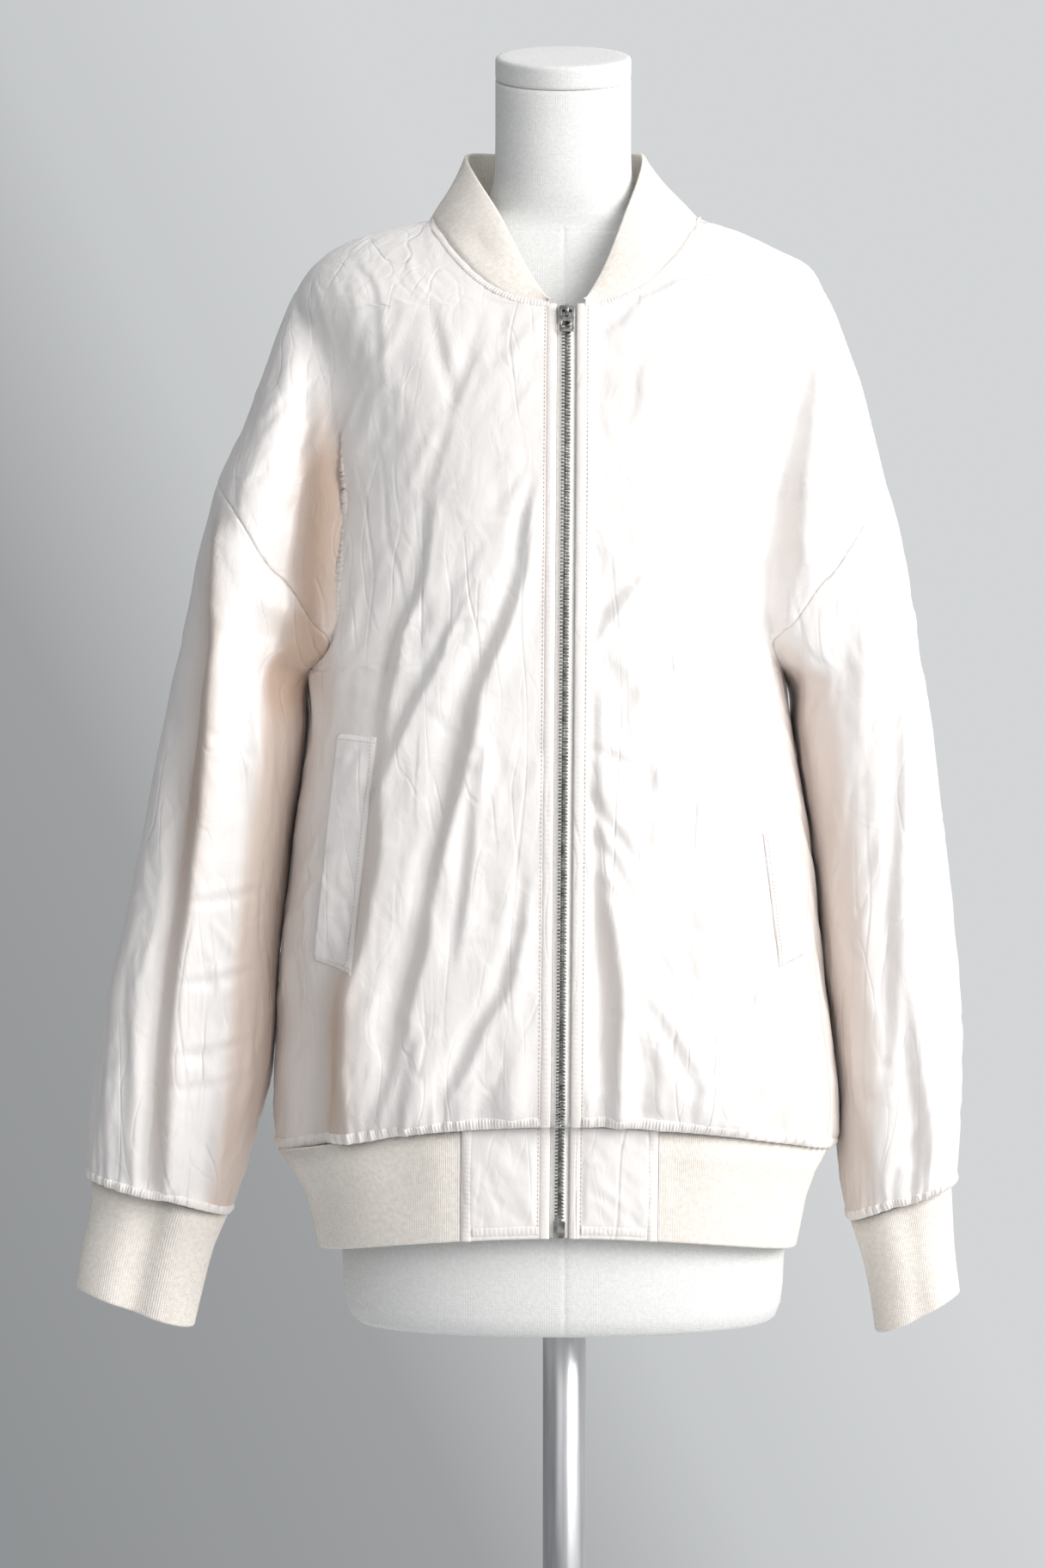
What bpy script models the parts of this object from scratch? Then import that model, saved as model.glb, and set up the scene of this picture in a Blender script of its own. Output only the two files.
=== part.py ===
"""Bomber jacket in satin with rib-knit trims, worn by a limbless dress form on a stand.

All tables are in millimetres. X runs to the wearer's left, -Y is the front, +Z is up and
z = 0 is the floor. "reach" is a sideways distance from the zip line.
"""
import functools
import math

import bpy
import numpy as np

MM = 0.001

# ---------------------------------------------------------------- general sizes
CLOTH_WALL = 2.0
RIB_WALL = 2.8
SEAM_GAP = 0.3

HEM_FRONT_Z = 744.0
HEM_SIDE_Z = 718.0
HEM_BACK_Z = 736.0
UNDERARM_Z = 1062.0
SLEEVE_TOP_Z = 1208.0
SHOULDER_Z = 1345.0
NECK_FRONT_Z = 1326.0
NECK_BACK_Z = 1395.0
NECK_SIDE_Z = 1401.0
NECK_REACH = 98.0
NECK_CURVE = 2.7
SHOULDER_ROUND = 60.0
FRONT_EDGE = 7.0
FRONT_ROUNDNESS = 2.5
BACK_ROUNDNESS = 2.3
SLEEVE_ROUNDNESS = 2.5
SECTION_SOFTNESS = 6.0

# ---------------------------------------------------------------- zip line
ZIP_TOP_X = 0.5
ZIP_LOW_X = -5.2
ZIP_LOW_Z = 663.0

SIGN = {"right": -1.0, "left": 1.0}

# Body tube: depth in front of and behind the form's axis, and reach on each side.
BODY_COLUMNS = ("z", "front", "back", "right", "left")
BODY = (
    (715, 128, 102, 206, 200),
    (735, 133, 105, 209.5, 205),
    (760, 144, 111, 210, 204.5),
    (800, 149, 114, 209, 200.5),
    (840, 151, 115, 207, 195),
    (880, 151, 115, 204, 190.5),
    (920, 151, 115, 200, 186.5),
    (960, 151, 115, 195, 180.5),
    (1000, 151, 116, 189, 173.5),
    (1030, 150, 117, 184.5, 168.5),
    (1062, 150, 118, 179.5, 163),
    (1090, 149, 119, 175.5, 158),
    (1120, 148, 119, 171.5, 154),
    (1150, 146, 119, 168, 158),
    (1177, 143, 119, 166, 165),
    (1208, 139, 118, 169, 172),
    (1250, 130, 116, 177, 182),
    (1284, 120, 112, 184, 190),
    (1310, 111, 107, 196, 198),
    (1330, 103, 102, 208, 206),
    (1350, 87, 96, 222, 216),
    (1375, 67, 87, 230, 226),
    (1401, 46, 76, 230, 230),
)

# Sleeve tube: outer and inner reach on each side, and half its depth.
SLEEVE_COLUMNS = ("z", "outer_right", "inner_right", "outer_left", "inner_left", "depth")
SLEEVE = (
    (655, 343, 246, 285, 216, 38),
    (669, 344, 243, 288, 214, 42),
    (683, 345, 238, 291, 211, 47),
    (700, 346, 231, 293.5, 208, 54),
    (730, 346.4, 223, 295.1, 206.5, 64),
    (760, 343.6, 218, 295.7, 208.5, 70),
    (800, 337.1, 214, 296.1, 205, 73),
    (840, 330.8, 212, 293.9, 199.5, 75),
    (880, 321.2, 209, 289.8, 195, 77),
    (920, 312.9, 205, 285.4, 191, 79),
    (960, 305.5, 200, 280.1, 185, 81),
    (1000, 298.5, 194, 275.3, 178, 84),
    (1030, 291.9, 189, 271.5, 173, 86),
    (1062, 285.8, 181.5, 266, 165, 89),
    (1075, 283, 163, 263.5, 146, 91),
    (1090, 280.4, 149, 261.3, 131, 93),
    (1120, 274.7, 141, 256.2, 122, 95),
    (1150, 269, 139, 250.8, 121, 95),
    (1175, 262.6, 140, 246, 124, 93),
    (1208, 253.5, 143, 235.7, 131, 89),
    (1225, 244.8, 146, 231.5, 136, 86),
    (1250, 233.6, 150, 225.1, 145, 79),
    (1275, 225.4, 156, 218.6, 155, 70),
    (1300, 217.3, 164, 209.4, 166, 58),
    (1320, 210.3, 173, 201.8, 175, 46),
    (1340, 202.1, 188, 193.9, 184, 30),
    (1350, 197.3, 193, 189.3, 187, 20),
    (1360, 191.3, 190, 184.1, 183, 10),
    (1370, 182.5, 182, 175, 174, 5),
    (1380, 168.6, 168, 153.5, 153, 5),
    (1390, 147.4, 147, 133.5, 133, 5),
    (1397, 120, 119, 114, 113, 5),
    (1401, 98, 97, 98, 97, 5),
)

# Armhole seam on the sleeve tube: turn from the outermost line, in degrees, at each height.
ARMHOLE_COLUMNS = ("z", "right", "left")
ARMHOLE = (
    (1092, 118, 116),
    (1113, 103, 100),
    (1128, 94, 92),
    (1147, 83, 82),
    (1166, 71, 70),
    (1181, 57, 57),
    (1193, 42, 42),
    (1201, 28, 28),
    (1208, 0, 0),
)

# Folds: a ridge (+) or trough (-) between two points of the front or back view.
# "bow" bends the line sideways, "width" is half the fold, "lean" makes one side steeper.
FOLD_COLUMNS = ("x_top", "z_top", "x_low", "z_low", "bow", "width", "rise", "lean")
FRONT_RIGHT_FOLDS = (
    (-100, 1176, -160, 876, 8, 15, -10, -0.3),
    (-27, 1204, -134, 772, -9, 17, -14, -0.3),
    (-30, 940, -100, 752, 0, 12, -8, -0.2),
    (-100, 1040, -152, 772, 5, 13, 6, 0.0),
    (-122, 1240, -138, 1030, 6, 16, 6, 0.0),
)
FRONT_LEFT_FOLDS = (
    (26, 1190, 27, 742, 0, 9, -5, 0.2),
    (98, 1080, 96, 850, 0, 15, -5, 0.0),
    (58, 1010, 112, 790, 0, 12, -4, 0.0),
    (134, 930, 138, 745, 0, 9, -5, 0.3),
    (74, 1230, 60, 960, 0, 26, 5, 0.0),
)
BACK_FOLDS = (
    (-120, 1270, -60, 860, 12, 20, -9, 0.2),
    (112, 1260, 74, 820, -10, 20, -10, -0.2),
    (-30, 1180, -96, 770, 8, 17, -8, 0.2),
    (34, 1060, 10, 760, 0, 15, -7, 0.0),
    (-160, 1090, -150, 780, 0, 14, -8, 0.0),
    (150, 1080, 138, 776, 4, 14, -8, 0.0),
)
SLEEVE_RIGHT_FRONT_FOLDS = (
    (-246, 1210, -299, 664, 14, 15, -27, -0.45),
    (-322, 900, -330, 690, 0, 9, -6, 0.0),
)
SLEEVE_RIGHT_BACK_FOLDS = (
    (-226, 1180, -286, 664, -6, 16, -22, 0.3),
)
SLEEVE_LEFT_FRONT_FOLDS = (
    (241, 1120, 238, 740, -3, 14, -9, 0.2),
    (249, 870, 254, 664, 6, 12, -11, -0.2),
    (165, 1125, 196, 850, 4, 12, -6, 0.0),
)
SLEEVE_LEFT_BACK_FOLDS = (
    (208, 1160, 246, 664, 6, 16, -18, 0.3),
)

# Uneven puckers along the gathered hem seam: count over one half of the body, height, reach up.
HEM_PUCKERS = 4
HEM_PUCKER_RISE = 3.4
HEM_PUCKER_REACH = 46.0

# ---------------------------------------------------------------- grid densities
PANEL_COLUMNS_COUNT = 15
EDGE_STRIP_SHARE = 0.035
BODY_ROWS = 11
CHEST_ROWS = 3
YOKE_ROWS = 5
SLEEVE_ROWS = 21
# Turns of the sleeve tube (degrees) at which the armhole seam has its shared points.
ARMHOLE_TURNS = (180, 164, 148, 134, 120, 107, 94, 80, 65, 47, 26, 0)
RIB_AROUND = 44
RIB_ROWS = 4
CUFF_AROUND = 22
CUFF_ROWS = 3
COLLAR_ROWS = 3


# ---------------------------------------------------------------- small helpers
def column(columns, rows, name):
    return np.array([row[columns.index(name)] for row in rows], float)


def smooth_between(xs, ys, x):
    """Monotone cubic curve through a short table."""
    x = np.clip(np.asarray(x, float), xs[0], xs[-1])
    slopes = np.diff(ys) / np.diff(xs)
    inner = 0.5 * (slopes[1:] + slopes[:-1])
    limit = 3.0 * np.minimum(abs(slopes[1:]), abs(slopes[:-1]))
    inner = np.where(slopes[1:] * slopes[:-1] <= 0, 0.0, np.clip(inner, -limit, limit))
    tangents = np.concatenate(([slopes[0]], inner, [slopes[-1]]))
    index = np.clip(np.searchsorted(xs, x, side="right") - 1, 0, len(xs) - 2)
    step = xs[index + 1] - xs[index]
    t = (x - xs[index]) / step
    start = (1 + 2 * t) * (1 - t) ** 2 * ys[index] + t * (1 - t) ** 2 * step * tangents[index]
    end = t * t * (3 - 2 * t) * ys[index + 1] + t * t * (t - 1) * step * tangents[index + 1]
    return start + end


def body_value(name, z):
    return smooth_between(column(BODY_COLUMNS, BODY, "z"), column(BODY_COLUMNS, BODY, name), z)


def sleeve_value(name, z):
    heights = column(SLEEVE_COLUMNS, SLEEVE, "z")
    return smooth_between(heights, column(SLEEVE_COLUMNS, SLEEVE, name), z)


def ease(t):
    t = np.clip(t, 0.0, 1.0)
    return t * t * (3 - 2 * t)


def zip_x(z):
    share = (np.asarray(z, float) - ZIP_LOW_Z) / (NECK_FRONT_Z - ZIP_LOW_Z)
    return ZIP_LOW_X + (ZIP_TOP_X - ZIP_LOW_X) * np.clip(share, 0.0, 1.0)


def roundness(face):
    return FRONT_ROUNDNESS if face == "front" else BACK_ROUNDNESS


def facing(face):
    return -1.0 if face == "front" else 1.0


# ---------------------------------------------------------------- level sections
def shoulder_height(side, reach):
    """Height of the shoulder line above a given reach."""
    heights = np.linspace(1230.0, NECK_SIDE_Z, 120)
    reaches = sleeve_value("outer_" + side, heights)
    height = np.interp(reach, reaches[::-1], heights[::-1])
    return height + 0.25 * np.maximum(NECK_REACH - np.asarray(reach, float), 0.0)


def shoulder_rounding(side, reach, z):
    drop = np.clip((shoulder_height(side, reach) - z) / SHOULDER_ROUND, 0.0, 1.0)
    return np.sqrt(1.0 - (1.0 - drop) ** 2)


def body_depth(side, face, reach, z):
    """Distance of the plain body surface from the form's axis plane."""
    power = roundness(face)
    share = np.clip(np.asarray(reach, float) / body_value(side, z), 0.0, 1.0)
    plain = body_value(face, z) * (1.0 - share ** power) ** (1.0 / power)
    return plain * shoulder_rounding(side, reach, z)


def body_arc(side, face, z, angles):
    """Points (reach, y) of the body tube from the centre line to its side."""
    power = 2.0 / roundness(face)
    reach = body_value(side, z) * np.clip(np.sin(angles), 0.0, 1.0) ** power
    depth = body_value(face, z) * np.clip(np.cos(angles), 0.0, 1.0) ** power
    depth = depth * shoulder_rounding(side, reach, z)
    return np.stack(np.broadcast_arrays(reach, facing(face) * depth), axis=-1)


def squared(wave):
    """Wave of a slightly squared-off ring, so that the sleeve's sides are flatter."""
    return np.sign(wave) * abs(wave) ** (2.0 / SLEEVE_ROUNDNESS)


def sleeve_arc(side, z, turn):
    """Points (reach, y) of the sleeve tube; turn 0 is outermost, + goes to the front."""
    outer = sleeve_value("outer_" + side, z)
    inner = sleeve_value("inner_" + side, z)
    depth = sleeve_value("depth", z)
    reach = 0.5 * (outer + inner) + 0.5 * (outer - inner) * squared(np.cos(turn))
    return np.stack(np.broadcast_arrays(reach, -depth * squared(np.sin(turn))), axis=-1)


def face_section(side, face, z):
    """One face at one level, from the centre line out to the outermost point.

    The mark runs from -2 to -1 on the body and from -1 to 0 on the sleeve.
    """
    outer = float(sleeve_value("outer_" + side, z))
    if z > SHOULDER_Z:
        reach = outer * np.sin(np.linspace(0.0, math.pi / 2, 300))
        points = np.stack([reach, facing(face) * body_depth(side, face, reach, z)], axis=-1)
        return points, np.linspace(-2.0, 0.0, 300)
    turn = np.linspace(0.0, math.pi, 500)
    lobe = sleeve_arc(side, z, turn)
    lobe[:, 1] = facing(face) * abs(lobe[:, 1])
    hidden = body_depth(side, face, lobe[:, 0], z) > abs(lobe[:, 1])
    hidden[:2] = False
    crossing = int(np.argmax(hidden)) if hidden.any() else len(turn) - 1
    angles = np.linspace(0.0, math.pi / 2, 500)
    body = body_arc(side, face, z, angles)
    keep = body[:, 0] < lobe[crossing, 0]
    points = np.concatenate([body[keep], lobe[:crossing + 1][::-1]])
    marks = np.concatenate([-2.0 + angles[keep] / (math.pi / 2), -turn[:crossing + 1][::-1] / math.pi])
    return points, marks


def soften(points, spacing, softness):
    """Round a polyline of evenly spaced points, ends kept."""
    half = max(int(3 * softness / spacing), 1)
    offsets = np.arange(-half, half + 1) * spacing
    weights = np.exp(-0.5 * (offsets / softness) ** 2)
    weights /= weights.sum()
    head = 2 * points[0] - points[1:half + 1][::-1]
    tail = 2 * points[-1] - points[-half - 1:-1][::-1]
    padded = np.concatenate([head, points, tail])
    return np.stack([np.convolve(padded[:, i], weights, "valid") for i in range(2)], axis=-1)


@functools.lru_cache(maxsize=None)
def half_section(side, z):
    """Loop of one half of the jacket at one level: front centre, outermost, back centre."""
    front, front_marks = face_section(side, "front", z)
    back, back_marks = face_section(side, "back", z)
    points = np.concatenate([front, back[::-1][1:]])
    marks = np.concatenate([front_marks, -back_marks[::-1][1:]])
    steps = np.linalg.norm(np.diff(points, axis=0), axis=1)
    keep = np.concatenate(([True], steps > 1e-6))
    points, marks = points[keep], marks[keep]
    arc = np.concatenate(([0.0], np.cumsum(np.linalg.norm(np.diff(points, axis=0), axis=1))))
    even = np.linspace(0.0, arc[-1], int(arc[-1] / 1.5))
    marks = np.interp(even, arc, marks)
    points = np.stack([np.interp(even, arc, points[:, i]) for i in range(2)], axis=-1)
    fade = float(ease((SHOULDER_Z - z) / 50.0) * ease((z - UNDERARM_Z) / 15.0))
    softness = SECTION_SOFTNESS * fade + 0.01
    return soften(points, even[1], softness), marks


def armhole_mark(side, z):
    """Mark at which the armhole seam crosses a level (positive)."""
    turn = smooth_between(column(ARMHOLE_COLUMNS, ARMHOLE, "z"),
                          column(ARMHOLE_COLUMNS, ARMHOLE, side), z)
    return float(turn) / 180.0


def crossing_mark(side, face, z):
    """Mark at which the sleeve tube meets the body tube at one level (positive)."""
    points, marks = face_section(side, face, z)
    return -float(marks[marks > -1.0][0]) if (marks > -1.0).any() else 1.0


def seam_mark(side, face, z):
    """Mark of the panel's outer edge: the meeting line low down, then the armhole seam."""
    if z >= SLEEVE_TOP_Z:
        return 0.0
    meeting = crossing_mark(side, face, z)
    return min(meeting, armhole_mark(side, z)) if z > 1092.0 else meeting


def neck_reach(z):
    share = np.clip((np.asarray(z, float) - NECK_FRONT_Z) / (NECK_SIDE_Z - NECK_FRONT_Z), 0.0, 1.0)
    return NECK_REACH * share ** (1.0 / NECK_CURVE)


def neck_height(reach):
    share = np.clip(np.asarray(reach, float) / NECK_REACH, 0.0, 1.0)
    return NECK_FRONT_Z + (NECK_SIDE_Z - NECK_FRONT_Z) * share ** NECK_CURVE


def back_neck_height(reach):
    share = np.clip(np.asarray(reach, float) / NECK_REACH, 0.0, 1.0)
    return NECK_BACK_Z + (NECK_SIDE_Z - NECK_BACK_Z) * share ** 2


def row_fractions():
    return np.linspace(0.0, 1.0, 160)


def face_row(side, face, z):
    """Evenly spaced points from the panel's inner edge to the outermost line, and the seam's place."""
    points, marks = half_section(side, z)
    if face == "back":
        points, marks = points[::-1], -marks[::-1]
    arc = np.concatenate(([0.0], np.cumsum(np.linalg.norm(np.diff(points, axis=0), axis=1))))
    end = float(np.interp(0.0, marks, arc))
    start = 0.0
    if face == "front":
        inside = marks < 0
        start = float(np.interp(max(FRONT_EDGE, float(neck_reach(z))), points[inside, 0], arc[inside]))
    seam = float(np.interp(-seam_mark(side, face, z), marks, arc))
    at = start + (end - start) * row_fractions()
    row = np.stack([np.interp(at, arc, points[:, i]) for i in range(2)], axis=-1)
    return row, (seam - start) / (end - start)


@functools.lru_cache(maxsize=None)
def upper_table(side, face):
    """Rows of one face at close levels between the underarm and the shoulder."""
    plain = np.linspace(UNDERARM_Z, SHOULDER_Z, 90)
    levels = np.unique(np.concatenate([plain, armhole_levels()]))
    rows, seams = zip(*(face_row(side, face, float(z)) for z in levels))
    return levels, np.array(rows), np.array(seams)


def upper_points(side, face, z, fractions):
    """Points (reach, y) at given heights and fractions of the upper part of one face."""
    levels, rows, _ = upper_table(side, face)
    steps = row_fractions()
    z, fractions = np.broadcast_arrays(np.asarray(z, float), fractions)
    low = np.clip(np.searchsorted(levels, z, side="right") - 1, 0, len(levels) - 2)
    part = ((z - levels[low]) / (levels[low + 1] - levels[low]))[..., None]
    at = np.clip(fractions, 0.0, 1.0) * (len(steps) - 1)
    left = np.clip(at.astype(int), 0, len(steps) - 2)
    over = (at - left)[..., None]
    below = rows[low, left] * (1 - over) + rows[low, left + 1] * over
    above = rows[low + 1, left] * (1 - over) + rows[low + 1, left + 1] * over
    return below * (1 - part) + above * part


def armhole_rows(side, face, shares):
    """Rows between the underarm and the top of the sleeve, ending on the armhole seam.

    The rows are level-spaced at the centre and meet the seam at its shared points.
    """
    levels, _, seams = upper_table(side, face)
    ends = armhole_levels()
    rows = []
    for k, end in enumerate(ends):
        even = UNDERARM_Z + (SLEEVE_TOP_Z - UNDERARM_Z) * k / (len(ends) - 1)
        z = end + (even - end) * np.clip(1.0 - shares, 0.0, 1.0) ** 1.3
        seam = float(np.interp(end, levels, seams))
        rows.append(placed(side, upper_points(side, face, z, shares * seam), z))
    return rows


def chest_row(side, face, z, shares):
    """Row of constant height between the sleeve top and the shoulder."""
    return placed(side, upper_points(side, face, z, shares), z)


def yoke_row(side, z, shares):
    """Front row of constant height above the shoulder level."""
    row, _ = face_row(side, "front", float(z))
    steps = row_fractions()
    at = np.clip(shares, 0.0, 1.0)
    return placed(side, np.stack([np.interp(at, steps, row[:, i]) for i in range(2)], axis=-1), z)


def lower_angles(side, face, z, shares):
    """Section angles that share out a body row evenly below the underarm."""
    angles = np.linspace(0.0, math.pi / 2, 400)
    points = body_arc(side, face, z, angles)
    arc = np.concatenate(([0.0], np.cumsum(np.linalg.norm(np.diff(points, axis=0), axis=1))))
    first = FRONT_EDGE if face == "front" else 0.0
    start = float(np.interp(first, points[:, 0], arc))
    return np.interp(start + (arc[-1] - start) * shares, arc, angles)


def hem_height(reach, face):
    """Height of the gathered hem seam under a point of the body tube."""
    middle = HEM_FRONT_Z if face == "front" else HEM_BACK_Z
    return HEM_SIDE_Z + (middle - HEM_SIDE_Z) * (1.0 - np.clip(reach / 205.0, 0.0, 1.0) ** 2)


def placed(side, reach_y, z):
    """World points in millimetres from (reach, y) and height."""
    z = np.broadcast_to(z, reach_y.shape[:-1])
    x = zip_x(z) + SIGN[side] * reach_y[..., 0]
    return np.stack([x, reach_y[..., 1], z], axis=-1)


# ---------------------------------------------------------------- folds
def fold_height(fold, x, z):
    x_top, z_top, x_low, z_low, bow, width, rise, lean = fold
    run = np.array([x_low - x_top, z_low - z_top], float)
    length = np.linalg.norm(run)
    run = run / length
    along = ((x - x_top) * run[0] + (z - z_top) * run[1]) / length
    across = -(x - x_top) * run[1] + (z - z_top) * run[0]
    across = across - bow * 4 * np.clip(along * (1 - along), 0.0, 1.0)
    skewed = width * (1.0 + lean * np.tanh(across / width))
    fade = ease(along / 0.22) * ease((1.0 - along) / 0.12)
    return rise * fade * np.exp(-(across / skewed) ** 2)


def relief(folds, x, z):
    return sum((fold_height(fold, x, z) for fold in folds), np.zeros_like(x))


def hem_puckers(x, z, face):
    """Soft uneven gathers above the hem seam."""
    level = hem_height(abs(x), face)
    wave = np.cos(2 * math.pi * (HEM_PUCKERS * x / 205.0 + 0.35 * np.sin(x / 31.0)))
    fade = np.exp(-np.clip(z - level, 0.0, None) / HEM_PUCKER_REACH) * ease((z - level) / 10.0)
    near_zip = ease((abs(x) - 20.0) / 20.0)
    return HEM_PUCKER_RISE * wave * fade * near_zip


def grid_normals(grid, centre, closed=False):
    """Unit normals of a grid of points, turned away from its centre."""
    down = np.gradient(grid, axis=0)
    if closed:
        over = np.roll(grid, -1, axis=1) - np.roll(grid, 1, axis=1)
    else:
        over = np.gradient(grid, axis=1)
    normals = np.cross(down, over)
    normals /= np.maximum(np.linalg.norm(normals, axis=-1, keepdims=True), 1e-9)
    if (normals * (grid - centre)).sum() < 0:
        normals = -normals
    return normals


def row_centres(grid, reach_share=0.0):
    """Axis points at the height of every point of a body grid."""
    centres = np.zeros_like(grid)
    centres[..., 0] = grid[..., 0] * reach_share
    centres[..., 2] = grid[..., 2]
    return centres


# ---------------------------------------------------------------- meshes
def material_for(name, colour, rough, metal=0.0):
    material = bpy.data.materials.new(name)
    material.use_nodes = True
    shader = material.node_tree.nodes["Principled BSDF"]
    shader.inputs["Base Color"].default_value = (*colour, 1.0)
    shader.inputs["Roughness"].default_value = rough
    shader.inputs["Metallic"].default_value = metal
    return material


SATIN = ((0.93, 0.86, 0.81), 0.34, 0.0)
KNIT = ((0.90, 0.86, 0.79), 0.85, 0.0)
TAPE = ((0.93, 0.90, 0.86), 0.8, 0.0)
SILVER = ((0.62, 0.61, 0.60), 0.28, 1.0)
FORM_CLOTH = ((0.88, 0.87, 0.85), 0.8, 0.0)
STEEL = ((0.55, 0.55, 0.56), 0.3, 1.0)


def enclosed_volume(points, faces):
    """Signed volume inside a closed surface; positive when its faces point outwards."""
    total = 0.0
    for face in faces:
        first = points[face[0]]
        for k in range(1, len(face) - 1):
            total += np.dot(first, np.cross(points[face[k]], points[face[k + 1]]))
    return total / 6.0


def add_solid(name, points, faces, look, origin=(0.0, 0.0, 0.0)):
    """One closed named solid from points in millimetres, with its object origin at a point."""
    points = np.asarray(points, float) - np.asarray(origin, float)
    if enclosed_volume(points, faces) < 0:
        faces = [tuple(reversed(face)) for face in faces]
    mesh = bpy.data.meshes.new(name)
    mesh.from_pydata([tuple(p) for p in points * MM], [], faces)
    mesh.validate()
    mesh.update()
    solid = bpy.data.objects.new(name, mesh)
    solid.location = [value * MM for value in origin]
    bpy.context.scene.collection.objects.link(solid)
    mesh.materials.append(material_for(name, *look))
    return solid


def wall_faces(rows, cols, closed):
    """Quads of a walled sheet: outer face, inner face and the rim between them."""
    count = rows * cols
    faces = []
    spans = cols if closed else cols - 1
    for i in range(rows - 1):
        for j in range(spans):
            k = (j + 1) % cols
            quad = (i * cols + j, i * cols + k, (i + 1) * cols + k, (i + 1) * cols + j)
            faces.append(quad)
            faces.append(tuple(count + v for v in reversed(quad)))
    for j in range(spans):
        k = (j + 1) % cols
        last = (rows - 1) * cols
        faces.append((j, count + j, count + k, k))
        faces.append((last + k, count + last + k, count + last + j, last + j))
    if not closed:
        for i in range(rows - 1):
            a, b = i * cols, (i + 1) * cols
            c, d = i * cols + cols - 1, (i + 1) * cols + cols - 1
            faces.append((b, count + b, count + a, a))
            faces.append((c, count + c, count + d, d))
    return faces


def sheet_solid(name, outer, normals, wall, look, closed=False):
    """Walled solid from a grid of outer points; the wall goes against the normals."""
    inner = outer - normals * wall
    rows, cols = outer.shape[:2]
    faces = wall_faces(rows, cols, closed)
    points = np.concatenate([outer.reshape(-1, 3), inner.reshape(-1, 3)])
    return add_solid(name, points, faces, look)


def clear_of_seam(grid, face):
    """Keep a panel clear of the plane of the side and shoulder seams."""
    grid = grid.copy()
    rows = np.ones(len(grid), bool)
    rows[BODY_ROWS + 1:BODY_ROWS + len(ARMHOLE_TURNS) - 1] = False
    y = grid[rows, :, 1]
    limit = 0.6 * SEAM_GAP
    grid[rows, :, 1] = np.minimum(y, -limit) if face == "front" else np.maximum(y, limit)
    return grid


def trimmed(grid, first_row=0.0, last_row=0.0, first_col=0.0, last_col=0.0):
    """Pull chosen edges of a grid back by a distance, for the seam gaps."""
    grid = grid.copy()
    for amount, edge, beside in ((first_row, np.s_[0], np.s_[1]), (last_row, np.s_[-1], np.s_[-2]),
                                 (first_col, np.s_[:, 0], np.s_[:, 1]),
                                 (last_col, np.s_[:, -1], np.s_[:, -2])):
        if amount:
            step = grid[beside] - grid[edge]
            length = np.maximum(np.linalg.norm(step, axis=-1, keepdims=True), 1e-9)
            grid[edge] = grid[edge] + step * np.minimum(amount / length, 0.45)
    return grid


def lathe(name, profile, look, segments=32, centre=(0.0, 0.0)):
    """Solid of revolution about a vertical axis; the profile starts and ends on the axis."""
    points = [(centre[0], centre[1], profile[0][1])]
    for radius, z in profile[1:-1]:
        for k in range(segments):
            a = 2 * math.pi * k / segments
            points.append((centre[0] + radius * math.cos(a), centre[1] + radius * math.sin(a), z))
    points.append((centre[0], centre[1], profile[-1][1]))
    faces = [(0, 1 + (k + 1) % segments, 1 + k) for k in range(segments)]
    rings = len(profile) - 2
    for i in range(rings - 1):
        for k in range(segments):
            a, b = 1 + i * segments + k, 1 + i * segments + (k + 1) % segments
            faces.append((a, b, b + segments, a + segments))
    last = 1 + (rings - 1) * segments
    top = len(points) - 1
    faces += [(last + k, last + (k + 1) % segments, top) for k in range(segments)]
    return add_solid(name, points, faces, look)


def ring_stack(name, rings, look):
    """Closed solid from a stack of equal rings of points, capped at both ends."""
    rings = np.asarray(rings)
    count, around = rings.shape[:2]
    faces = []
    for i in range(count - 1):
        for k in range(around):
            j = (k + 1) % around
            faces.append((i * around + k, i * around + j, (i + 1) * around + j, (i + 1) * around + k))
    points = list(rings.reshape(-1, 3)) + [rings[0].mean(axis=0), rings[-1].mean(axis=0)]
    low, high = count * around, count * around + 1
    faces += [(low, (k + 1) % around, k) for k in range(around)]
    start = (count - 1) * around
    faces += [(high, start + k, start + (k + 1) % around) for k in range(around)]
    return add_solid(name, points, faces, look)


# ---------------------------------------------------------------- body panels
def armhole_levels():
    """Heights of the shared points of the armhole seam."""
    heights = np.linspace(UNDERARM_Z, SLEEVE_TOP_Z, 147)
    marks = np.array([seam_mark("right", "front", z) for z in heights])
    marks[0] = 1.0
    marks = np.minimum.accumulate(marks)
    return np.interp(-np.array(ARMHOLE_TURNS) / 180.0, -marks, heights)


def upper_levels():
    """Heights of the rows above the sleeve top: the chest, then the yoke up to the neck."""
    chest = np.concatenate([np.linspace(SLEEVE_TOP_Z, NECK_FRONT_Z + 0.1, CHEST_ROWS + 1)[1:],
                            [NECK_FRONT_Z + 4.5, NECK_FRONT_Z + 10.5, SHOULDER_Z]])
    steps = np.linspace(0.0, 1.0, YOKE_ROWS + 1)[1:]
    top = NECK_SIDE_Z - 0.4
    return chest, top - (top - SHOULDER_Z) * (1.0 - steps) ** 1.6


def lower_grid(side, face, shares):
    """Rows of a body panel from the hem seam up to just below the underarm."""
    rows = []
    for v in np.linspace(0.0, 1.0, BODY_ROWS + 1)[:-1]:
        level = HEM_SIDE_Z + (UNDERARM_Z - HEM_SIDE_Z) * v
        angles = lower_angles(side, face, level, shares)
        reach = body_arc(side, face, level, angles)[:, 0]
        low = hem_height(reach, face)
        z = low + (UNDERARM_Z - low) * v
        rows.append(placed(side, body_arc(side, face, z, angles), z))
    return rows


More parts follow.
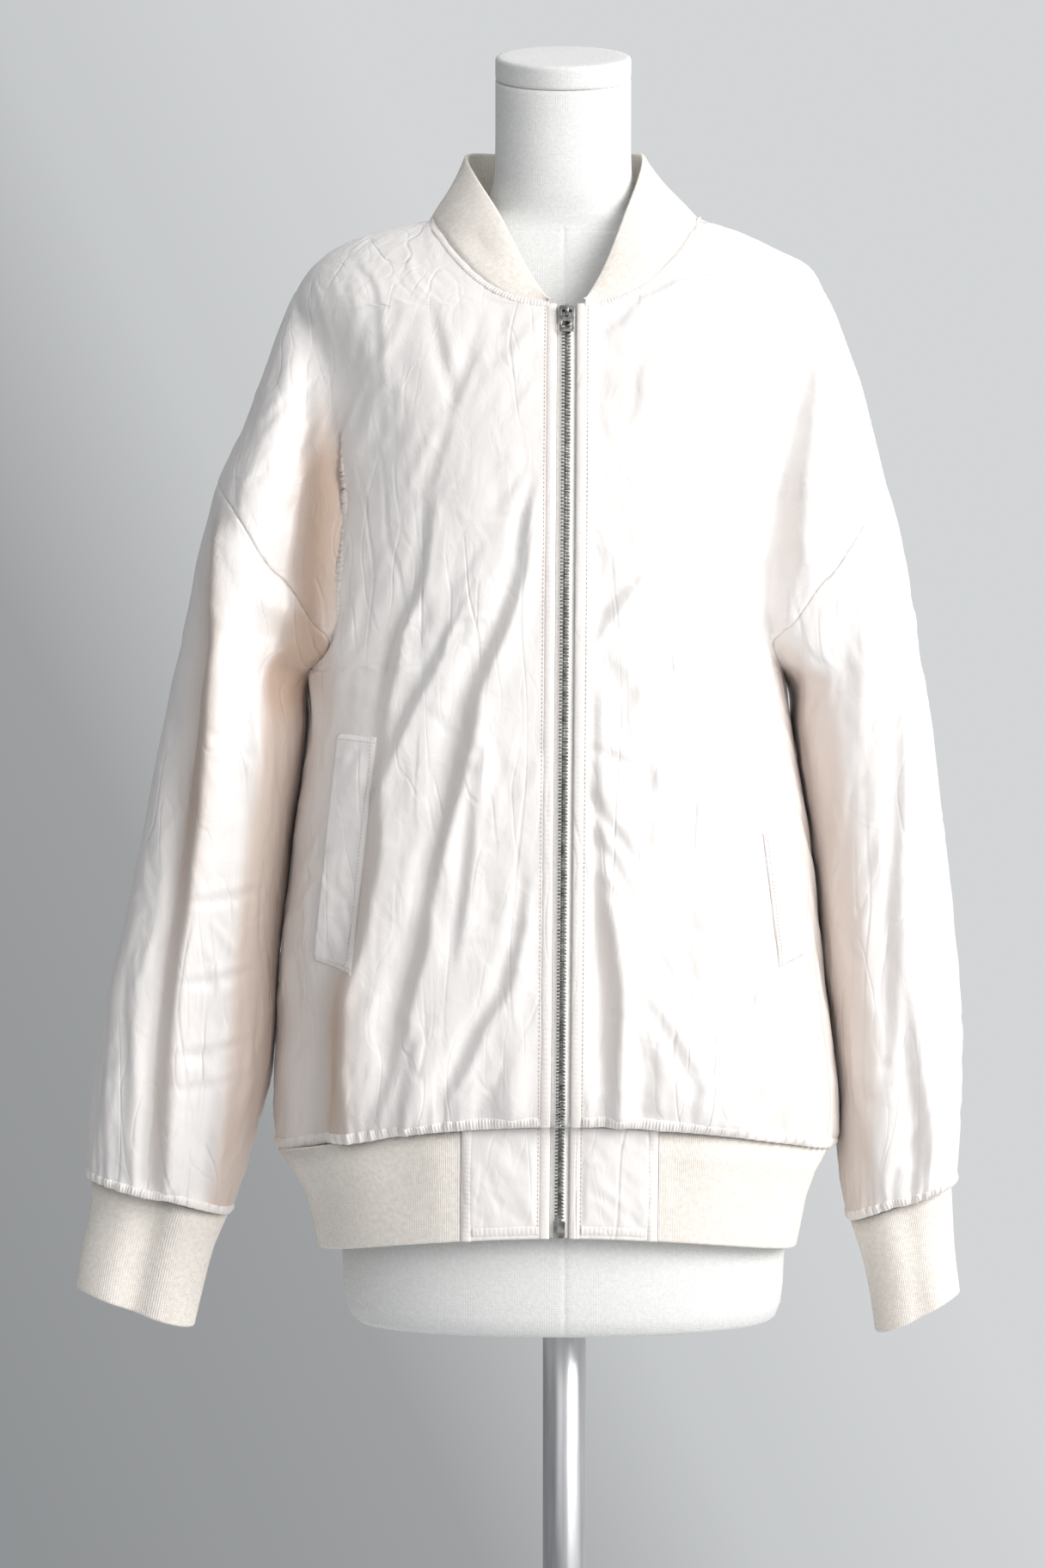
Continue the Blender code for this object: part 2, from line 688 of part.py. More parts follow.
def panel_shares(face):
    """Shares of a row, with one extra beyond the outer seam; the front has a narrow edge strip."""
    first = EDGE_STRIP_SHARE if face == "front" else 0.0
    count = PANEL_COLUMNS_COUNT - 1 if face == "front" else PANEL_COLUMNS_COUNT
    step = (1.0 - first) / (count - 1)
    shares = np.linspace(first, 1.0 + step, count + 1)
    return np.concatenate([[0.0], shares]) if face == "front" else shares


def mirror_last(rows):
    """Replace the extra point of every row by the one beside the seam, mirrored front to back."""
    for row in rows:
        row[-1] = row[-3] * np.array([1.0, -1.0, 1.0])
    return rows


def front_grid(side):
    shares = panel_shares("front")
    chest, yoke = upper_levels()
    rows = mirror_last(lower_grid(side, "front", np.minimum(shares, 1.0)))
    rows += armhole_rows(side, "front", shares)
    upper = [chest_row(side, "front", z, shares) for z in chest]
    upper += [yoke_row(side, z, shares) for z in yoke]
    return np.array(rows + mirror_last(upper))


def yoke_back_rows(side, shares):
    """Back rows from the shoulder level up to the neckline and the shoulder seam."""
    shares = np.minimum(shares, 1.0)
    base = upper_points(side, "back", SHOULDER_Z, shares)[:, 0]
    neck = NECK_REACH * np.sin(shares * math.pi / 2)
    neck_z = back_neck_height(neck)
    rows = []
    for v in 1.0 - (1.0 - np.linspace(0.0, 1.0, YOKE_ROWS + 1)[1:]) ** 1.6:
        edge_z = SHOULDER_Z + (NECK_SIDE_Z - 0.4 - SHOULDER_Z) * v
        edge = float(sleeve_value("outer_" + side, edge_z))
        straight = base[-1] + (neck[-1] - base[-1]) * v
        reach = base + (neck - base) * v + (edge - straight) * shares
        straight_z = SHOULDER_Z + (neck_z[-1] - SHOULDER_Z) * v
        z = SHOULDER_Z + (neck_z - SHOULDER_Z) * v + (edge_z - straight_z) * shares
        reach = np.minimum(reach, sleeve_value("outer_" + side, z))
        depth = body_depth(side, "back", reach, z)
        rows.append(placed(side, np.stack([reach, depth], axis=-1), z))
    return rows


def back_half_grid(side):
    shares = panel_shares("back")
    chest, _ = upper_levels()
    rows = mirror_last(lower_grid(side, "back", np.minimum(shares, 1.0)))
    rows += armhole_rows(side, "back", shares)
    upper = [chest_row(side, "back", z, shares) for z in chest]
    return np.array(rows + mirror_last(upper + yoke_back_rows(side, shares)))


def level_rims(normals, rows):
    """Turn the normals of chosen rows level, so that the wall ends in a level rim."""
    normals = normals.copy()
    for row in rows:
        normals[row, :, 2] = 0.0
        normals[row] /= np.maximum(np.linalg.norm(normals[row], axis=-1, keepdims=True), 1e-9)
    return normals


def front_panel(side, folds):
    """Outer points and normals of a front panel, folds and gathers included."""
    shares = panel_shares("front")
    grid = front_grid(side)
    normals = grid_normals(grid, row_centres(grid))
    x, z = grid[..., 0], grid[..., 2]
    beside_zip = ease((abs(x - zip_x(z)) - 15.0) / 14.0)
    lift = relief(folds, x, z) + hem_puckers(x, z, "front")
    grid = grid + normals * (lift * beside_zip * ease((1.0 - shares) / 0.13))[..., None]
    normals = level_rims(grid_normals(grid, row_centres(grid)), [0])[:, :-1]
    return grid[:, :-1], normals


def back_panel(folds):
    """Outer points and normals of the back panel."""
    right = back_half_grid("right")[:, ::-1]
    left = back_half_grid("left")[:, 1:]
    grid = np.concatenate([right, left], axis=1)
    normals = grid_normals(grid, row_centres(grid))
    x, z = grid[..., 0], grid[..., 2]
    shares = panel_shares("back")
    shares = np.concatenate([shares[::-1], shares[1:]])
    lift = (relief(folds, x, z) + hem_puckers(x + 9.0, z, "back")) * ease((1.0 - shares) / 0.13)
    grid = grid + normals * lift[..., None]
    normals = level_rims(grid_normals(grid, row_centres(grid)), [0])[:, 1:-1]
    return grid[:, 1:-1], normals


def armhole_frame(body_normal, sleeve_normal, along, outward):
    """Shared normal of the two cloths at a point of the armhole seam, and the way to the sleeve.

    Where the cloths face each other across a tight crease, the normal looks out of the crease.
    """
    crease = np.cross((1.0, 0.0, 0.0), along)
    crease = crease / max(np.linalg.norm(crease), 1e-9)
    if crease[2] > 0:
        crease = -crease
    normal = body_normal + sleeve_normal + crease * (1.0 - np.dot(body_normal, sleeve_normal))
    normal = normal - along * np.dot(normal, along) / np.dot(along, along)
    normal = normal / np.linalg.norm(normal)
    over = np.cross(along, normal)
    over = over / np.linalg.norm(over)
    return normal, over if np.dot(over, outward) > 0 else -over


def join_armhole(front, back, back_column, sleeve):
    """Give both sides of an armhole seam the same normals and set them a seam gap apart."""
    body_normals = {"front": front[1].copy(), "back": back[1].copy()}
    sleeve_points, sleeve_normals = sleeve[0].copy(), sleeve[1].copy()
    around = sleeve_points.shape[1]
    inner = {"front": -2, "back": 1 if back_column == 0 else -2}
    for k in range(len(ARMHOLE_TURNS)):
        row = BODY_ROWS + k
        for face, panel, edge, spot in (("front", front, -1, (around - k) % around),
                                        ("back", back, back_column, k)):
            along = sleeve_points[0, (spot + 1) % around] - sleeve_points[0, spot - 1]
            outward = sleeve_points[1, spot] - panel[0][row, inner[face]]
            normal, over = armhole_frame(body_normals[face][row, edge], sleeve_normals[0, spot],
                                         along, outward)
            panel[0][row, edge] -= over * SEAM_GAP / 2
            panel[1][row, edge] = normal
            sleeve[0][0, spot] = sleeve_points[0, spot] + over * SEAM_GAP / 2
            sleeve[1][0, spot] = normal


def add_front(side, panel):
    grid = trimmed(panel[0], first_row=SEAM_GAP / 2)
    sheet_solid("front_" + side, clear_of_seam(grid, "front"), panel[1], CLOTH_WALL, SATIN)


def add_back(panel):
    grid = trimmed(panel[0], first_row=SEAM_GAP / 2)
    sheet_solid("back", clear_of_seam(grid, "back"), panel[1], CLOTH_WALL, SATIN)


# ---------------------------------------------------------------- sleeves and cuffs
CUFF_SEAM = {"right": (683.0, 14.0), "left": (679.0, 14.0)}


def sleeve_columns(side):
    """Turn and top height of every column of the sleeve, round from the underarm."""
    levels = armhole_levels()
    turns = {}
    for face in ("front", "back"):
        marks = np.array([seam_mark(side, face, z) for z in levels])
        marks[0] = 1.0
        turns[face] = np.minimum.accumulate(marks) * math.pi
    around = np.concatenate([-turns["back"], turns["front"][::-1][1:-1]])
    return around, np.concatenate([levels, levels[::-1][1:-1]])


def sleeve_levels_table(side, turns):
    """Section points of the sleeve at close levels, for every turn."""
    levels = np.union1d(np.linspace(640.0, UNDERARM_Z, 60), armhole_levels())
    table = []
    for z in levels:
        if z < UNDERARM_Z:
            table.append(sleeve_arc(side, z, turns))
        else:
            points, marks = half_section(side, z)
            wanted = -turns / math.pi
            table.append(np.stack([np.interp(wanted, marks, points[:, i]) for i in range(2)], axis=-1))
    return levels, np.array(table)


def sleeve_grid(side):
    turns, top = sleeve_columns(side)
    levels, table = sleeve_levels_table(side, turns)
    seam_z, seam_tilt = CUFF_SEAM[side]
    low = seam_z + seam_tilt * np.cos(turns)
    rows = []
    for v in np.linspace(0.0, 1.0, SLEEVE_ROWS + 1):
        z = top + (low - top) * v
        reach_y = np.empty((len(turns), 2))
        for j in range(len(turns)):
            for i in range(2):
                reach_y[j, i] = np.interp(z[j], levels, table[:, j, i])
        rows.append(placed(side, reach_y, z))
    return np.array(rows)


def sleeve_centres(grid):
    centres = grid.mean(axis=1, keepdims=True) + np.zeros_like(grid)
    centres[..., 2] = grid[..., 2]
    return centres


def sleeve_panel(side, front_folds, back_folds):
    """Outer points and normals of a sleeve."""
    grid = sleeve_grid(side)
    normals = grid_normals(grid, sleeve_centres(grid), closed=True)
    x, z = grid[..., 0], grid[..., 2]
    front = ease((-normals[..., 1] - 0.25) / 0.5)
    back = ease((normals[..., 1] - 0.25) / 0.5)
    lift = relief(front_folds, x, z) * front + relief(back_folds, x, z) * back
    lift = lift * ease((z[0] - z) / 30.0) * ease((z - z[-1]) / 12.0)
    grid = grid + normals * lift[..., None]
    normals = level_rims(grid_normals(grid, sleeve_centres(grid), closed=True), [-1])
    return grid, normals


def add_sleeve(side, panel):
    grid = trimmed(panel[0], last_row=SEAM_GAP / 2)
    sheet_solid("sleeve_" + side, grid, panel[1], CLOTH_WALL, SATIN, closed=True)


CUFF_COLUMNS = ("drop", "outer_right", "inner_right", "outer_left", "inner_left", "depth")
CUFF = (
    (0, 344.0, 243.0, 290.0, 216.0, 39),
    (24, 344.5, 253.5, 291.5, 224.0, 31),
    (50, 350.0, 260.5, 293.0, 230.0, 28),
    (84, 355.5, 268.5, 297.0, 235.0, 27),
)


def cuff_value(name, drop):
    return smooth_between(column(CUFF_COLUMNS, CUFF, "drop"), column(CUFF_COLUMNS, CUFF, name), drop)


def build_cuff(side):
    """Rib cuff: a flattened tube that leans outwards and keeps the fold of the sleeve."""
    turns = np.linspace(-math.pi, math.pi, CUFF_AROUND + 1)[:-1]
    seam_z, seam_tilt = CUFF_SEAM[side]
    rows = []
    for drop in np.linspace(0.0, 84.0, CUFF_ROWS + 1):
        outer = cuff_value("outer_" + side, drop)
        inner = cuff_value("inner_" + side, drop)
        depth = cuff_value("depth", drop) + np.zeros_like(turns)
        fold = 9.0 * np.exp(-((np.cos(turns) - 0.0) / 0.3) ** 2) * (1.0 if side == "right" else 0.35)
        depth = depth - fold
        reach = 0.5 * (outer + inner) + 0.5 * (outer - inner) * np.cos(turns)
        z = seam_z + seam_tilt * np.cos(turns) - SEAM_GAP - drop
        rows.append(placed(side, np.stack([reach, -depth * np.sin(turns)], axis=-1), z))
    grid = np.array(rows)
    normals = level_rims(grid_normals(grid, sleeve_centres(grid), closed=True), [0])
    sheet_solid("cuff_" + side, grid, normals, RIB_WALL, KNIT, closed=True)


# ---------------------------------------------------------------- hem
RIB_COLUMNS = ("share", "right", "left", "front", "back")
RIB = (
    (0.0, 206.0, 200.0, 129.0, 102.5),
    (0.25, 194.0, 189.0, 126.0, 101.0),
    (0.5, 184.5, 182.5, 124.0, 100.0),
    (0.75, 179.5, 179.0, 123.0, 99.0),
    (1.0, 176.0, 175.0, 122.0, 98.0),
)
BAND_REACH = 70.0
HEM_BAND_ROWS = 4
RIB_LOW_FRONT_Z = 664.0
RIB_LOW_SIDE_Z = 646.0
RIB_LOW_BACK_Z = 656.0


def rib_value(name, share):
    return smooth_between(column(RIB_COLUMNS, RIB, "share"), column(RIB_COLUMNS, RIB, name), share)


def rib_low_height(reach, face):
    middle = RIB_LOW_FRONT_Z if face == "front" else RIB_LOW_BACK_Z
    return RIB_LOW_SIDE_Z + (middle - RIB_LOW_SIDE_Z) * (1.0 - np.clip(reach / 180.0, 0.0, 1.0) ** 2)


def hem_point(side, face, share, angle):
    """Point of the hem band: share 0 at the gathered seam, 1 at the lower edge."""
    power = 2.0 / roundness(face)
    reach = rib_value(side, share) * np.sin(angle) ** power
    y = facing(face) * rib_value(face, share) * np.clip(np.cos(angle), 0.0, 1.0) ** power
    top = hem_height(reach, face) - SEAM_GAP
    z = top + (rib_low_height(reach, face) - top) * share
    return placed(side, np.stack(np.broadcast_arrays(reach, y), axis=-1), z)


def hem_angles(side, face, first_reach, count, share=0.5):
    angles = np.linspace(0.0, math.pi / 2, 300)
    points = hem_point(side, face, share, angles)[:, :2]
    arc = np.concatenate(([0.0], np.cumsum(np.linalg.norm(np.diff(points, axis=0), axis=1))))
    reach = abs(points[:, 0] - points[0, 0])
    start = float(np.interp(first_reach, reach, arc))
    return np.interp(np.linspace(start, arc[-1], count), arc, angles)


def build_hem_rib():
    quarter = RIB_AROUND // 4
    rows = []
    front = {side: hem_angles(side, "front", BAND_REACH, quarter - 2) for side in SIGN}
    back = {side: hem_angles(side, "back", 0.0, quarter + 3) for side in SIGN}
    for share in np.linspace(0.0, 1.0, RIB_ROWS + 1):
        row = [hem_point("right", "front", share, front["right"]),
               hem_point("right", "back", share, back["right"][::-1])[1:],
               hem_point("left", "back", share, back["left"])[1:],
               hem_point("left", "front", share, front["left"][::-1])[1:]]
        rows.append(np.concatenate(row))
    grid = np.array(rows)
    normals = level_rims(grid_normals(grid, row_centres(grid)), [0])
    sheet_solid("hem_rib", grid, normals, RIB_WALL, KNIT)


def build_hem_band(side):
    angles = hem_angles(side, "front", FRONT_EDGE, 300)
    reach = abs(hem_point(side, "front", 0.5, angles)[:, 0] - zip_x(700.0))
    last = int(np.argmax(reach > BAND_REACH - SEAM_GAP))
    picked = angles[np.linspace(0, last - 1, 7).astype(int)]
    shares = np.linspace(0.0, 1.0, HEM_BAND_ROWS + 1)
    rows = [hem_point(side, "front", share, picked) for share in shares]
    grid = np.array(rows)
    grid = trimmed(grid, last_col=SEAM_GAP)
    normals = level_rims(grid_normals(grid, row_centres(grid)), [0])
    sheet_solid("hem_band_" + side, grid, normals, CLOTH_WALL, SATIN)


# ---------------------------------------------------------------- collar
# Top edge of the collar by share of the neck seam, from beside the zip to the centre back.
COLLAR_COLUMNS = ("share", "top_right", "top_left", "top_y", "top_z")
COLLAR = (
    (0.0, 13.5, 13.5, -107.0, 1329.5),
    (0.18, 29.0, 27.0, -86.0, 1357.0),
    (0.38, 49.0, 43.0, -53.0, 1400.0),
    (0.52, 65.0, 53.5, -22.0, 1429.0),
    (0.68, 74.0, 58.5, 12.0, 1451.0),
    (0.84, 54.0, 47.0, 51.0, 1459.0),
    (1.0, 0.0, 0.0, 66.0, 1460.0),
)
COLLAR_BULGE = 3.0
COLLAR_LIFT = 1.2
COLLAR_START = 13.0


def collar_value(name, share):
    return smooth_between(column(COLLAR_COLUMNS, COLLAR, "share"),
                          column(COLLAR_COLUMNS, COLLAR, name), share)


def neck_rail(side, front, back):
    """Neck seam of one side: the panels' own edge points, from beside the zip to the centre back."""
    rising = front[front[:, 0, 2] > NECK_FRONT_Z, 0]
    reach = abs(rising[:, 0] - zip_x(rising[:, 2]))
    share = (COLLAR_START - reach[0]) / (reach[1] - reach[0])
    first = rising[0] + (rising[1] - rising[0]) * share
    middle = back.shape[1] // 2
    behind = back[-1, 1:middle + 1] if side == "right" else back[-1, middle:-1][::-1]
    return np.concatenate([[first], rising[1:], behind])


def collar_side(side, rail, steps):
    """Rows of collar points over one side of the neck seam."""
    arc = np.concatenate(([0.0], np.cumsum(np.linalg.norm(np.diff(rail, axis=0), axis=1))))
    shares = arc / arc[-1]
    top = np.stack([SIGN[side] * collar_value("top_" + side, shares) + zip_x(NECK_FRONT_Z),
                    collar_value("top_y", shares), collar_value("top_z", shares)], axis=-1)
    rise = top - rail
    start = rail + rise / np.linalg.norm(rise, axis=-1, keepdims=True) * COLLAR_LIFT
    outward = rail * np.array([1.0, 1.0, 0.0])
    outward = outward / np.linalg.norm(outward, axis=-1, keepdims=True)
    rows = []
    for v in steps:
        bulge = COLLAR_BULGE * 4 * v * (1 - v) * np.clip(shares / 0.3, 0.0, 1.0)
        rows.append(start + (top - start) * v + outward * bulge[:, None])
    return np.array(rows)


def build_collar(front, back):
    steps = np.linspace(0.0, 1.0, COLLAR_ROWS + 1)
    right = collar_side("right", neck_rail("right", front["right"], back), steps)
    left = collar_side("left", neck_rail("left", front["left"], back), steps)[:, ::-1][:, 1:]
    grid = np.concatenate([right, left], axis=1)
    sheet_solid("collar", grid, grid_normals(grid, row_centres(grid)), RIB_WALL, KNIT)


# ---------------------------------------------------------------- zip
CHAIN_HALF = 3.0
TAPE_OUT = 12.5


def zip_strip(name, first, last, front, back, heights, look):
    """Strip along the zip line between two reaches and two depths behind the panel face."""
    points = []
    for x, y, z in (zip_line(z) for z in heights):
        for reach, depth in ((first, front), (last, front), (last, back), (first, back)):
            points.append((x + reach, y + depth, z))
    faces = [(0, 1, 2, 3)]
    for i in range(len(heights) - 1):
        for k in range(4):
            j = (k + 1) % 4
            faces.append((4 * i + k, 4 * i + 4 + k, 4 * i + 4 + j, 4 * i + j))
    end = 4 * (len(heights) - 1)
    faces.append((end + 3, end + 2, end + 1, end))
    return add_solid(name, points, faces, look)


def zip_line(z):
    """Centre point of the zip's face at a height."""
    if z > HEM_FRONT_Z:
        depth = float(body_value("front", z))
    else:
        share = (HEM_FRONT_Z - z) / (HEM_FRONT_Z - RIB_LOW_FRONT_Z)
        depth = float(rib_value("front", share))
    return np.array([float(zip_x(z)), -depth, z])


SLIDER_TOP_Z = 1324.0
SLIDER_HEIGHT = 11.0
PULL_AXIS_DEPTH = -4.3
PULL_AXIS_Z = -3.1
PULL_LEAN = 5.0
PULL_THICK = 1.2
PULL_X = (-5.4, -3.4, 3.4, 5.4)
PULL_Z = (1.5, -1.5, -7.1, -10.3, -16.1, -18.3)


def zip_frame(z):
    """Origin and axes on the zip's face: to the wearer's left, back into the jacket, up the zip."""
    origin = zip_line(z)
    up = origin - zip_line(z - 14.0)
    up = up / np.linalg.norm(up)
    over = np.array([1.0, 0.0, 0.0]) - up * up[0]
    over = over / np.linalg.norm(over)
    return origin, over, np.cross(up, over), up


def framed(frame, x, depth, z):
    """Point at (x, depth behind the face, z) of a frame on the zip."""
    origin, over, behind, up = frame
    return origin + over * x + behind * depth + up * z


def slider_outline():
    """Shield outline of the slider body, wider at its shoulders."""
    return ((-3.2, -11.0), (3.2, -11.0), (4.2, -7.5), (5.6, -2.0), (4.6, 0.0),
            (1.2, 0.0), (0.0, -0.8), (-1.2, 0.0), (-4.6, 0.0), (-5.6, -2.0), (-4.2, -7.5))


def prism(name, outline, frame, front, back, look):
    """Solid from an outline on the zip's face carried from one depth to another."""
    count = len(outline)
    points = [framed(frame, x, front, z) for x, z in outline]
    points += [framed(frame, x, back, z) for x, z in outline]
    faces = [tuple(range(count)), tuple(reversed(range(count, 2 * count)))]
    faces += [((k + 1) % count, k, count + k, count + (k + 1) % count) for k in range(count)]
    return add_solid(name, points, faces, look)


def pierced_plate(name, xs, zs, open_cells, frame, front, back, look, origin):
    """Flat plate made of a grid of cells, some left open, with its low corners cut."""
    points = []
    for depth in (front, back):
        for z in zs:
            for x in xs:
                inset = 0.8 if z == zs[-1] and abs(x) == max(xs) else 0.0
                points.append(framed(frame, x - math.copysign(inset, x), depth, z))
    cols, rows = len(xs), len(zs)
    count = cols * rows

    def solid(i, j):
        return 0 <= i < rows - 1 and 0 <= j < cols - 1 and (i, j) not in open_cells

    faces = []
    for i in range(rows - 1):
        for j in range(cols - 1):
            if not solid(i, j):
                continue
            a, b = i * cols + j, i * cols + j + 1
            c, d = b + cols, a + cols
            faces += [(a, b, c, d), (count + d, count + c, count + b, count + a)]
            for side, edge in (((i - 1, j), (b, a)), ((i + 1, j), (d, c)),
                               ((i, j - 1), (a, d)), ((i, j + 1), (c, b))):
                if not solid(*side):
                    faces.append((edge[0], edge[1], count + edge[1], count + edge[0]))
    return add_solid(name, points, faces, look, origin)


def leaned(frame, origin, degrees):
    """Frame with a new origin, its low end swung back towards the zip."""
    _, over, behind, up = frame
    lean = math.radians(degrees)
    return (origin, over, behind * math.cos(lean) + up * math.sin(lean),
            up * math.cos(lean) - behind * math.sin(lean))


def build_pull(frame):
    """Pull tab hanging from the slider, its origin on the axis it swings about."""
    hinge = framed(frame, 0.0, PULL_AXIS_DEPTH, PULL_AXIS_Z)
    pierced_plate("zip_pull", PULL_X, PULL_Z, ((1, 1), (3, 1)), leaned(frame, hinge, PULL_LEAN),
                  -PULL_THICK / 2, PULL_THICK / 2, SILVER, hinge)


def rounded_outline(width, length, corner, count=12):
    """Rounded rectangle hanging down from z = 0, as (x, z) points."""
    ring = []
    for k in range(count):
        a = 2 * math.pi * (k + 0.5) / count
        cx = math.copysign(width / 2 - corner, math.cos(a))
        cz = math.copysign(length / 2 - corner, math.sin(a))
        ring.append((cx + corner * math.cos(a), cz + corner * math.sin(a) - length / 2))
    return ring


def zip_heights(panel, low, high):
    """Row heights of the front panel and hem band between two heights, ends added."""
    band = np.linspace(HEM_FRONT_Z, RIB_LOW_FRONT_Z, HEM_BAND_ROWS + 1)
    rows = np.concatenate([band, panel[:, 0, 2]])
    inside = rows[(rows > low + 1.0) & (rows < high - 1.0)]
    return np.unique(np.round(np.concatenate([[low], inside, [high]]), 2))


def build_zip(panel):
    chain = zip_heights(panel, RIB_LOW_FRONT_Z + 13.0, SLIDER_TOP_Z - SLIDER_HEIGHT - 0.6)
    tape = zip_heights(panel, RIB_LOW_FRONT_Z + 0.5, NECK_FRONT_Z - 0.5)
    zip_strip("zip_chain", -CHAIN_HALF, CHAIN_HALF, -0.3, 1.7, chain, SILVER)
    zip_strip("zip_tape_left", CHAIN_HALF + 0.3, TAPE_OUT, 2.4, 3.2, tape, TAPE)
    zip_strip("zip_tape_right", -TAPE_OUT, -CHAIN_HALF - 0.3, 2.4, 3.2, tape, TAPE)
    frame = zip_frame(SLIDER_TOP_Z)
    prism("zip_slider", slider_outline(), frame, -2.4, 1.1, SILVER)
    build_pull(frame)
    box = zip_frame(RIB_LOW_FRONT_Z + 12.6)
    prism("zip_stop", rounded_outline(8.4, 12.0, 1.0), box, -1.2, 1.9, SILVER)


# ---------------------------------------------------------------- pocket welts
WELT_COLUMNS = ("x_top_out", "z_top_out", "x_top_in", "z_top_in", "x_low_in", "z_low_in",
                "x_low_out", "z_low_out")
WELT_RIGHT = (-161.0, 1021.0, -134.0, 1018.0, -152.0, 850.0, -179.0, 859.0)
WELT_LEFT = (139.0, 950.0, 157.0, 958.0, 168.0, 862.0, 151.0, 855.0)
WELT_LIFT = 1.5
WELT_WALL = 1.4


def panel_point(grid, x, z):
    """Point on the flat faces of a front panel under a point of the front view."""
    flat = grid.reshape(-1, 3)
    distance = (flat[:, 0] - x) ** 2 + (flat[:, 2] - z) ** 2
    distance = np.where(flat[:, 1] < -8.0, distance, 1e9)
    near = np.argsort(distance)[:12]
    rows, cols = np.unravel_index(near, grid.shape[:2])
    best = None
    for i, j in zip(rows, cols):
        for di in (-1, 0):
            for dj in (-1, 0):
                a, b = i + di, j + dj
                if 0 <= a < grid.shape[0] - 1 and 0 <= b < grid.shape[1] - 1:
                    corners = grid[a:a + 2, b:b + 2].reshape(4, 3)
                    for pick in ((0, 1, 3), (0, 3, 2)):
                        hit = in_triangle(corners[list(pick)], x, z)
                        if hit is not None and (best is None or hit[1] < best[1]):
                            best = hit
    return best


def in_triangle(corners, x, z):
    """Barycentric point of a triangle above (x, z) in the front view, or None."""
    a, b, c = corners
    matrix = np.array([[b[0] - a[0], c[0] - a[0]], [b[2] - a[2], c[2] - a[2]]])
    area = np.linalg.det(matrix)
    if abs(area) < 1e-9:
        return None
    s, t = np.linalg.solve(matrix, [x - a[0], z - a[2]])
    if s < -1e-6 or t < -1e-6 or s + t > 1 + 1e-6:
        return None
    return a + s * (b - a) + t * (c - a)


def build_welt(side, corners, panel):
    """Welt laid on its panel: the panel's own points, moved out."""
    top_out, top_in = np.array(corners[0:2]), np.array(corners[2:4])
    low_in, low_out = np.array(corners[4:6]), np.array(corners[6:8])
    rows = []
    for v in np.linspace(0.0, 1.0, 11):
        row = []
        for u in np.linspace(0.0, 1.0, 4):
            out = top_out + (low_out - top_out) * v
            inside = top_in + (low_in - top_in) * v
            x, z = out + (inside - out) * u
            row.append(panel_point(panel, x, z))
        rows.append(row)
    grid = np.array(rows)
    normals = grid_normals(grid, row_centres(grid))
    outer = grid + normals * (WELT_LIFT + WELT_WALL)
    sheet_solid("pocket_welt_" + side, outer, normals, WELT_WALL, SATIN)


# ---------------------------------------------------------------- dress form
FORM_COLUMNS = ("z", "half_width", "front", "back", "middle_y", "tilt")
FORM = (
    (590, 150, 92, 92, 0, 0),
    (596, 158, 99, 98, 0, 0),
    (640, 163, 103, 91, 0, 0),
    (720, 165, 104, 90, 0, 0),
    (800, 163, 103, 91, 0, 0),
    (880, 150, 98, 88, 0, 0),
    (960, 134, 92, 82, 0, 0),
    (1030, 128, 91, 80, 0, 0),
    (1110, 136, 102, 88, 0, 0),
    (1190, 146, 113, 95, 0, 0),
    (1250, 152, 106, 98, 0, 0),
    (1300, 165, 90, 94, 0, 0),
    (1335, 172, 72, 86, 0, 0),
    (1355, 166, 60, 78, 2, 0),
    (1372, 147, 54, 70, 3, 0),
    (1384, 120, 50, 62, 4, 0),
    (1393, 90, 47, 56, 4, 1),
    (1402, 66, 47, 52, 3, 2),
    (1418, 55, 48, 50, 1, 4),
    (1440, 50.5, 48, 49, -1, 7),
    (1470, 50, 48, 49, -3, 13),
    (1503.5, 50, 49, 49, -6, 20),
)
FORM_AROUND = 26
FORM_X = -1.0


def form_ring(z, half_width, front, back, middle_y, tilt, around):
    ring = []
    for k in range(around):
        a = 2 * math.pi * k / around
        depth = front if math.sin(a) < 0 else back
        x = half_width * math.copysign(abs(math.cos(a)) ** 0.94, math.cos(a))
        y = depth * math.copysign(abs(math.sin(a)) ** 0.94, math.sin(a))
        lean = math.radians(tilt)
        ring.append((x + FORM_X, middle_y + y * math.cos(lean), z + y * math.sin(lean)))
    return ring


def build_form():
    rings = [form_ring(*row, FORM_AROUND) for row in FORM]
    ring_stack("form_torso", rings, FORM_CLOTH)
    build_cap()
    lathe("form_pole", ((0, 34.2), (16, 34.2), (16, 589.7), (0, 589.7)), STEEL, 24)
    lathe("form_base", ((0, 0), (186, 0), (190, 3), (190, 9), (186, 12), (34, 14), (28, 18),
                        (24, 34), (0, 34)), STEEL, 48)


def build_cap():
    """Flat neck cap, tilted forwards with the top of the neck."""
    lean = math.radians(20.0)
    base = np.array([FORM_X, -6.0, 1503.5])
    up = np.array([0.0, -math.sin(lean), math.cos(lean)])
    over = np.array([0.0, math.cos(lean), math.sin(lean)])
    rings = []
    for lift, radius in ((0.3, 48.0), (1.3, 49.5), (16.5, 50.0), (18.0, 48.8)):
        ring = []
        for k in range(32):
            a = 2 * math.pi * k / 32
            ring.append(base + up * lift + np.array([radius * math.cos(a), 0, 0]) + over * radius * math.sin(a))
        rings.append(ring)
    ring_stack("form_neck_cap", rings, FORM_CLOTH)


# ---------------------------------------------------------------- build
def clear_scene():
    for item in list(bpy.data.objects):
        bpy.data.objects.remove(item, do_unlink=True)


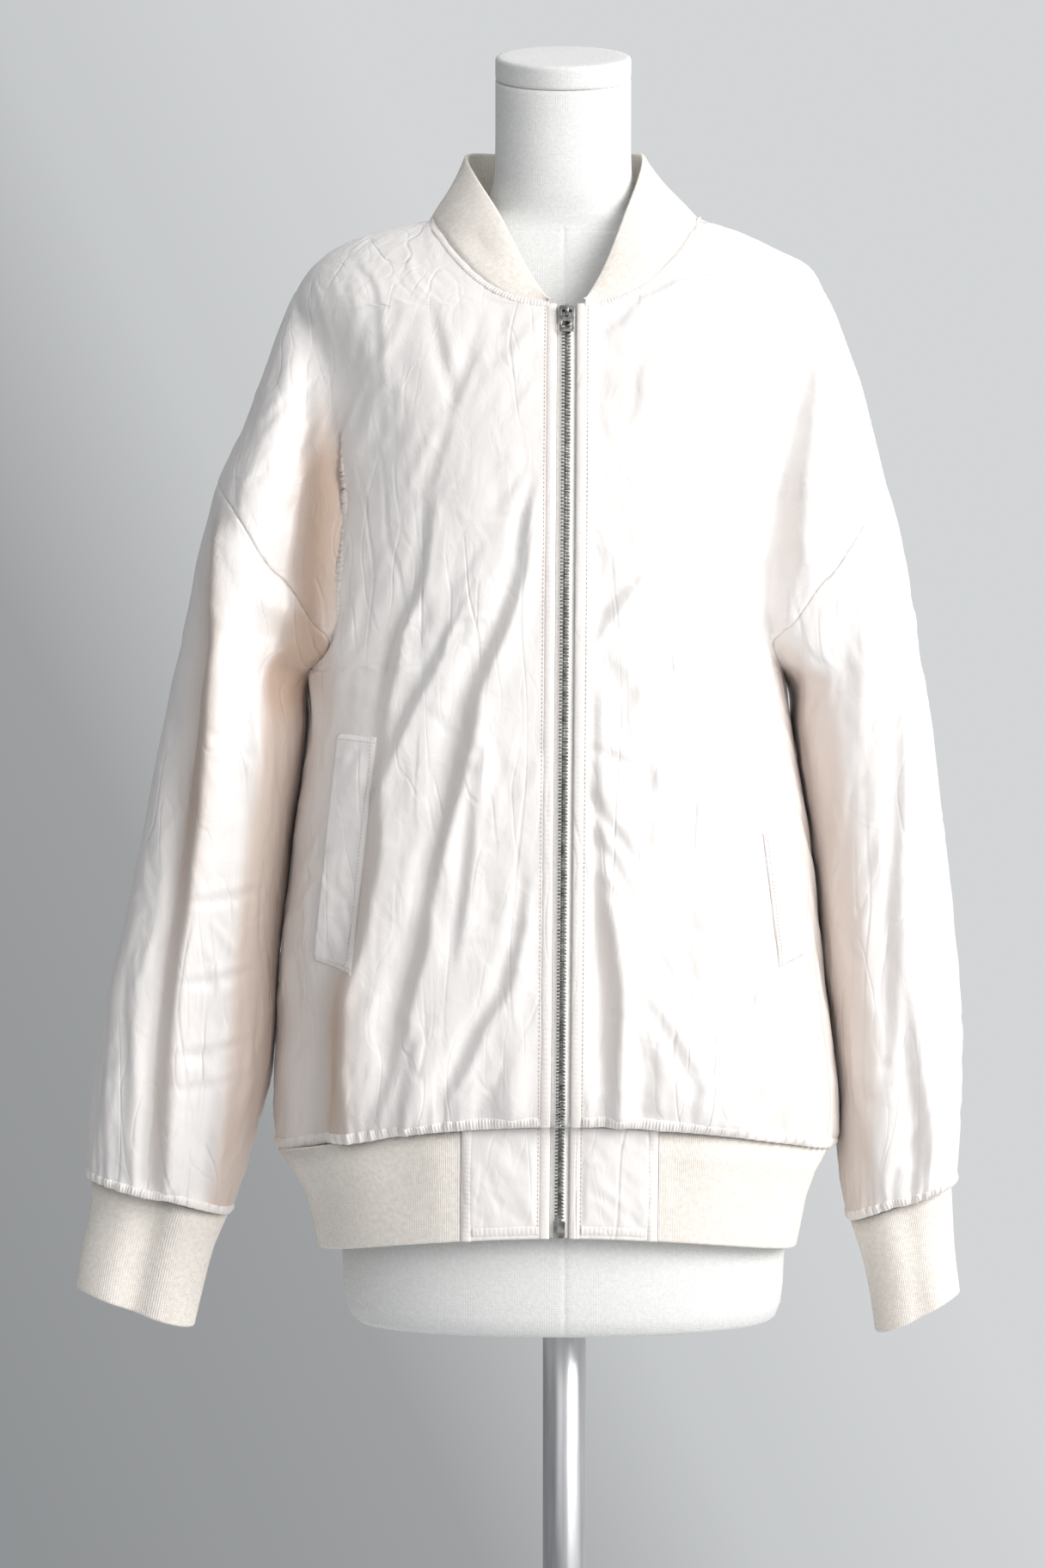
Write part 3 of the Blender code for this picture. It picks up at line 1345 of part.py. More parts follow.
def build():
    clear_scene()
    fronts = {"right": front_panel("right", FRONT_RIGHT_FOLDS),
              "left": front_panel("left", FRONT_LEFT_FOLDS)}
    back = back_panel(BACK_FOLDS)
    sleeves = {"right": sleeve_panel("right", SLEEVE_RIGHT_FRONT_FOLDS, SLEEVE_RIGHT_BACK_FOLDS),
               "left": sleeve_panel("left", SLEEVE_LEFT_FRONT_FOLDS, SLEEVE_LEFT_BACK_FOLDS)}
    grids = {side: panel[0] for side, panel in fronts.items()}
    for side, back_column in (("right", 0), ("left", -1)):
        join_armhole(fronts[side], back, back_column, sleeves[side])
        add_front(side, fronts[side])
        add_sleeve(side, sleeves[side])
        build_cuff(side)
        build_hem_band(side)
    add_back(back)
    build_hem_rib()
    build_collar(grids, back[0])
    build_zip(grids["left"])
    build_welt("right", WELT_RIGHT, grids["right"])
    build_welt("left", WELT_LEFT, grids["left"])
    build_form()


build()
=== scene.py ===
"""Looks of the bomber jacket on its dress form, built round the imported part.

All tables are in millimetres. X runs to the wearer's left, -Y is the front, +Z is up and
z = 0 is the floor. "reach" is a sideways distance from the zip line. Folds of the front are
placed by where they lie in the photo's 1216 x 1824 pixel frame.
"""
import functools
import math

import bmesh
import bpy
import numpy as np
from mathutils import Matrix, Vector
from mathutils.bvhtree import BVHTree


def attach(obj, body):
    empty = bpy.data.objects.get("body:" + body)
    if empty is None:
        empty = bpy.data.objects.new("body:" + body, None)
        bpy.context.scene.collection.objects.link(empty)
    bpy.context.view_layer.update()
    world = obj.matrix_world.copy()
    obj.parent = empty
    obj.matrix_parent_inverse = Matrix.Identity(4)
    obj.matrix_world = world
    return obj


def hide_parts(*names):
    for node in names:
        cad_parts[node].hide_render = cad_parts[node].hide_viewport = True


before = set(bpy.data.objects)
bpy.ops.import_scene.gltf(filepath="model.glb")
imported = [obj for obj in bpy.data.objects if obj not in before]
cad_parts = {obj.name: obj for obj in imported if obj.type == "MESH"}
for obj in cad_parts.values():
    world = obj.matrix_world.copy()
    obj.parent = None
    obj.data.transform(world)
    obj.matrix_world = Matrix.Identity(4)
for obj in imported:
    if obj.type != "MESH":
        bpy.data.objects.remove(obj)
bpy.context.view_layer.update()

JACKET = "jacket_and_form"
PULL = "pull_tab"
MM = 0.001

# ---------------------------------------------------------------- general sizes
RIB_WALL = 2.8
SEAM_GAP = 0.3

HEM_FRONT_Z = 744.0
HEM_SIDE_Z = 718.0
HEM_BACK_Z = 736.0
UNDERARM_Z = 1062.0
SLEEVE_TOP_Z = 1208.0
SHOULDER_Z = 1345.0
NECK_FRONT_Z = 1326.0
NECK_BACK_Z = 1395.0
NECK_SIDE_Z = 1401.0
NECK_REACH = 98.0
NECK_CURVE = 2.7
SHOULDER_ROUND = 60.0
FRONT_EDGE = 7.0
FRONT_ROUNDNESS = 2.5
BACK_ROUNDNESS = 2.3
SLEEVE_ROUNDNESS = 2.5
SECTION_SOFTNESS = 6.0
TOP_DROP = 0.4
PANEL_TOP_Z = NECK_SIDE_Z - TOP_DROP
HEM_REACH = 205.0

# ---------------------------------------------------------------- zip line
ZIP_TOP_X = 0.5
ZIP_LOW_X = -5.2
ZIP_LOW_Z = 663.0

SIGN = {"right": -1.0, "left": 1.0}

# Body tube: depth in front of and behind the form's axis, and reach on each side.
BODY_COLUMNS = ("z", "front", "back", "right", "left")
BODY = (
    (715, 128, 102, 206, 200),
    (735, 133, 105, 209.5, 205),
    (760, 144, 111, 210, 204.5),
    (800, 149, 114, 209, 200.5),
    (840, 151, 115, 207, 195),
    (880, 151, 115, 204, 190.5),
    (920, 151, 115, 200, 186.5),
    (960, 151, 115, 195, 180.5),
    (1000, 151, 116, 189, 173.5),
    (1030, 150, 117, 184.5, 168.5),
    (1062, 150, 118, 179.5, 163),
    (1090, 149, 119, 175.5, 158),
    (1120, 148, 119, 171.5, 154),
    (1150, 146, 119, 168, 158),
    (1177, 143, 119, 166, 165),
    (1208, 139, 118, 169, 172),
    (1250, 130, 116, 177, 182),
    (1284, 120, 112, 184, 190),
    (1310, 111, 107, 196, 198),
    (1330, 103, 102, 208, 206),
    (1350, 87, 96, 222, 216),
    (1375, 67, 87, 230, 226),
    (1401, 46, 76, 230, 230),
)

# Sleeve tube: outer and inner reach on each side, and half its depth.
SLEEVE_COLUMNS = ("z", "outer_right", "inner_right", "outer_left", "inner_left", "depth")
SLEEVE = (
    (655, 343, 246, 285, 216, 38),
    (669, 344, 243, 288, 214, 42),
    (683, 345, 238, 291, 211, 47),
    (700, 346, 231, 293.5, 208, 54),
    (730, 346.4, 223, 295.1, 206.5, 64),
    (760, 343.6, 218, 295.7, 208.5, 70),
    (800, 337.1, 214, 296.1, 205, 73),
    (840, 330.8, 212, 293.9, 199.5, 75),
    (880, 321.2, 209, 289.8, 195, 77),
    (920, 312.9, 205, 285.4, 191, 79),
    (960, 305.5, 200, 280.1, 185, 81),
    (1000, 298.5, 194, 275.3, 178, 84),
    (1030, 291.9, 189, 271.5, 173, 86),
    (1062, 285.8, 181.5, 266, 165, 89),
    (1075, 283, 163, 263.5, 146, 91),
    (1090, 280.4, 149, 261.3, 131, 93),
    (1120, 274.7, 141, 256.2, 122, 95),
    (1150, 269, 139, 250.8, 121, 95),
    (1175, 262.6, 140, 246, 124, 93),
    (1208, 253.5, 143, 235.7, 131, 89),
    (1225, 244.8, 146, 231.5, 136, 86),
    (1250, 233.6, 150, 225.1, 145, 79),
    (1275, 225.4, 156, 218.6, 155, 70),
    (1300, 217.3, 164, 209.4, 166, 58),
    (1320, 210.3, 173, 201.8, 175, 46),
    (1340, 202.1, 188, 193.9, 184, 30),
    (1350, 197.3, 193, 189.3, 187, 20),
    (1360, 191.3, 190, 184.1, 183, 10),
    (1370, 182.5, 182, 175, 174, 5),
    (1380, 168.6, 168, 153.5, 153, 5),
    (1390, 147.4, 147, 133.5, 133, 5),
    (1397, 120, 119, 114, 113, 5),
    (1401, 98, 97, 98, 97, 5),
)

# Armhole seam on the sleeve tube: turn from the outermost line, in degrees, at each height.
ARMHOLE_COLUMNS = ("z", "right", "left")
ARMHOLE = (
    (1092, 118, 116),
    (1113, 103, 100),
    (1128, 94, 92),
    (1147, 83, 82),
    (1166, 71, 70),
    (1181, 57, 57),
    (1193, 42, 42),
    (1201, 28, 28),
    (1208, 0, 0),
)
ARMHOLE_LOW_Z = ARMHOLE[0][0]

# Folds of the front as dark walls that face the viewer's left or down. Each line of a fold
# is a point on the middle of its wall: x and y in the photo, half width of the wall in
# pixels and its drop in millimetres. The cloth falls to the left of the line as it is walked.
FRONT_RIGHT_FOLDS = (
    ((500, 600, 6, 3), (488, 680, 7, 6), (466, 730, 8, 7), (450, 800, 9, 7), (439, 870, 9, 7),
     (435, 930, 10, 9), (430, 1000, 14, 12), (421, 1050, 13, 13), (412, 1100, 14, 13),
     (391, 1150, 19, 19), (386, 1200, 21, 24), (385, 1250, 20, 24), (386, 1300, 22, 21)),
    ((520, 735, 5, 3), (500, 780, 8, 6), (480, 815, 8, 7), (465, 850, 8, 7), (450, 885, 8, 6),
     (440, 912, 6, 3)),
    ((616, 600, 5, 2), (610, 650, 7, 5), (594, 700, 9, 7), (575, 750, 10, 8), (553, 800, 9, 8),
     (542, 850, 12, 10), (532, 900, 12, 10), (520, 950, 10, 9), (507, 1000, 8, 8),
     (497, 1050, 8, 7), (489, 1100, 11, 9), (475, 1150, 10, 9), (465, 1200, 10, 8),
     (455, 1250, 7, 6), (441, 1295, 6, 3)),
    ((625, 560, 5, 2), (612, 600, 6, 4), (605, 640, 5, 2)),
    ((612, 1030, 5, 2), (605, 1085, 6, 5), (588, 1150, 7, 6), (563, 1190, 7, 6),
     (540, 1240, 7, 5), (520, 1270, 7, 4), (503, 1295, 6, 2)),
    ((370, 420, 9, 3), (376, 480, 17, 14), (379, 550, 24, 27), (375, 600, 27, 33),
     (369, 650, 28, 36), (361, 700, 28, 37), (354, 750, 27, 36)),
    ((405, 395, 18, 3), (417, 450, 22, 6), (415, 490, 18, 5), (412, 530, 8, 2),
     (412, 565, 6, 1)),
    ((365, 330, 3, 0.6), (378, 400, 4, 1.5), (388, 470, 4, 1.8), (393, 530, 4, 1.5),
     (408, 615, 3, 0.6)),
    ((412, 300, 3, 0.6), (437, 335, 4, 1.4), (443, 400, 4, 1.6), (447, 500, 3, 0.6)),
    ((505, 350, 4, 0.8), (520, 420, 6, 2.2), (530, 465, 4, 0.8)),
    ((560, 372, 4, 0.8), (545, 430, 7, 2.4), (520, 500, 6, 2.0), (505, 560, 4, 0.8)),
    ((382, 945, 5, 2), (362, 985, 7, 4), (338, 1035, 6, 3)),
    ((388, 985, 5, 2), (360, 1028, 7, 4), (334, 1066, 5, 2)),
    ((352, 1050, 6, 3), (348, 1130, 8, 5), (344, 1220, 9, 6), (342, 1310, 9, 5)),
    ((560, 880, 5, 2), (548, 960, 7, 4), (541, 1040, 6, 4), (530, 1110, 5, 2)),
    ((480, 1225, 6, 3), (472, 1265, 8, 4), (466, 1310, 7, 3)),
    ((420, 690, 4, 1), (404, 740, 6, 3), (392, 800, 6, 3), (384, 850, 4, 1)),
)
FRONT_LEFT_FOLDS = (
    ((716, 380, 24, 1.6), (722, 450, 32, 2.4), (726, 520, 36, 2.8), (722, 600, 32, 2.4),
     (716, 680, 24, 1.6), (712, 760, 20, 1)),
    ((745, 345, 5, 1.5), (722, 375, 7, 3), (700, 385, 5, 1.5)),
    ((757, 658, 3, 1), (735, 683, 6, 3.5), (715, 705, 8, 5), (700, 728, 7, 4), (693, 742, 4, 2)),
    ((694, 820, 5, 3), (693, 900, 6, 4), (695, 950, 6, 4), (697, 1000, 8, 6),
     (700, 1050, 10, 9), (706, 1100, 12, 11), (712, 1150, 12, 11), (713, 1200, 11, 10),
     (713, 1250, 10, 9), (712, 1292, 8, 6)),
    ((692, 925, 4, 2), (703, 948, 5, 3.5), (722, 970, 6, 3), (740, 992, 4, 1)),
    ((693, 960, 4, 2), (703, 980, 5, 3.5), (716, 998, 5, 3), (728, 1021, 3, 1)),
    ((690, 868, 4, 1.5), (714, 876, 5, 3), (744, 890, 4, 1)),
    ((700, 1020, 3, 1), (716, 1040, 4, 1.8), (734, 1064, 3, 0.8)),
    ((952, 395, 4, 2), (936, 480, 10, 5), (927, 540, 15, 7), (922, 600, 17, 8),
     (918, 650, 16, 8), (912, 695, 12, 6), (905, 728, 8, 4)),
    ((963, 345, 3, 0.8), (969, 420, 4, 1.5), (969, 492, 3, 0.6)),
    ((832, 318, 3, 0.8), (795, 325, 4, 2), (765, 338, 5, 2.4), (745, 353, 4, 1)),
    ((895, 328, 4, 0.8), (875, 355, 5, 1.8), (856, 388, 3, 0.6)),
    ((800, 392, 3, 0.6), (782, 410, 4, 1.5), (765, 430, 3, 0.6)),
    ((760, 400, 4, 0.8), (748, 430, 5, 2), (741, 472, 4, 0.8)),
    ((766, 1100, 3, 1), (782, 1128, 5, 2.4), (796, 1154, 3, 1)),
    ((752, 1160, 5, 1.5), (778, 1198, 7, 3.5), (800, 1235, 7, 4), (815, 1266, 4, 1.5)),
    ((818, 820, 9, 1.5), (815, 950, 14, 4), (812, 1050, 14, 4), (810, 1160, 11, 2)),
    ((850, 1258, 4, 1.5), (826, 1257, 6, 3.5), (813, 1270, 6, 4), (811, 1296, 5, 2)),
    ((752, 1190, 8, 2), (760, 1240, 12, 5), (758, 1290, 10, 4)),
    ((870, 1035, 4, 1.5), (874, 1100, 5, 3), (879, 1160, 5, 3), (884, 1220, 5, 3.4),
     (887, 1292, 5, 3)),
    ((950, 1110, 3, 1), (950, 1200, 5, 2.4), (953, 1292, 5, 2.4)),
    ((905, 1180, 3, 0.8), (922, 1200, 4, 1.6), (938, 1222, 3, 0.8)),
    ((880, 900, 4, 1), (892, 930, 6, 2), (912, 950, 4, 1)),
)
SLEEVE_RIGHT_FOLDS = (
    ((252, 575, 6, 3), (247, 610, 12, 15), (244, 650, 13, 21), (240, 700, 15, 25),
     (238, 750, 16, 27), (231, 800, 17, 29), (227, 850, 17, 29), (222, 900, 17, 28),
     (219, 950, 16, 25), (214, 1000, 14, 22), (210, 1050, 12, 19), (203, 1100, 11, 16),
     (197, 1150, 10, 14), (192, 1200, 10, 13), (189, 1250, 11, 14), (186, 1300, 11, 14),
     (185, 1350, 10, 12), (184, 1400, 9, 8)),
    ((354, 750, 27, 34), (347, 800, 24, 22), (341, 850, 19, 9), (338, 905, 14, 3)),
    ((178, 925, 3, 1), (176, 960, 5, 3), (175, 1050, 6, 4), (165, 1125, 5, 2)),
    ((180, 870, 4, 2), (175, 905, 6, 5), (163, 950, 8, 8), (150, 1000, 10, 9),
     (141, 1050, 10, 9), (135, 1100, 10, 9), (125, 1150, 8, 7), (120, 1200, 9, 6),
     (116, 1290, 9, 4)),
    ((216, 1046, 3, 0.8), (250, 1042, 5, 2.4), (290, 1032, 4, 1)),
    ((208, 1140, 3, 0.8), (246, 1136, 5, 2.4), (284, 1124, 4, 1)),
    ((204, 1224, 3, 0.8), (240, 1220, 5, 2.2), (278, 1206, 4, 1)),
    ((202, 1262, 3, 0.8), (236, 1260, 5, 2.0), (270, 1250, 4, 1)),
    ((306, 660, 6, 1), (294, 760, 10, 3), (286, 880, 10, 3), (290, 980, 7, 1)),
    ((250, 1270, 5, 2), (248, 1340, 8, 5), (242, 1420, 8, 4)),
    ((148, 1190, 6, 2), (150, 1290, 8, 5), (150, 1385, 7, 3)),
)
SLEEVE_LEFT_FOLDS = (
    ((1052, 690, 4, 1.5), (1054, 760, 6, 4), (1052, 800, 6, 5), (1047, 850, 6, 5),
     (1046, 950, 7, 5), (1043, 1000, 7, 6), (1041, 1050, 8, 7), (1040, 1100, 8, 7),
     (1040, 1180, 7, 5), (1038, 1235, 5, 2)),
    ((905, 728, 8, 5), (900, 760, 6, 2)),
    ((920, 690, 4, 2), (932, 740, 6, 4.5), (938, 780, 6, 4.5), (940, 816, 4, 1.5)),
    ((905, 740, 4, 2), (915, 780, 5, 3.5), (925, 810, 6, 4), (930, 862, 5, 2)),
    ((940, 950, 4, 1.5), (948, 985, 6, 3.5), (958, 1025, 6, 3.5), (974, 1066, 4, 1)),
    ((1056, 1140, 4, 2), (1060, 1200, 7, 5), (1067, 1260, 8, 7), (1073, 1310, 9, 8),
     (1072, 1360, 8, 7), (1064, 1405, 6, 4)),
    ((990, 1180, 5, 1.5), (996, 1260, 9, 4), (1010, 1340, 10, 6), (1026, 1400, 8, 4)),
    ((1098, 900, 5, 1.5), (1098, 1010, 8, 4), (1088, 1110, 7, 3), (1080, 1180, 5, 1)),
    ((1000, 690, 6, 1), (992, 800, 10, 3.5), (982, 930, 9, 3.5), (976, 1010, 6, 1)),
    ((1008, 1280, 4, 1.5), (1026, 1262, 5, 2.4), (1056, 1245, 4, 1)),
)

# Folds of the hidden sides in the same way: x and z in millimetres, half width and drop.
BACK_FOLDS = (
    ((-122, 1280, 8, 3), (-104, 1130, 13, 9), (-80, 980, 15, 11), (-66, 850, 12, 8),
     (-72, 780, 8, 4)),
    ((118, 1270, 8, 3), (104, 1120, 13, 9), (84, 960, 15, 11), (78, 820, 12, 7)),
    ((-22, 1190, 7, 2), (-50, 1060, 11, 7), (-84, 900, 12, 9), (-100, 780, 9, 6)),
    ((38, 1070, 6, 2), (26, 940, 10, 7), (10, 790, 10, 6)),
    ((-166, 1090, 8, 3), (-158, 960, 11, 8), (-150, 800, 10, 7)),
    ((158, 1080, 8, 3), (150, 950, 11, 8), (136, 790, 10, 7)),
    ((-62, 1346, 5, 1.5), (-96, 1270, 8, 3.5), (-136, 1180, 6, 2)),
    ((62, 1344, 5, 1.5), (98, 1270, 8, 3.5), (130, 1190, 6, 2)),
    ((-10, 1260, 5, 1.5), (4, 1150, 8, 3.5), (16, 1040, 6, 2)),
    ((88, 970, 5, 2), (100, 880, 7, 4), (114, 785, 7, 3)),
    ((-56, 950, 5, 2), (-44, 870, 7, 4), (-30, 790, 6, 3)),
    ((150, 1250, 6, 2), (162, 1190, 9, 6), (172, 1130, 8, 5)),
    ((-156, 1250, 6, 2), (-170, 1190, 9, 6), (-182, 1130, 8, 5)),
)
SLEEVE_RIGHT_BACK_FOLDS = (
    ((-220, 1190, 5, 3), (-240, 1050, 10, 14), (-264, 880, 11, 15), (-286, 700, 8, 8)),
    ((-270, 1020, 4, 2), (-292, 880, 7, 7), (-320, 700, 6, 5)),
    ((-200, 1100, 4, 2), (-216, 980, 7, 6), (-240, 800, 6, 3)),
    ((-262, 930, 3, 1), (-240, 920, 4, 2.4), (-222, 925, 3, 1)),
)
SLEEVE_LEFT_BACK_FOLDS = (
    ((204, 1170, 5, 3), (220, 1030, 10, 13), (236, 860, 10, 14), (250, 700, 8, 7)),
    ((250, 1050, 4, 2), (264, 900, 7, 7), (276, 720, 6, 5)),
    ((176, 1100, 4, 2), (190, 960, 7, 6), (210, 800, 6, 3)),
    ((216, 900, 3, 1), (236, 888, 4, 2.4), (252, 896, 3, 1)),
)
HEM_PUCKERS = 4
HEM_PUCKER_RISE = 3.4
HEM_PUCKER_REACH = 46.0

# ---------------------------------------------------------------- grid densities
HALF_COLUMNS = 98
BACK_HALF_COLUMNS = 60
BODY_ROWS = 116
ARMHOLE_ROWS = 80
CHEST_ROWS = 34
YOKE_ROWS = 32
SLEEVE_ROWS = 156

# ---------------------------------------------------------------- photo's view
# Camera place (mm), distance from it to the picture in pixels, and the picture's centre.
EYE = (-31.0, -2734.0, 985.0)
FOCAL_PX = 4307.0
CENTRE_PX = (608.0, 912.0)
PHOTO_HEIGHT_PX = 1824.0
SENSOR_WIDTH = 36.0


# ---------------------------------------------------------------- small helpers
def column(columns, rows, name):
    return np.array([row[columns.index(name)] for row in rows], float)


def arc_length(points):
    """Distance along a polyline at each of its points."""
    return np.concatenate(([0.0], np.cumsum(np.linalg.norm(np.diff(points, axis=0), axis=1))))


def picked(at, known, points):
    """Points of a curve at given values of the measure that is known along it."""
    return np.stack([np.interp(at, known, values) for values in np.transpose(points)], axis=-1)


def unit(vectors):
    """Vectors brought to length one."""
    return vectors / np.maximum(np.linalg.norm(vectors, axis=-1, keepdims=True), 1e-9)


def smooth_between(xs, ys, x):
    """Monotone cubic curve through a short table."""
    x = np.clip(np.asarray(x, float), xs[0], xs[-1])
    slopes = np.diff(ys) / np.diff(xs)
    inner = 0.5 * (slopes[1:] + slopes[:-1])
    limit = 3.0 * np.minimum(abs(slopes[1:]), abs(slopes[:-1]))
    inner = np.where(slopes[1:] * slopes[:-1] <= 0, 0.0, np.clip(inner, -limit, limit))
    tangents = np.concatenate(([slopes[0]], inner, [slopes[-1]]))
    index = np.clip(np.searchsorted(xs, x, side="right") - 1, 0, len(xs) - 2)
    step = xs[index + 1] - xs[index]
    t = (x - xs[index]) / step
    start = (1 + 2 * t) * (1 - t) ** 2 * ys[index] + t * (1 - t) ** 2 * step * tangents[index]
    end = t * t * (3 - 2 * t) * ys[index + 1] + t * t * (t - 1) * step * tangents[index + 1]
    return start + end


def table_value(columns, rows, name, at):
    """Value of a named column of a table at a place of its first column."""
    return smooth_between(column(columns, rows, columns[0]), column(columns, rows, name), at)


def body_value(name, z):
    return table_value(BODY_COLUMNS, BODY, name, z)


def sleeve_value(name, z):
    return table_value(SLEEVE_COLUMNS, SLEEVE, name, z)


def ease(t):
    t = np.clip(t, 0.0, 1.0)
    return t * t * (3 - 2 * t)


def zip_x(z):
    share = (np.asarray(z, float) - ZIP_LOW_Z) / (NECK_FRONT_Z - ZIP_LOW_Z)
    return ZIP_LOW_X + (ZIP_TOP_X - ZIP_LOW_X) * np.clip(share, 0.0, 1.0)


def roundness(face):
    return FRONT_ROUNDNESS if face == "front" else BACK_ROUNDNESS


def facing(face):
    return -1.0 if face == "front" else 1.0


# ---------------------------------------------------------------- level sections
def shoulder_height(side, reach):
    """Height of the shoulder line above a given reach."""
    heights = np.linspace(1230.0, NECK_SIDE_Z, 120)
    reaches = sleeve_value("outer_" + side, heights)
    height = np.interp(reach, reaches[::-1], heights[::-1])
    return height + 0.25 * np.maximum(NECK_REACH - np.asarray(reach, float), 0.0)


def shoulder_rounding(side, reach, z):
    drop = np.clip((shoulder_height(side, reach) - z) / SHOULDER_ROUND, 0.0, 1.0)
    return np.sqrt(1.0 - (1.0 - drop) ** 2)


def body_depth(side, face, reach, z):
    """Distance of the plain body surface from the form's axis plane."""
    power = roundness(face)
    share = np.clip(np.asarray(reach, float) / body_value(side, z), 0.0, 1.0)
    plain = body_value(face, z) * (1.0 - share ** power) ** (1.0 / power)
    return plain * shoulder_rounding(side, reach, z)


def body_arc(side, face, z, angles):
    """Points (reach, y) of the body tube from the centre line to its side."""
    power = 2.0 / roundness(face)
    reach = body_value(side, z) * np.clip(np.sin(angles), 0.0, 1.0) ** power
    depth = body_value(face, z) * np.clip(np.cos(angles), 0.0, 1.0) ** power
    depth = depth * shoulder_rounding(side, reach, z)
    return np.stack(np.broadcast_arrays(reach, facing(face) * depth), axis=-1)


def squared(wave):
    """Wave of a slightly squared-off ring, so that the sleeve's sides are flatter."""
    return np.sign(wave) * abs(wave) ** (2.0 / SLEEVE_ROUNDNESS)


def sleeve_arc(side, z, turn):
    """Points (reach, y) of the sleeve tube; turn 0 is outermost, + goes to the front."""
    outer = sleeve_value("outer_" + side, z)
    inner = sleeve_value("inner_" + side, z)
    depth = sleeve_value("depth", z)
    reach = 0.5 * (outer + inner) + 0.5 * (outer - inner) * squared(np.cos(turn))
    return np.stack(np.broadcast_arrays(reach, -depth * squared(np.sin(turn))), axis=-1)


def face_section(side, face, z):
    """One face at one level, from the centre line out to the outermost point.

    The mark runs from -2 to -1 on the body and from -1 to 0 on the sleeve.
    """
    outer = float(sleeve_value("outer_" + side, z))
    if z > SHOULDER_Z:
        reach = outer * np.sin(np.linspace(0.0, math.pi / 2, 300))
        points = np.stack([reach, facing(face) * body_depth(side, face, reach, z)], axis=-1)
        return points, np.linspace(-2.0, 0.0, 300)
    turn = np.linspace(0.0, math.pi, 500)
    lobe = sleeve_arc(side, z, turn)
    lobe[:, 1] = facing(face) * abs(lobe[:, 1])
    hidden = body_depth(side, face, lobe[:, 0], z) > abs(lobe[:, 1])
    hidden[:2] = False
    crossing = int(np.argmax(hidden)) if hidden.any() else len(turn) - 1
    angles = np.linspace(0.0, math.pi / 2, 500)
    body = body_arc(side, face, z, angles)
    keep = body[:, 0] < lobe[crossing, 0]
    points = np.concatenate([body[keep], lobe[:crossing + 1][::-1]])
    marks = np.concatenate([-2.0 + angles[keep] / (math.pi / 2), -turn[:crossing + 1][::-1] / math.pi])
    return points, marks


def soften(points, spacing, softness):
    """Round a polyline of evenly spaced points, ends kept."""
    half = max(int(3 * softness / spacing), 1)
    offsets = np.arange(-half, half + 1) * spacing
    weights = np.exp(-0.5 * (offsets / softness) ** 2)
    weights /= weights.sum()
    head = 2 * points[0] - points[1:half + 1][::-1]
    tail = 2 * points[-1] - points[-half - 1:-1][::-1]
    padded = np.concatenate([head, points, tail])
    return np.stack([np.convolve(padded[:, i], weights, "valid") for i in range(2)], axis=-1)


@functools.lru_cache(maxsize=None)
def half_section(side, z):
    """Loop of one half of the jacket at one level: front centre, outermost, back centre."""
    front, front_marks = face_section(side, "front", z)
    back, back_marks = face_section(side, "back", z)
    points = np.concatenate([front, back[::-1][1:]])
    marks = np.concatenate([front_marks, -back_marks[::-1][1:]])
    steps = np.linalg.norm(np.diff(points, axis=0), axis=1)
    keep = np.concatenate(([True], steps > 1e-6))
    points, marks = points[keep], marks[keep]
    arc = arc_length(points)
    even = np.linspace(0.0, arc[-1], int(arc[-1] / 1.5))
    marks = np.interp(even, arc, marks)
    points = picked(even, arc, points)
    fade = float(ease((SHOULDER_Z - z) / 50.0) * ease((z - UNDERARM_Z) / 15.0))
    softness = SECTION_SOFTNESS * fade + 0.01
    return soften(points, even[1], softness), marks


def armhole_mark(side, z):
    """Mark at which the armhole seam crosses a level (positive)."""
    return float(table_value(ARMHOLE_COLUMNS, ARMHOLE, side, z)) / 180.0


def crossing_mark(side, face, z):
    """Mark at which the sleeve tube meets the body tube at one level (positive)."""
    marks = face_section(side, face, z)[1]
    return -float(marks[marks > -1.0][0]) if (marks > -1.0).any() else 1.0


MARK_SPREAD = 7.0


@functools.lru_cache(maxsize=None)
def seam_marks(side, face):
    """Levels and marks of a panel's outer edge: the meeting line, then the armhole, smoothed."""
    levels = np.linspace(UNDERARM_Z, SLEEVE_TOP_Z, 160)
    marks = []
    for z in levels[:-1]:
        meeting = crossing_mark(side, face, float(z))
        marks.append(min(meeting, armhole_mark(side, float(z))) if z > ARMHOLE_LOW_Z else meeting)
    marks = np.minimum.accumulate(np.array([1.0] + marks[1:] + [0.0]))
    apart = (levels[:, None] - levels[None]) / MARK_SPREAD
    weights = np.exp(-apart ** 2)
    even = (weights * marks).sum(axis=1) / weights.sum(axis=1)
    ends = ease((levels - UNDERARM_Z) / 10.0) * ease((SLEEVE_TOP_Z - levels) / 10.0)
    return levels, marks + (even - marks) * ends


def seam_mark(side, face, z):
    """Mark of a panel's outer edge at a level (positive)."""
    return float(np.interp(z, *seam_marks(side, face))) if z < SLEEVE_TOP_Z else 0.0


def neck_reach(z):
    share = np.clip((np.asarray(z, float) - NECK_FRONT_Z) / (NECK_SIDE_Z - NECK_FRONT_Z), 0.0, 1.0)
    return NECK_REACH * share ** (1.0 / NECK_CURVE)


def neck_height(reach):
    share = np.clip(np.asarray(reach, float) / NECK_REACH, 0.0, 1.0)
    return NECK_FRONT_Z + (NECK_SIDE_Z - NECK_FRONT_Z) * share ** NECK_CURVE


def back_neck_height(reach):
    share = np.clip(np.asarray(reach, float) / NECK_REACH, 0.0, 1.0)
    return NECK_BACK_Z + (NECK_SIDE_Z - NECK_BACK_Z) * share ** 2


def row_fractions():
    return np.linspace(0.0, 1.0, 160)


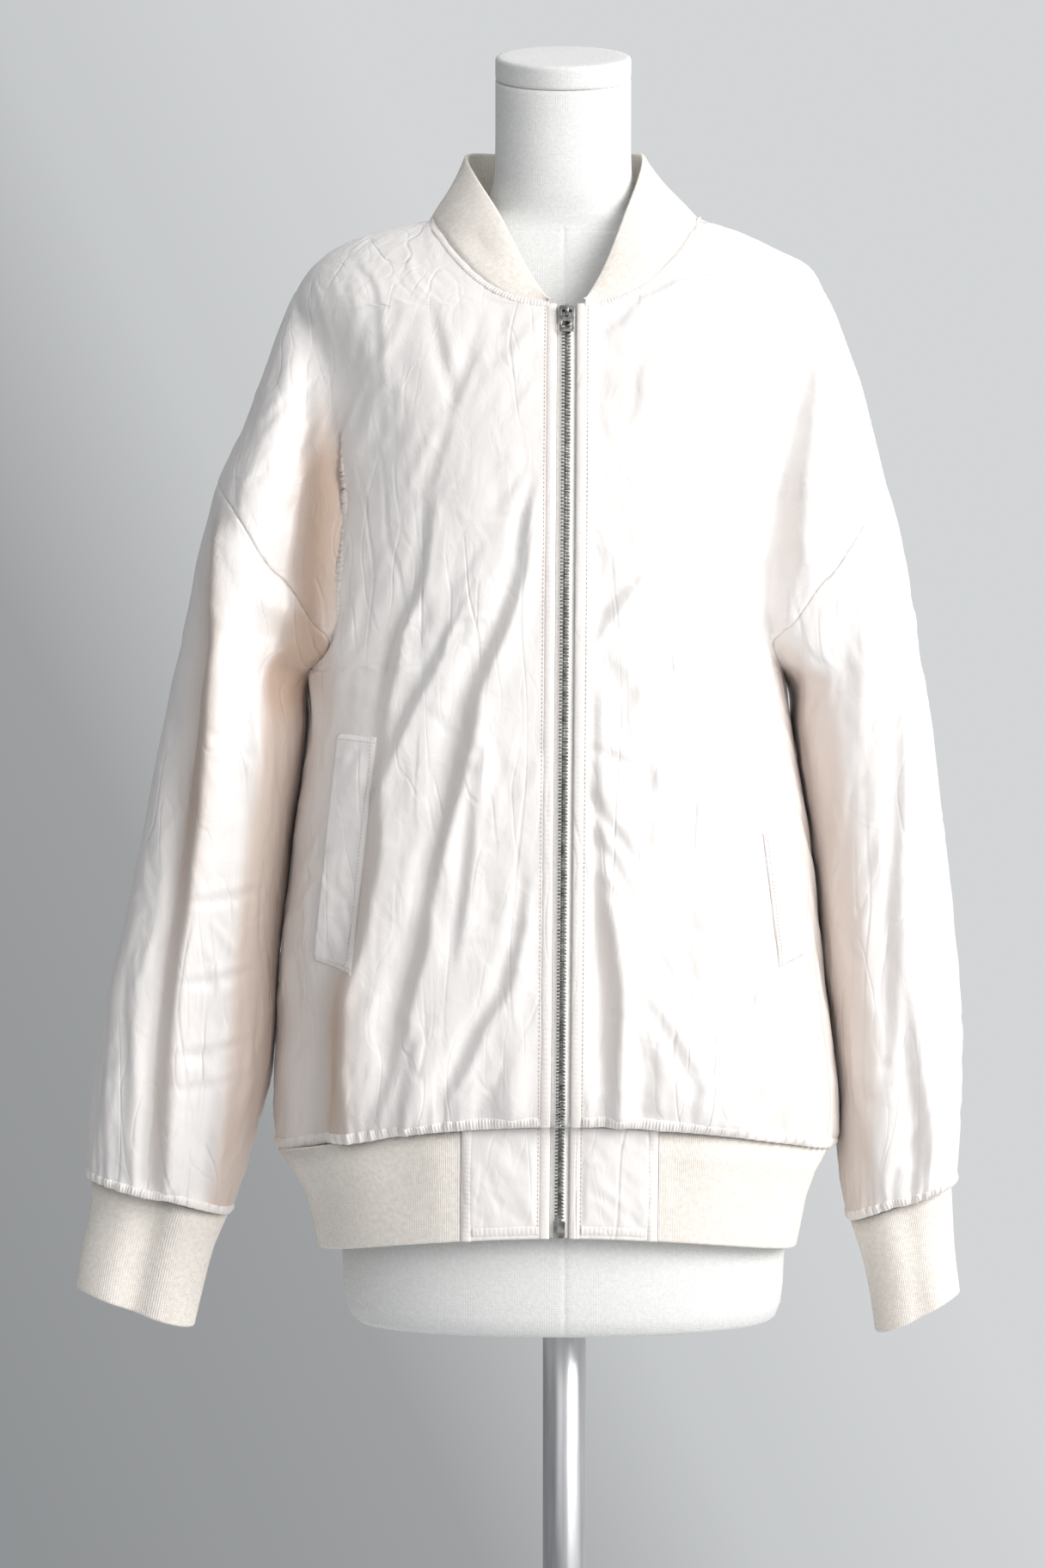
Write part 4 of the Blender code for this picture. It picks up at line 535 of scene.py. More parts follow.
def face_row(side, face, z):
    """Evenly spaced points from the panel's inner edge to the outermost line, and the seam's place."""
    points, marks = half_section(side, z)
    if face == "back":
        points, marks = points[::-1], -marks[::-1]
    arc = arc_length(points)
    end = float(np.interp(0.0, marks, arc))
    start = 0.0
    if face == "front":
        inside = marks < 0
        start = float(np.interp(max(FRONT_EDGE, float(neck_reach(z))), points[inside, 0], arc[inside]))
    seam = float(np.interp(-seam_mark(side, face, z), marks, arc))
    at = start + (end - start) * row_fractions()
    return picked(at, arc, points), (seam - start) / (end - start)


@functools.lru_cache(maxsize=None)
def upper_table(side, face):
    """Rows of one face at close levels above the underarm, up to the neck on the front."""
    levels = np.linspace(UNDERARM_Z, SHOULDER_Z, 110)
    if face == "front":
        neck = neck_height(np.linspace(1.0, NECK_REACH, 70))
        levels = np.concatenate([levels, neck[:-1], [PANEL_TOP_Z]])
    levels = np.unique(np.round(np.concatenate([levels, armhole_levels()]), 3))
    levels = levels[levels <= PANEL_TOP_Z]
    rows, seams = zip(*(face_row(side, face, float(z)) for z in levels))
    return levels, np.array(rows), np.array(seams)


def upper_points(side, face, z, fractions):
    """Points (reach, y) at given heights and fractions of the upper part of one face."""
    levels, rows, _ = upper_table(side, face)
    steps = row_fractions()
    z, fractions = np.broadcast_arrays(np.asarray(z, float), fractions)
    low = np.clip(np.searchsorted(levels, z, side="right") - 1, 0, len(levels) - 2)
    part = np.clip((z - levels[low]) / (levels[low + 1] - levels[low]), 0.0, 1.0)[..., None]
    at = np.clip(fractions, 0.0, 1.0) * (len(steps) - 1)
    left = np.clip(at.astype(int), 0, len(steps) - 2)
    over = (at - left)[..., None]
    below = rows[low, left] * (1 - over) + rows[low, left + 1] * over
    above = rows[low + 1, left] * (1 - over) + rows[low + 1, left + 1] * over
    return below * (1 - part) + above * part


@functools.lru_cache(maxsize=None)
def armhole_levels():
    """Heights of the shared points of the armhole seam, evenly spaced along it."""
    heights = np.linspace(UNDERARM_Z, SLEEVE_TOP_Z, 400)
    marks = np.array([seam_mark("right", "front", float(z)) for z in heights])
    marks[0] = 1.0
    marks = np.minimum.accumulate(marks)
    spots = np.array([sleeve_arc("right", float(z), np.array([m * math.pi]))[0]
                      for z, m in zip(heights, marks)])
    arc = arc_length(np.concatenate([spots, heights[:, None]], axis=1))
    levels = np.interp(np.linspace(0.0, arc[-1], ARMHOLE_ROWS), arc, heights)
    levels[[0, -1]] = UNDERARM_Z, SLEEVE_TOP_Z
    return levels


def placed(side, reach_y, z):
    """World points in millimetres from (reach, y) and height."""
    z = np.broadcast_to(z, reach_y.shape[:-1])
    x = zip_x(z) + SIGN[side] * reach_y[..., 0]
    return np.stack([x, reach_y[..., 1], z], axis=-1)


CALM_ROWS = np.array([0, 11, 24, 40, 58, ARMHOLE_ROWS - 1])


def calm_lengths(lengths):
    """Row lengths that change slowly from the underarm to the top of the armhole."""
    return smooth_between(CALM_ROWS, lengths[CALM_ROWS], np.arange(len(lengths)))


def armhole_rows(side, face, shares):
    """Rows between the underarm and the top of the sleeve, ending on the armhole seam."""
    levels, table, seams = upper_table(side, face)
    whole = np.linalg.norm(np.diff(table, axis=1), axis=-1).sum(axis=1)
    ends = armhole_levels()
    lengths = np.interp(ends, levels, seams * whole)
    calm = calm_lengths(lengths)
    rows = []
    for k, end in enumerate(ends):
        even = UNDERARM_Z + (SLEEVE_TOP_Z - UNDERARM_Z) * k / (len(ends) - 1)
        z = end + (even - end) * np.clip(1.0 - shares, 0.0, 1.0) ** 1.3
        distance = shares * calm[k] + (lengths[k] - calm[k]) * shares ** 9
        fraction = distance / np.interp(z, levels, whole)
        rows.append(placed(side, upper_points(side, face, z, fraction), z))
    return rows


def yoke_heights():
    """Heights of the rows above the chest at the neckline and at the shoulder line."""
    steps = np.linspace(0.0, 1.0, YOKE_ROWS + 1)[1:]
    return neck_height(FRONT_EDGE + (NECK_REACH - FRONT_EDGE) * steps) - TOP_DROP * steps, steps


def fanned_rows(side, shares):
    """Front rows that leave the neckline at even steps and end at even steps of the shoulder."""
    inner, steps = yoke_heights()
    rows = []
    for low, step in zip(inner, steps):
        outer = NECK_FRONT_Z + (PANEL_TOP_Z - NECK_FRONT_Z) * step
        z = low + (outer - low) * ease(shares / 0.8)
        rows.append(placed(side, upper_points(side, "front", z, shares), z))
    return rows


def lower_angles(side, face, z, shares):
    """Section angles that share out a body row evenly below the underarm."""
    angles = np.linspace(0.0, math.pi / 2, 400)
    points = body_arc(side, face, z, angles)
    arc = arc_length(points)
    first = FRONT_EDGE if face == "front" else 0.0
    start = float(np.interp(first, points[:, 0], arc))
    return np.interp(start + (arc[-1] - start) * shares, arc, angles)


def hem_height(reach, face):
    """Height of the gathered hem seam under a point of the body tube."""
    middle = HEM_FRONT_Z if face == "front" else HEM_BACK_Z
    return HEM_SIDE_Z + (middle - HEM_SIDE_Z) * (1.0 - np.clip(reach / HEM_REACH, 0.0, 1.0) ** 2)


def lower_grid(side, face, shares):
    """Rows of a body panel from the hem seam up to just below the underarm."""
    rows = []
    for v in np.linspace(0.0, 1.0, BODY_ROWS + 1)[:-1]:
        level = HEM_SIDE_Z + (UNDERARM_Z - HEM_SIDE_Z) * v
        angles = lower_angles(side, face, level, shares)
        reach = body_arc(side, face, level, angles)[:, 0]
        low = hem_height(reach, face)
        z = low + (UNDERARM_Z - low) * v
        rows.append(placed(side, body_arc(side, face, z, angles), z))
    return rows


def panel_shares(columns):
    """Shares of a row, with one extra beyond the outer seam."""
    step = 1.0 / (columns - 1)
    return np.linspace(0.0, 1.0 + step, columns + 1)


def mirror_last(rows):
    """Replace the extra point of every row by the one beside the seam, mirrored front to back."""
    for row in rows:
        row[-1] = row[-3] * np.array([1.0, -1.0, 1.0])
    return rows


def yoke_back_rows(side, shares):
    """Back rows from the shoulder level up to the neckline and the shoulder seam."""
    shares = np.minimum(shares, 1.0)
    base = upper_points(side, "back", SHOULDER_Z, shares)[:, 0]
    neck = NECK_REACH * np.sin(shares * math.pi / 2)
    neck_z = back_neck_height(neck)
    rows = []
    for v in 1.0 - (1.0 - np.linspace(0.0, 1.0, YOKE_ROWS + 1)[1:]) ** 1.6:
        edge_z = SHOULDER_Z + (PANEL_TOP_Z - SHOULDER_Z) * v
        edge = float(sleeve_value("outer_" + side, edge_z))
        straight = base[-1] + (neck[-1] - base[-1]) * v
        reach = base + (neck - base) * v + (edge - straight) * shares
        straight_z = SHOULDER_Z + (neck_z[-1] - SHOULDER_Z) * v
        z = SHOULDER_Z + (neck_z - SHOULDER_Z) * v + (edge_z - straight_z) * shares
        reach = np.minimum(reach, sleeve_value("outer_" + side, z))
        depth = body_depth(side, "back", reach, z)
        rows.append(placed(side, np.stack([reach, depth], axis=-1), z))
    return rows


# Columns of a half panel, height where its yoke begins, and the function of its yoke's rows.
PANELS = {"front": (HALF_COLUMNS, NECK_FRONT_Z, fanned_rows),
          "back": (BACK_HALF_COLUMNS, SHOULDER_Z, yoke_back_rows)}


def panel_grid(side, face):
    """Rows of one half of the front or the back, from the hem to the neck and the shoulder."""
    columns, yoke_z, yoke_rows = PANELS[face]
    shares = panel_shares(columns)
    rows = mirror_last(lower_grid(side, face, np.minimum(shares, 1.0)))
    rows += armhole_rows(side, face, shares)
    chest = [placed(side, upper_points(side, face, z, shares), z)
             for z in np.linspace(SLEEVE_TOP_Z, yoke_z, CHEST_ROWS + 1)[1:]]
    return np.array(rows + mirror_last(chest + yoke_rows(side, shares)))


CUFF_SEAM = {"right": (683.0, 14.0), "left": (679.0, 14.0)}


def sleeve_columns(side):
    """Turn and top height of every column of the sleeve, round from the underarm."""
    levels = armhole_levels()
    turns = {}
    for face in ("front", "back"):
        marks = np.array([seam_mark(side, face, float(z)) for z in levels])
        marks[0] = 1.0
        turns[face] = np.minimum.accumulate(marks) * math.pi
    around = np.concatenate([-turns["back"], turns["front"][::-1][1:-1]])
    return around, np.concatenate([levels, levels[::-1][1:-1]])


def sleeve_levels_table(side, turns):
    """Section points of the sleeve at close levels, for every turn."""
    levels = np.union1d(np.linspace(640.0, UNDERARM_Z, 140), armhole_levels())
    table = []
    for z in levels:
        if z < UNDERARM_Z:
            table.append(sleeve_arc(side, z, turns))
        else:
            points, marks = half_section(side, float(z))
            table.append(picked(-turns / math.pi, marks, points))
    return levels, np.array(table)


def even_turns(turns, share):
    """Turns that open from the armhole's own spacing to an even one down the sleeve."""
    even = -math.pi + 2.0 * math.pi * np.arange(len(turns)) / len(turns)
    return turns + (even - turns) * ease(share / 0.35)


def sleeve_grid(side):
    turns, top = sleeve_columns(side)
    levels, table = sleeve_levels_table(side, turns)
    seam_z, seam_tilt = CUFF_SEAM[side]
    rows = []
    for v in np.linspace(0.0, 1.0, SLEEVE_ROWS + 1):
        at_turns = even_turns(turns, v)
        low = seam_z + seam_tilt * np.cos(at_turns)
        z = top + (low - top) * v
        reach_y = np.empty((len(turns), 2))
        columns = np.interp(at_turns, np.append(turns, math.pi), np.arange(len(turns) + 1.0))
        left = np.floor(columns).astype(int) % len(turns)
        right = (left + 1) % len(turns)
        over = columns - np.floor(columns)
        for j in range(len(turns)):
            pair = table[:, left[j]] * (1 - over[j]) + table[:, right[j]] * over[j]
            reach_y[j] = [np.interp(z[j], levels, pair[:, i]) for i in range(2)]
        rows.append(placed(side, reach_y, z))
    return np.array(rows)


# ---------------------------------------------------------------- folds
def in_photo(points):
    """Where points lie in the photo, in its pixels."""
    scale = (points[..., 1] - EYE[1]) / FOCAL_PX
    return (CENTRE_PX[0] + (points[..., 0] - EYE[0]) / scale,
            CENTRE_PX[1] - (points[..., 2] - EYE[2]) / scale)


FOLD_STEPS = np.linspace(-5.0, 5.0, 401)


def wall_profile():
    """Height across a wall of unit drop: a soft trough on its low side, a crisp edge above."""
    wall = ease((FOLD_STEPS + 1.15) / 0.7) * ease((1.1 - FOLD_STEPS) / 0.3)
    before = ease((FOLD_STEPS + 4.2) / 1.6) * ease((-1.0 - FOLD_STEPS) / 0.8)
    after = ease((FOLD_STEPS - 0.9) / 0.4) * ease((4.6 - FOLD_STEPS) / 2.6)
    step = FOLD_STEPS[1] - FOLD_STEPS[0]
    wall, before, after = (part / (part.sum() * step) for part in (wall, before, after))
    return np.cumsum(wall - 0.62 * before - 0.38 * after) * step


WALL_PROFILE = wall_profile()


def fold_line(fold, step):
    """Points, half widths and drops of a fold at close steps along its line."""
    given = np.array(fold, float)
    arc = arc_length(given[:, :2])
    even = np.linspace(0.0, arc[-1], max(int(arc[-1] / step), 3) + 1)
    return np.stack([smooth_between(arc, given[:, k], even) for k in range(4)], axis=-1)


def add_fold(height, shade, fold, u, v, step):
    """Add one fold to a field of heights, and its dark wall to a field of shade."""
    line = fold_line(fold, step)
    margin = 5.0 * line[:, 2].max()
    near = ((u > line[:, 0].min() - margin) & (u < line[:, 0].max() + margin)
            & (v > line[:, 1].min() - margin) & (v < line[:, 1].max() + margin))
    if not near.any():
        return
    at = np.stack([u[near], v[near]], axis=-1)
    apart = at[:, None] - line[None, :, :2]
    closest = (apart ** 2).sum(axis=-1).argmin(axis=1)
    run = unit(np.gradient(line[:, :2], axis=0))[closest]
    offset = at - line[closest, :2]
    across = offset[:, 0] * run[:, 1] - offset[:, 1] * run[:, 0]
    onward = (offset * run).sum(axis=1) / step
    place = np.clip(closest + onward, 0.0, len(line) - 1.0)
    half = np.interp(place, np.arange(len(line)), line[:, 2])
    drop = np.interp(place, np.arange(len(line)), line[:, 3])
    beyond = abs(closest + onward - place) * step / (2.5 * half)
    drop = drop * np.exp(-beyond ** 2)
    height[near] += drop * np.interp(across / half, FOLD_STEPS, WALL_PROFILE)
    # Painted shade: the fold's dark wall gets a share that darkens the satin's colour there.
    shade[near] += np.clip((drop - 6.0) / 20.0, 0.0, 1.0) * np.exp(-(across / (1.2 * half)) ** 2)


def relief(folds, u, v, step):
    """Height and shade of folds at places (u, v), given in the folds' own measures."""
    height, shade = np.zeros(u.shape), np.zeros(u.shape)
    for fold in folds:
        add_fold(height, shade, fold, u, v, step)
    return height, shade


def photo_relief(folds, points):
    """Height and shade of the front's folds at points of the cloth."""
    return relief(folds, *in_photo(points), 5.0)


def hidden_relief(folds, points):
    """Height and shade of the folds of a hidden side, seen from the front."""
    flipped = [[(x, -z, half, drop) for x, z, half, drop in fold] for fold in folds]
    return relief(flipped, points[..., 0], -points[..., 2], 4.0)


def hem_puckers(x, z, face):
    """Soft uneven gathers above the hem seam."""
    level = hem_height(abs(x), face)
    wave = np.cos(2 * math.pi * (HEM_PUCKERS * x / HEM_REACH + 0.35 * np.sin(x / 31.0)))
    fade = np.exp(-np.clip(z - level, 0.0, None) / HEM_PUCKER_REACH) * ease((z - level) / 10.0)
    near_zip = ease((abs(x) - 20.0) / 20.0)
    return HEM_PUCKER_RISE * wave * fade * near_zip


def seam_ripple(along, away, pitch, rise, reach, phase=0.0):
    """Uneven small puckers that run out from a seam."""
    wander = 0.6 * np.sin(along / 23.0 + phase) + 0.35 * np.sin(along / 9.0 + 2.0 * phase)
    strength = 0.65 + 0.35 * np.sin(along / 37.0 + 3.0 * phase)
    wave = np.sin(2 * math.pi * along / pitch + 2.2 * wander)
    return rise * strength * wave * np.exp(-np.clip(away, 0.0, None) / reach)


# Worn creases: how many, shortest and longest, narrowest and widest reach, slope, spread of turn.
BROAD_CREASES = (44, 60, 170, 15, 30, 0.11, 22)
MIDDLE_CREASES = (190, 28, 95, 7, 15, 0.20, 30)
FINE_CREASES = (460, 12, 44, 3.5, 8, 0.25, 45)
WORN_CREASES = (BROAD_CREASES, MIDDLE_CREASES, FINE_CREASES)
FRONT_CREASE_LEAN = -24.0


def creases(across, along, kinds, seed, tilt=0.0, around=None):
    """Random soft-edged creases of a worn cloth, from a fixed seed.

    Each is a short straight ridge or valley whose two sides slope like the facets of
    crumpled cloth. "around" is the circumference of a tube, on which they run on.
    """
    draw = np.random.default_rng(seed)
    height = np.zeros_like(across)
    low_u, high_u = float(across.min()), float(across.max())
    low_v, high_v = float(along.min()), float(along.max())
    for count, short, long, narrow, wide, slope, spread in kinds:
        for _ in range(count):
            u = draw.uniform(low_u, high_u)
            v = draw.uniform(low_v, high_v)
            lean = math.radians(tilt + draw.normal(0.0, spread))
            length = draw.uniform(short, long)
            reach = draw.uniform(narrow, wide)
            steep = slope * draw.uniform(0.35, 1.0) * draw.choice((-1.0, 1.0))
            du = across - u
            if around is not None:
                du = (du + around / 2) % around - around / 2
            dv = along - v
            near = (abs(du) < length) & (abs(dv) < length)
            du, dv = du[near], dv[near]
            run = abs(du * math.sin(lean) + dv * math.cos(lean)) / (0.5 * length)
            side = du * math.cos(lean) - dv * math.sin(lean)
            edge = 0.7 + 0.05 * reach
            facet = (np.sqrt(side ** 2 + edge ** 2) - 0.55 * reach) * np.exp(-(side / reach) ** 2)
            height[near] += steep * facet * ease((1.0 - run) / 0.75)
    return height


# ---------------------------------------------------------------- grids and meshes
def grid_normals(grid, centre, closed=False):
    """Unit normals of a grid of points, turned away from its centre."""
    down = np.gradient(grid, axis=0)
    if closed:
        over = np.roll(grid, -1, axis=1) - np.roll(grid, 1, axis=1)
    else:
        over = np.gradient(grid, axis=1)
    normals = unit(np.cross(down, over))
    if (normals * (grid - centre)).sum() < 0:
        normals = -normals
    return normals


def body_normals(grid):
    """Unit normals of a piece of the body, turned away from the form's axis."""
    return grid_normals(grid, grid * np.array([0.0, 0.0, 1.0]))


def tube_normals(grid):
    """Unit normals of a closed tube, turned away from its own middle."""
    centres = grid.mean(axis=1, keepdims=True) + np.zeros_like(grid)
    centres[..., 2] = grid[..., 2]
    return grid_normals(grid, centres, closed=True)


def walk(grid, axis):
    """Distance along the rows (1) or columns (0) of a grid, from its first edge."""
    steps = np.linalg.norm(np.diff(grid, axis=axis), axis=-1)
    pad = [(0, 0), (0, 0)]
    pad[axis] = (1, 0)
    return np.pad(np.cumsum(steps, axis=axis), pad)


def wall_quads(rows, cols, closed):
    """Quads of a walled sheet: outer face, inner face, and the rims between them."""
    index = np.arange(rows * cols).reshape(rows, cols)
    nxt = np.roll(index, -1, axis=1)
    spans = cols if closed else cols - 1
    face = np.stack([index[:-1, :spans], nxt[:-1, :spans], nxt[1:, :spans], index[1:, :spans]],
                    axis=-1).reshape(-1, 4)
    count = rows * cols
    edges = [np.stack([index[0, :spans], nxt[0, :spans]], axis=-1)[:, ::-1],
             np.stack([index[-1, :spans], nxt[-1, :spans]], axis=-1)]
    if not closed:
        edges.append(np.stack([index[:-1, 0], index[1:, 0]], axis=-1))
        edges.append(np.stack([index[:-1, -1], index[1:, -1]], axis=-1)[:, ::-1])
    edge = np.concatenate(edges)
    rims = np.stack([edge[:, 0], edge[:, 1], edge[:, 1] + count, edge[:, 0] + count], axis=-1)
    return np.concatenate([face, face[:, ::-1] + count, rims]), len(face) * 2


def quad_volume(points, quads):
    a, b, c, d = (points[quads[:, k]] for k in range(4))
    return float((a * np.cross(b, c)).sum() + (a * np.cross(c, d)).sum())


def add_mesh(name, points, quads, material, smooth=None):
    """A named closed object from points in millimetres and quads, faces outwards."""
    points = np.asarray(points, float)
    quads = np.asarray(quads)
    if quad_volume(points, quads) < 0:
        quads = quads[:, ::-1]
    mesh = bpy.data.meshes.new(name)
    mesh.vertices.add(len(points))
    mesh.vertices.foreach_set("co", (points * MM).astype(np.float32).ravel())
    mesh.loops.add(quads.size)
    mesh.loops.foreach_set("vertex_index", quads.astype(np.int32).ravel())
    mesh.polygons.add(len(quads))
    mesh.polygons.foreach_set("loop_start", np.arange(0, quads.size, 4, dtype=np.int32))
    flags = np.ones(len(quads), bool)
    if smooth is not None:
        flags[smooth:] = False
    mesh.polygons.foreach_set("use_smooth", flags)
    mesh.update(calc_edges=True)
    mesh.validate()
    mesh.materials.append(material)
    item = bpy.data.objects.new(name, mesh)
    bpy.context.scene.collection.objects.link(item)
    return item


def cloth(name, outer, normals, wall, material, closed=False):
    """Walled sheet from a grid of outer points."""
    rows, cols = outer.shape[:2]
    quads, smooth = wall_quads(rows, cols, closed)
    points = np.concatenate([outer.reshape(-1, 3), (outer - normals * wall).reshape(-1, 3)])
    return add_mesh(name, points, quads, material, smooth)


def dress(piece, node=None, body=JACKET):
    """Make a piece ride on its body and hide the imported part of the node it stands for."""
    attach(piece, body)
    if node is not None:
        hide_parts(node)
    return piece


def shade_points(piece, shade):
    """Keep the share of fold shade at every point, for the shade painted into the satin's colour."""
    values = np.clip(shade, 0.0, 1.0).astype(np.float32).ravel()
    layer = piece.data.attributes.new("fold_shade", "FLOAT", "POINT")
    layer.data.foreach_set("value", np.tile(values, 2))


def at_index(field, row, col):
    """Value of a grid at a fractional row and column."""
    row = np.clip(row, 0.0, field.shape[0] - 1.0001)
    col = np.clip(col, 0.0, field.shape[1] - 1.0001)
    r, c = int(row), int(col)
    fr, fc = row - r, col - c
    return ((field[r, c] * (1 - fc) + field[r, c + 1] * fc) * (1 - fr)
            + (field[r + 1, c] * (1 - fc) + field[r + 1, c + 1] * fc) * fr)


def rail_at(grid, normals, places):
    """Points and normals of a panel at fractional rows and columns."""
    return tuple(np.array([at_index(field, *place) for place in places])
                 for field in (grid, normals))


# ---------------------------------------------------------------- materials
def new_material(name, colour, rough, metal=0.0, sheen=0.0, specular=0.5):
    material = bpy.data.materials.new(name)
    material.use_nodes = True
    shader = material.node_tree.nodes["Principled BSDF"]
    finish = {"Base Color": (*colour, 1.0), "Roughness": rough, "Metallic": metal,
              "Sheen Weight": sheen, "Sheen Roughness": 0.4, "Specular IOR Level": specular}
    for socket, value in finish.items():
        shader.inputs[socket].default_value = value
    return material, material.node_tree, shader


def add_node(tree, kind, inputs=None, **settings):
    """A shader node; an input given as another node's output is linked to it."""
    node = tree.nodes.new("ShaderNode" + kind)
    for name, value in settings.items():
        setattr(node, name, value)
    for socket, value in (inputs or {}).items():
        if isinstance(value, bpy.types.NodeSocket):
            tree.links.new(value, node.inputs[socket])
        else:
            node.inputs[socket].default_value = value
    return node


def noise_over(tree, scale, detail, stretch=(1.0, 1.0, 1.0), distortion=0.0, turn=0.0):
    """Noise over the object's own coordinates, in features per metre."""
    place = add_node(tree, "TexCoord")
    mapping = add_node(tree, "Mapping", {"Vector": place.outputs["Object"], "Scale": stretch,
                                         "Rotation": (0.0, turn, 0.0)})
    noise = add_node(tree, "TexNoise", {"Vector": mapping.outputs["Vector"], "Scale": scale,
                                        "Detail": detail, "Distortion": distortion})
    return noise.outputs["Fac"]


def lines_over(tree, pitch, direction, distortion=0.4):
    """Fine even lines across one object axis, a pitch in metres apart."""
    place = add_node(tree, "TexCoord")
    wave = add_node(tree, "TexWave", {"Vector": place.outputs["Object"], "Scale": 0.314 / pitch,
                                      "Distortion": distortion, "Detail": 1.0,
                                      "Detail Scale": 2.0}, bands_direction=direction)
    return wave.outputs["Fac"]


def mix_colours(tree, shader, factor, low, high):
    """Two close colours blended by a texture into the base colour."""
    ramp = add_node(tree, "ValToRGB", {"Fac": factor})
    for mark, place, colour in zip(ramp.color_ramp.elements, (0.35, 0.65), (low, high)):
        mark.position = place
        mark.color = (*colour, 1.0)
    tree.links.new(ramp.outputs["Color"], shader.inputs["Base Color"])


def vary_roughness(tree, shader, factor, low, high):
    spread = add_node(tree, "MapRange", {"Value": factor, "To Min": low, "To Max": high})
    tree.links.new(spread.outputs["Result"], shader.inputs["Roughness"])


def add_bump(tree, shader, layers):
    """Chain of bumps: (height output, strength, depth in metres)."""
    inputs = {}
    for height, strength, depth in layers:
        inputs.update({"Height": height, "Strength": strength, "Distance": depth})
        inputs["Normal"] = add_node(tree, "Bump", inputs).outputs["Normal"]
    tree.links.new(inputs["Normal"], shader.inputs["Normal"])


def crease_lines(tree, scale, stretch, turn, width):
    """Height with thin uneven crease lines, where a stretched noise passes its middle value."""
    noise = noise_over(tree, scale, 0.6, stretch, turn=turn)
    offset = add_node(tree, "Math", {0: noise, 1: 0.5}, operation="SUBTRACT")
    size = add_node(tree, "Math", {0: offset.outputs["Value"]}, operation="ABSOLUTE")
    line = add_node(tree, "MapRange", {"Value": size.outputs["Value"], "From Max": width},
                    interpolation_type="SMOOTHSTEP")
    patches = add_node(tree, "MapRange", {"Value": noise_over(tree, 7.0, 2.0),
                                          "From Min": 0.42, "From Max": 0.62})
    height = add_node(tree, "Math", {0: line.outputs["Result"], 1: patches.outputs["Result"]},
                      operation="MULTIPLY")
    return height.outputs["Value"]


# Darker warm colour painted into the satin as shade, where folds and the gaps beside the arms lie in
# shadow.
PAINTED_FOLD_SHADE_COLOUR = (0.60, 0.435, 0.335, 1.0)


def paint_fold_shade(tree, shader):
    """Paint shade into the base colour: blend it towards a darker warm one by the cloth's share of fold
    shade.
    """
    before = shader.inputs["Base Color"].links[0].from_socket
    shade = add_node(tree, "Attribute", attribute_name="fold_shade")
    mix = add_node(tree, "Mix", data_type="RGBA")
    tree.links.new(shade.outputs["Fac"], mix.inputs[0])
    tree.links.new(before, mix.inputs[6])
    mix.inputs[7].default_value = PAINTED_FOLD_SHADE_COLOUR
    tree.links.new(mix.outputs[2], shader.inputs["Base Color"])


def satin_material(name, low, high):
    material, tree, shader = new_material(name, high, 0.42, sheen=0.12, specular=0.75)
    crinkle = noise_over(tree, 60.0, 5.0, (1.0, 1.0, 0.55), 0.9)
    broad = crease_lines(tree, 19.0, (1.8, 1.0, 0.35), 0.5, 0.03)
    small = crease_lines(tree, 34.0, (1.6, 1.0, 0.4), -0.9, 0.04)
    twill = lines_over(tree, 0.0007, "DIAGONAL")
    mix_colours(tree, shader, noise_over(tree, 9.0, 3.0), low, high)
    paint_fold_shade(tree, shader)
    vary_roughness(tree, shader, crinkle, 0.34, 0.50)
    add_bump(tree, shader, ((broad, 0.4, 0.0013), (small, 0.35, 0.0008),
                            (crinkle, 0.5, 0.0019), (twill, 0.10, 0.00012)))
    return material


def knit_material(name, low, high):
    material, tree, shader = new_material(name, high, 0.9, sheen=0.2, specular=0.25)
    loops = lines_over(tree, 0.0011, "Z", 1.2)
    fuzz = noise_over(tree, 900.0, 3.0)
    mix_colours(tree, shader, noise_over(tree, 320.0, 4.0), low, high)
    add_bump(tree, shader, ((loops, 0.35, 0.00035), (fuzz, 0.4, 0.0003)))
    return material


def woven_material(name, low, high, pitch, rough=0.85):
    material, tree, shader = new_material(name, high, rough, sheen=0.1, specular=0.3)
    warp = lines_over(tree, pitch, "X", 0.8)
    weft = lines_over(tree, pitch, "Z", 0.8)
    grain = noise_over(tree, 700.0, 3.0)
    mix_colours(tree, shader, noise_over(tree, 420.0, 4.0), low, high)
    add_bump(tree, shader, ((warp, 0.3, 0.0003), (weft, 0.3, 0.0003), (grain, 0.6, 0.0004)))
    return material


def metal_material(name, low, high, rough_low, rough_high, grain=(1.0, 1.0, 1.0)):
    material, tree, shader = new_material(name, high, rough_low, metal=1.0)
    scratch = noise_over(tree, 220.0, 4.0, grain)
    mix_colours(tree, shader, scratch, low, high)
    vary_roughness(tree, shader, scratch, rough_low, rough_high)
    add_bump(tree, shader, ((scratch, 0.08, 0.0001),))
    return material


SATIN = satin_material("satin", (0.865, 0.822, 0.798), (0.89, 0.855, 0.835))
# The padded strips take a copy of the satin painted a little darker and warmer, as painted shade in
# their gathered grooves.
SHADED_STRIP_SATIN = satin_material("satin_edges_painted_shade", (0.86, 0.80, 0.765), (0.885, 0.835, 0.805))
KNIT = knit_material("rib_knit", (0.835, 0.77, 0.705), (0.915, 0.865, 0.81))
TAPE = woven_material("zip_tape", (0.86, 0.83, 0.79), (0.92, 0.90, 0.87), 0.0008)
THREAD = woven_material("thread", (0.70, 0.59, 0.52), (0.78, 0.68, 0.61), 0.0006, 0.6)
COVER = woven_material("form_cloth", (0.77, 0.77, 0.755), (0.84, 0.84, 0.825), 0.0012)
NICKEL = metal_material("nickel", (0.22, 0.215, 0.205), (0.56, 0.55, 0.53), 0.18, 0.34)
STEEL = metal_material("stand_steel", (0.55, 0.55, 0.56), (0.68, 0.68, 0.69), 0.25, 0.4,
                       (1.0, 1.0, 0.05))


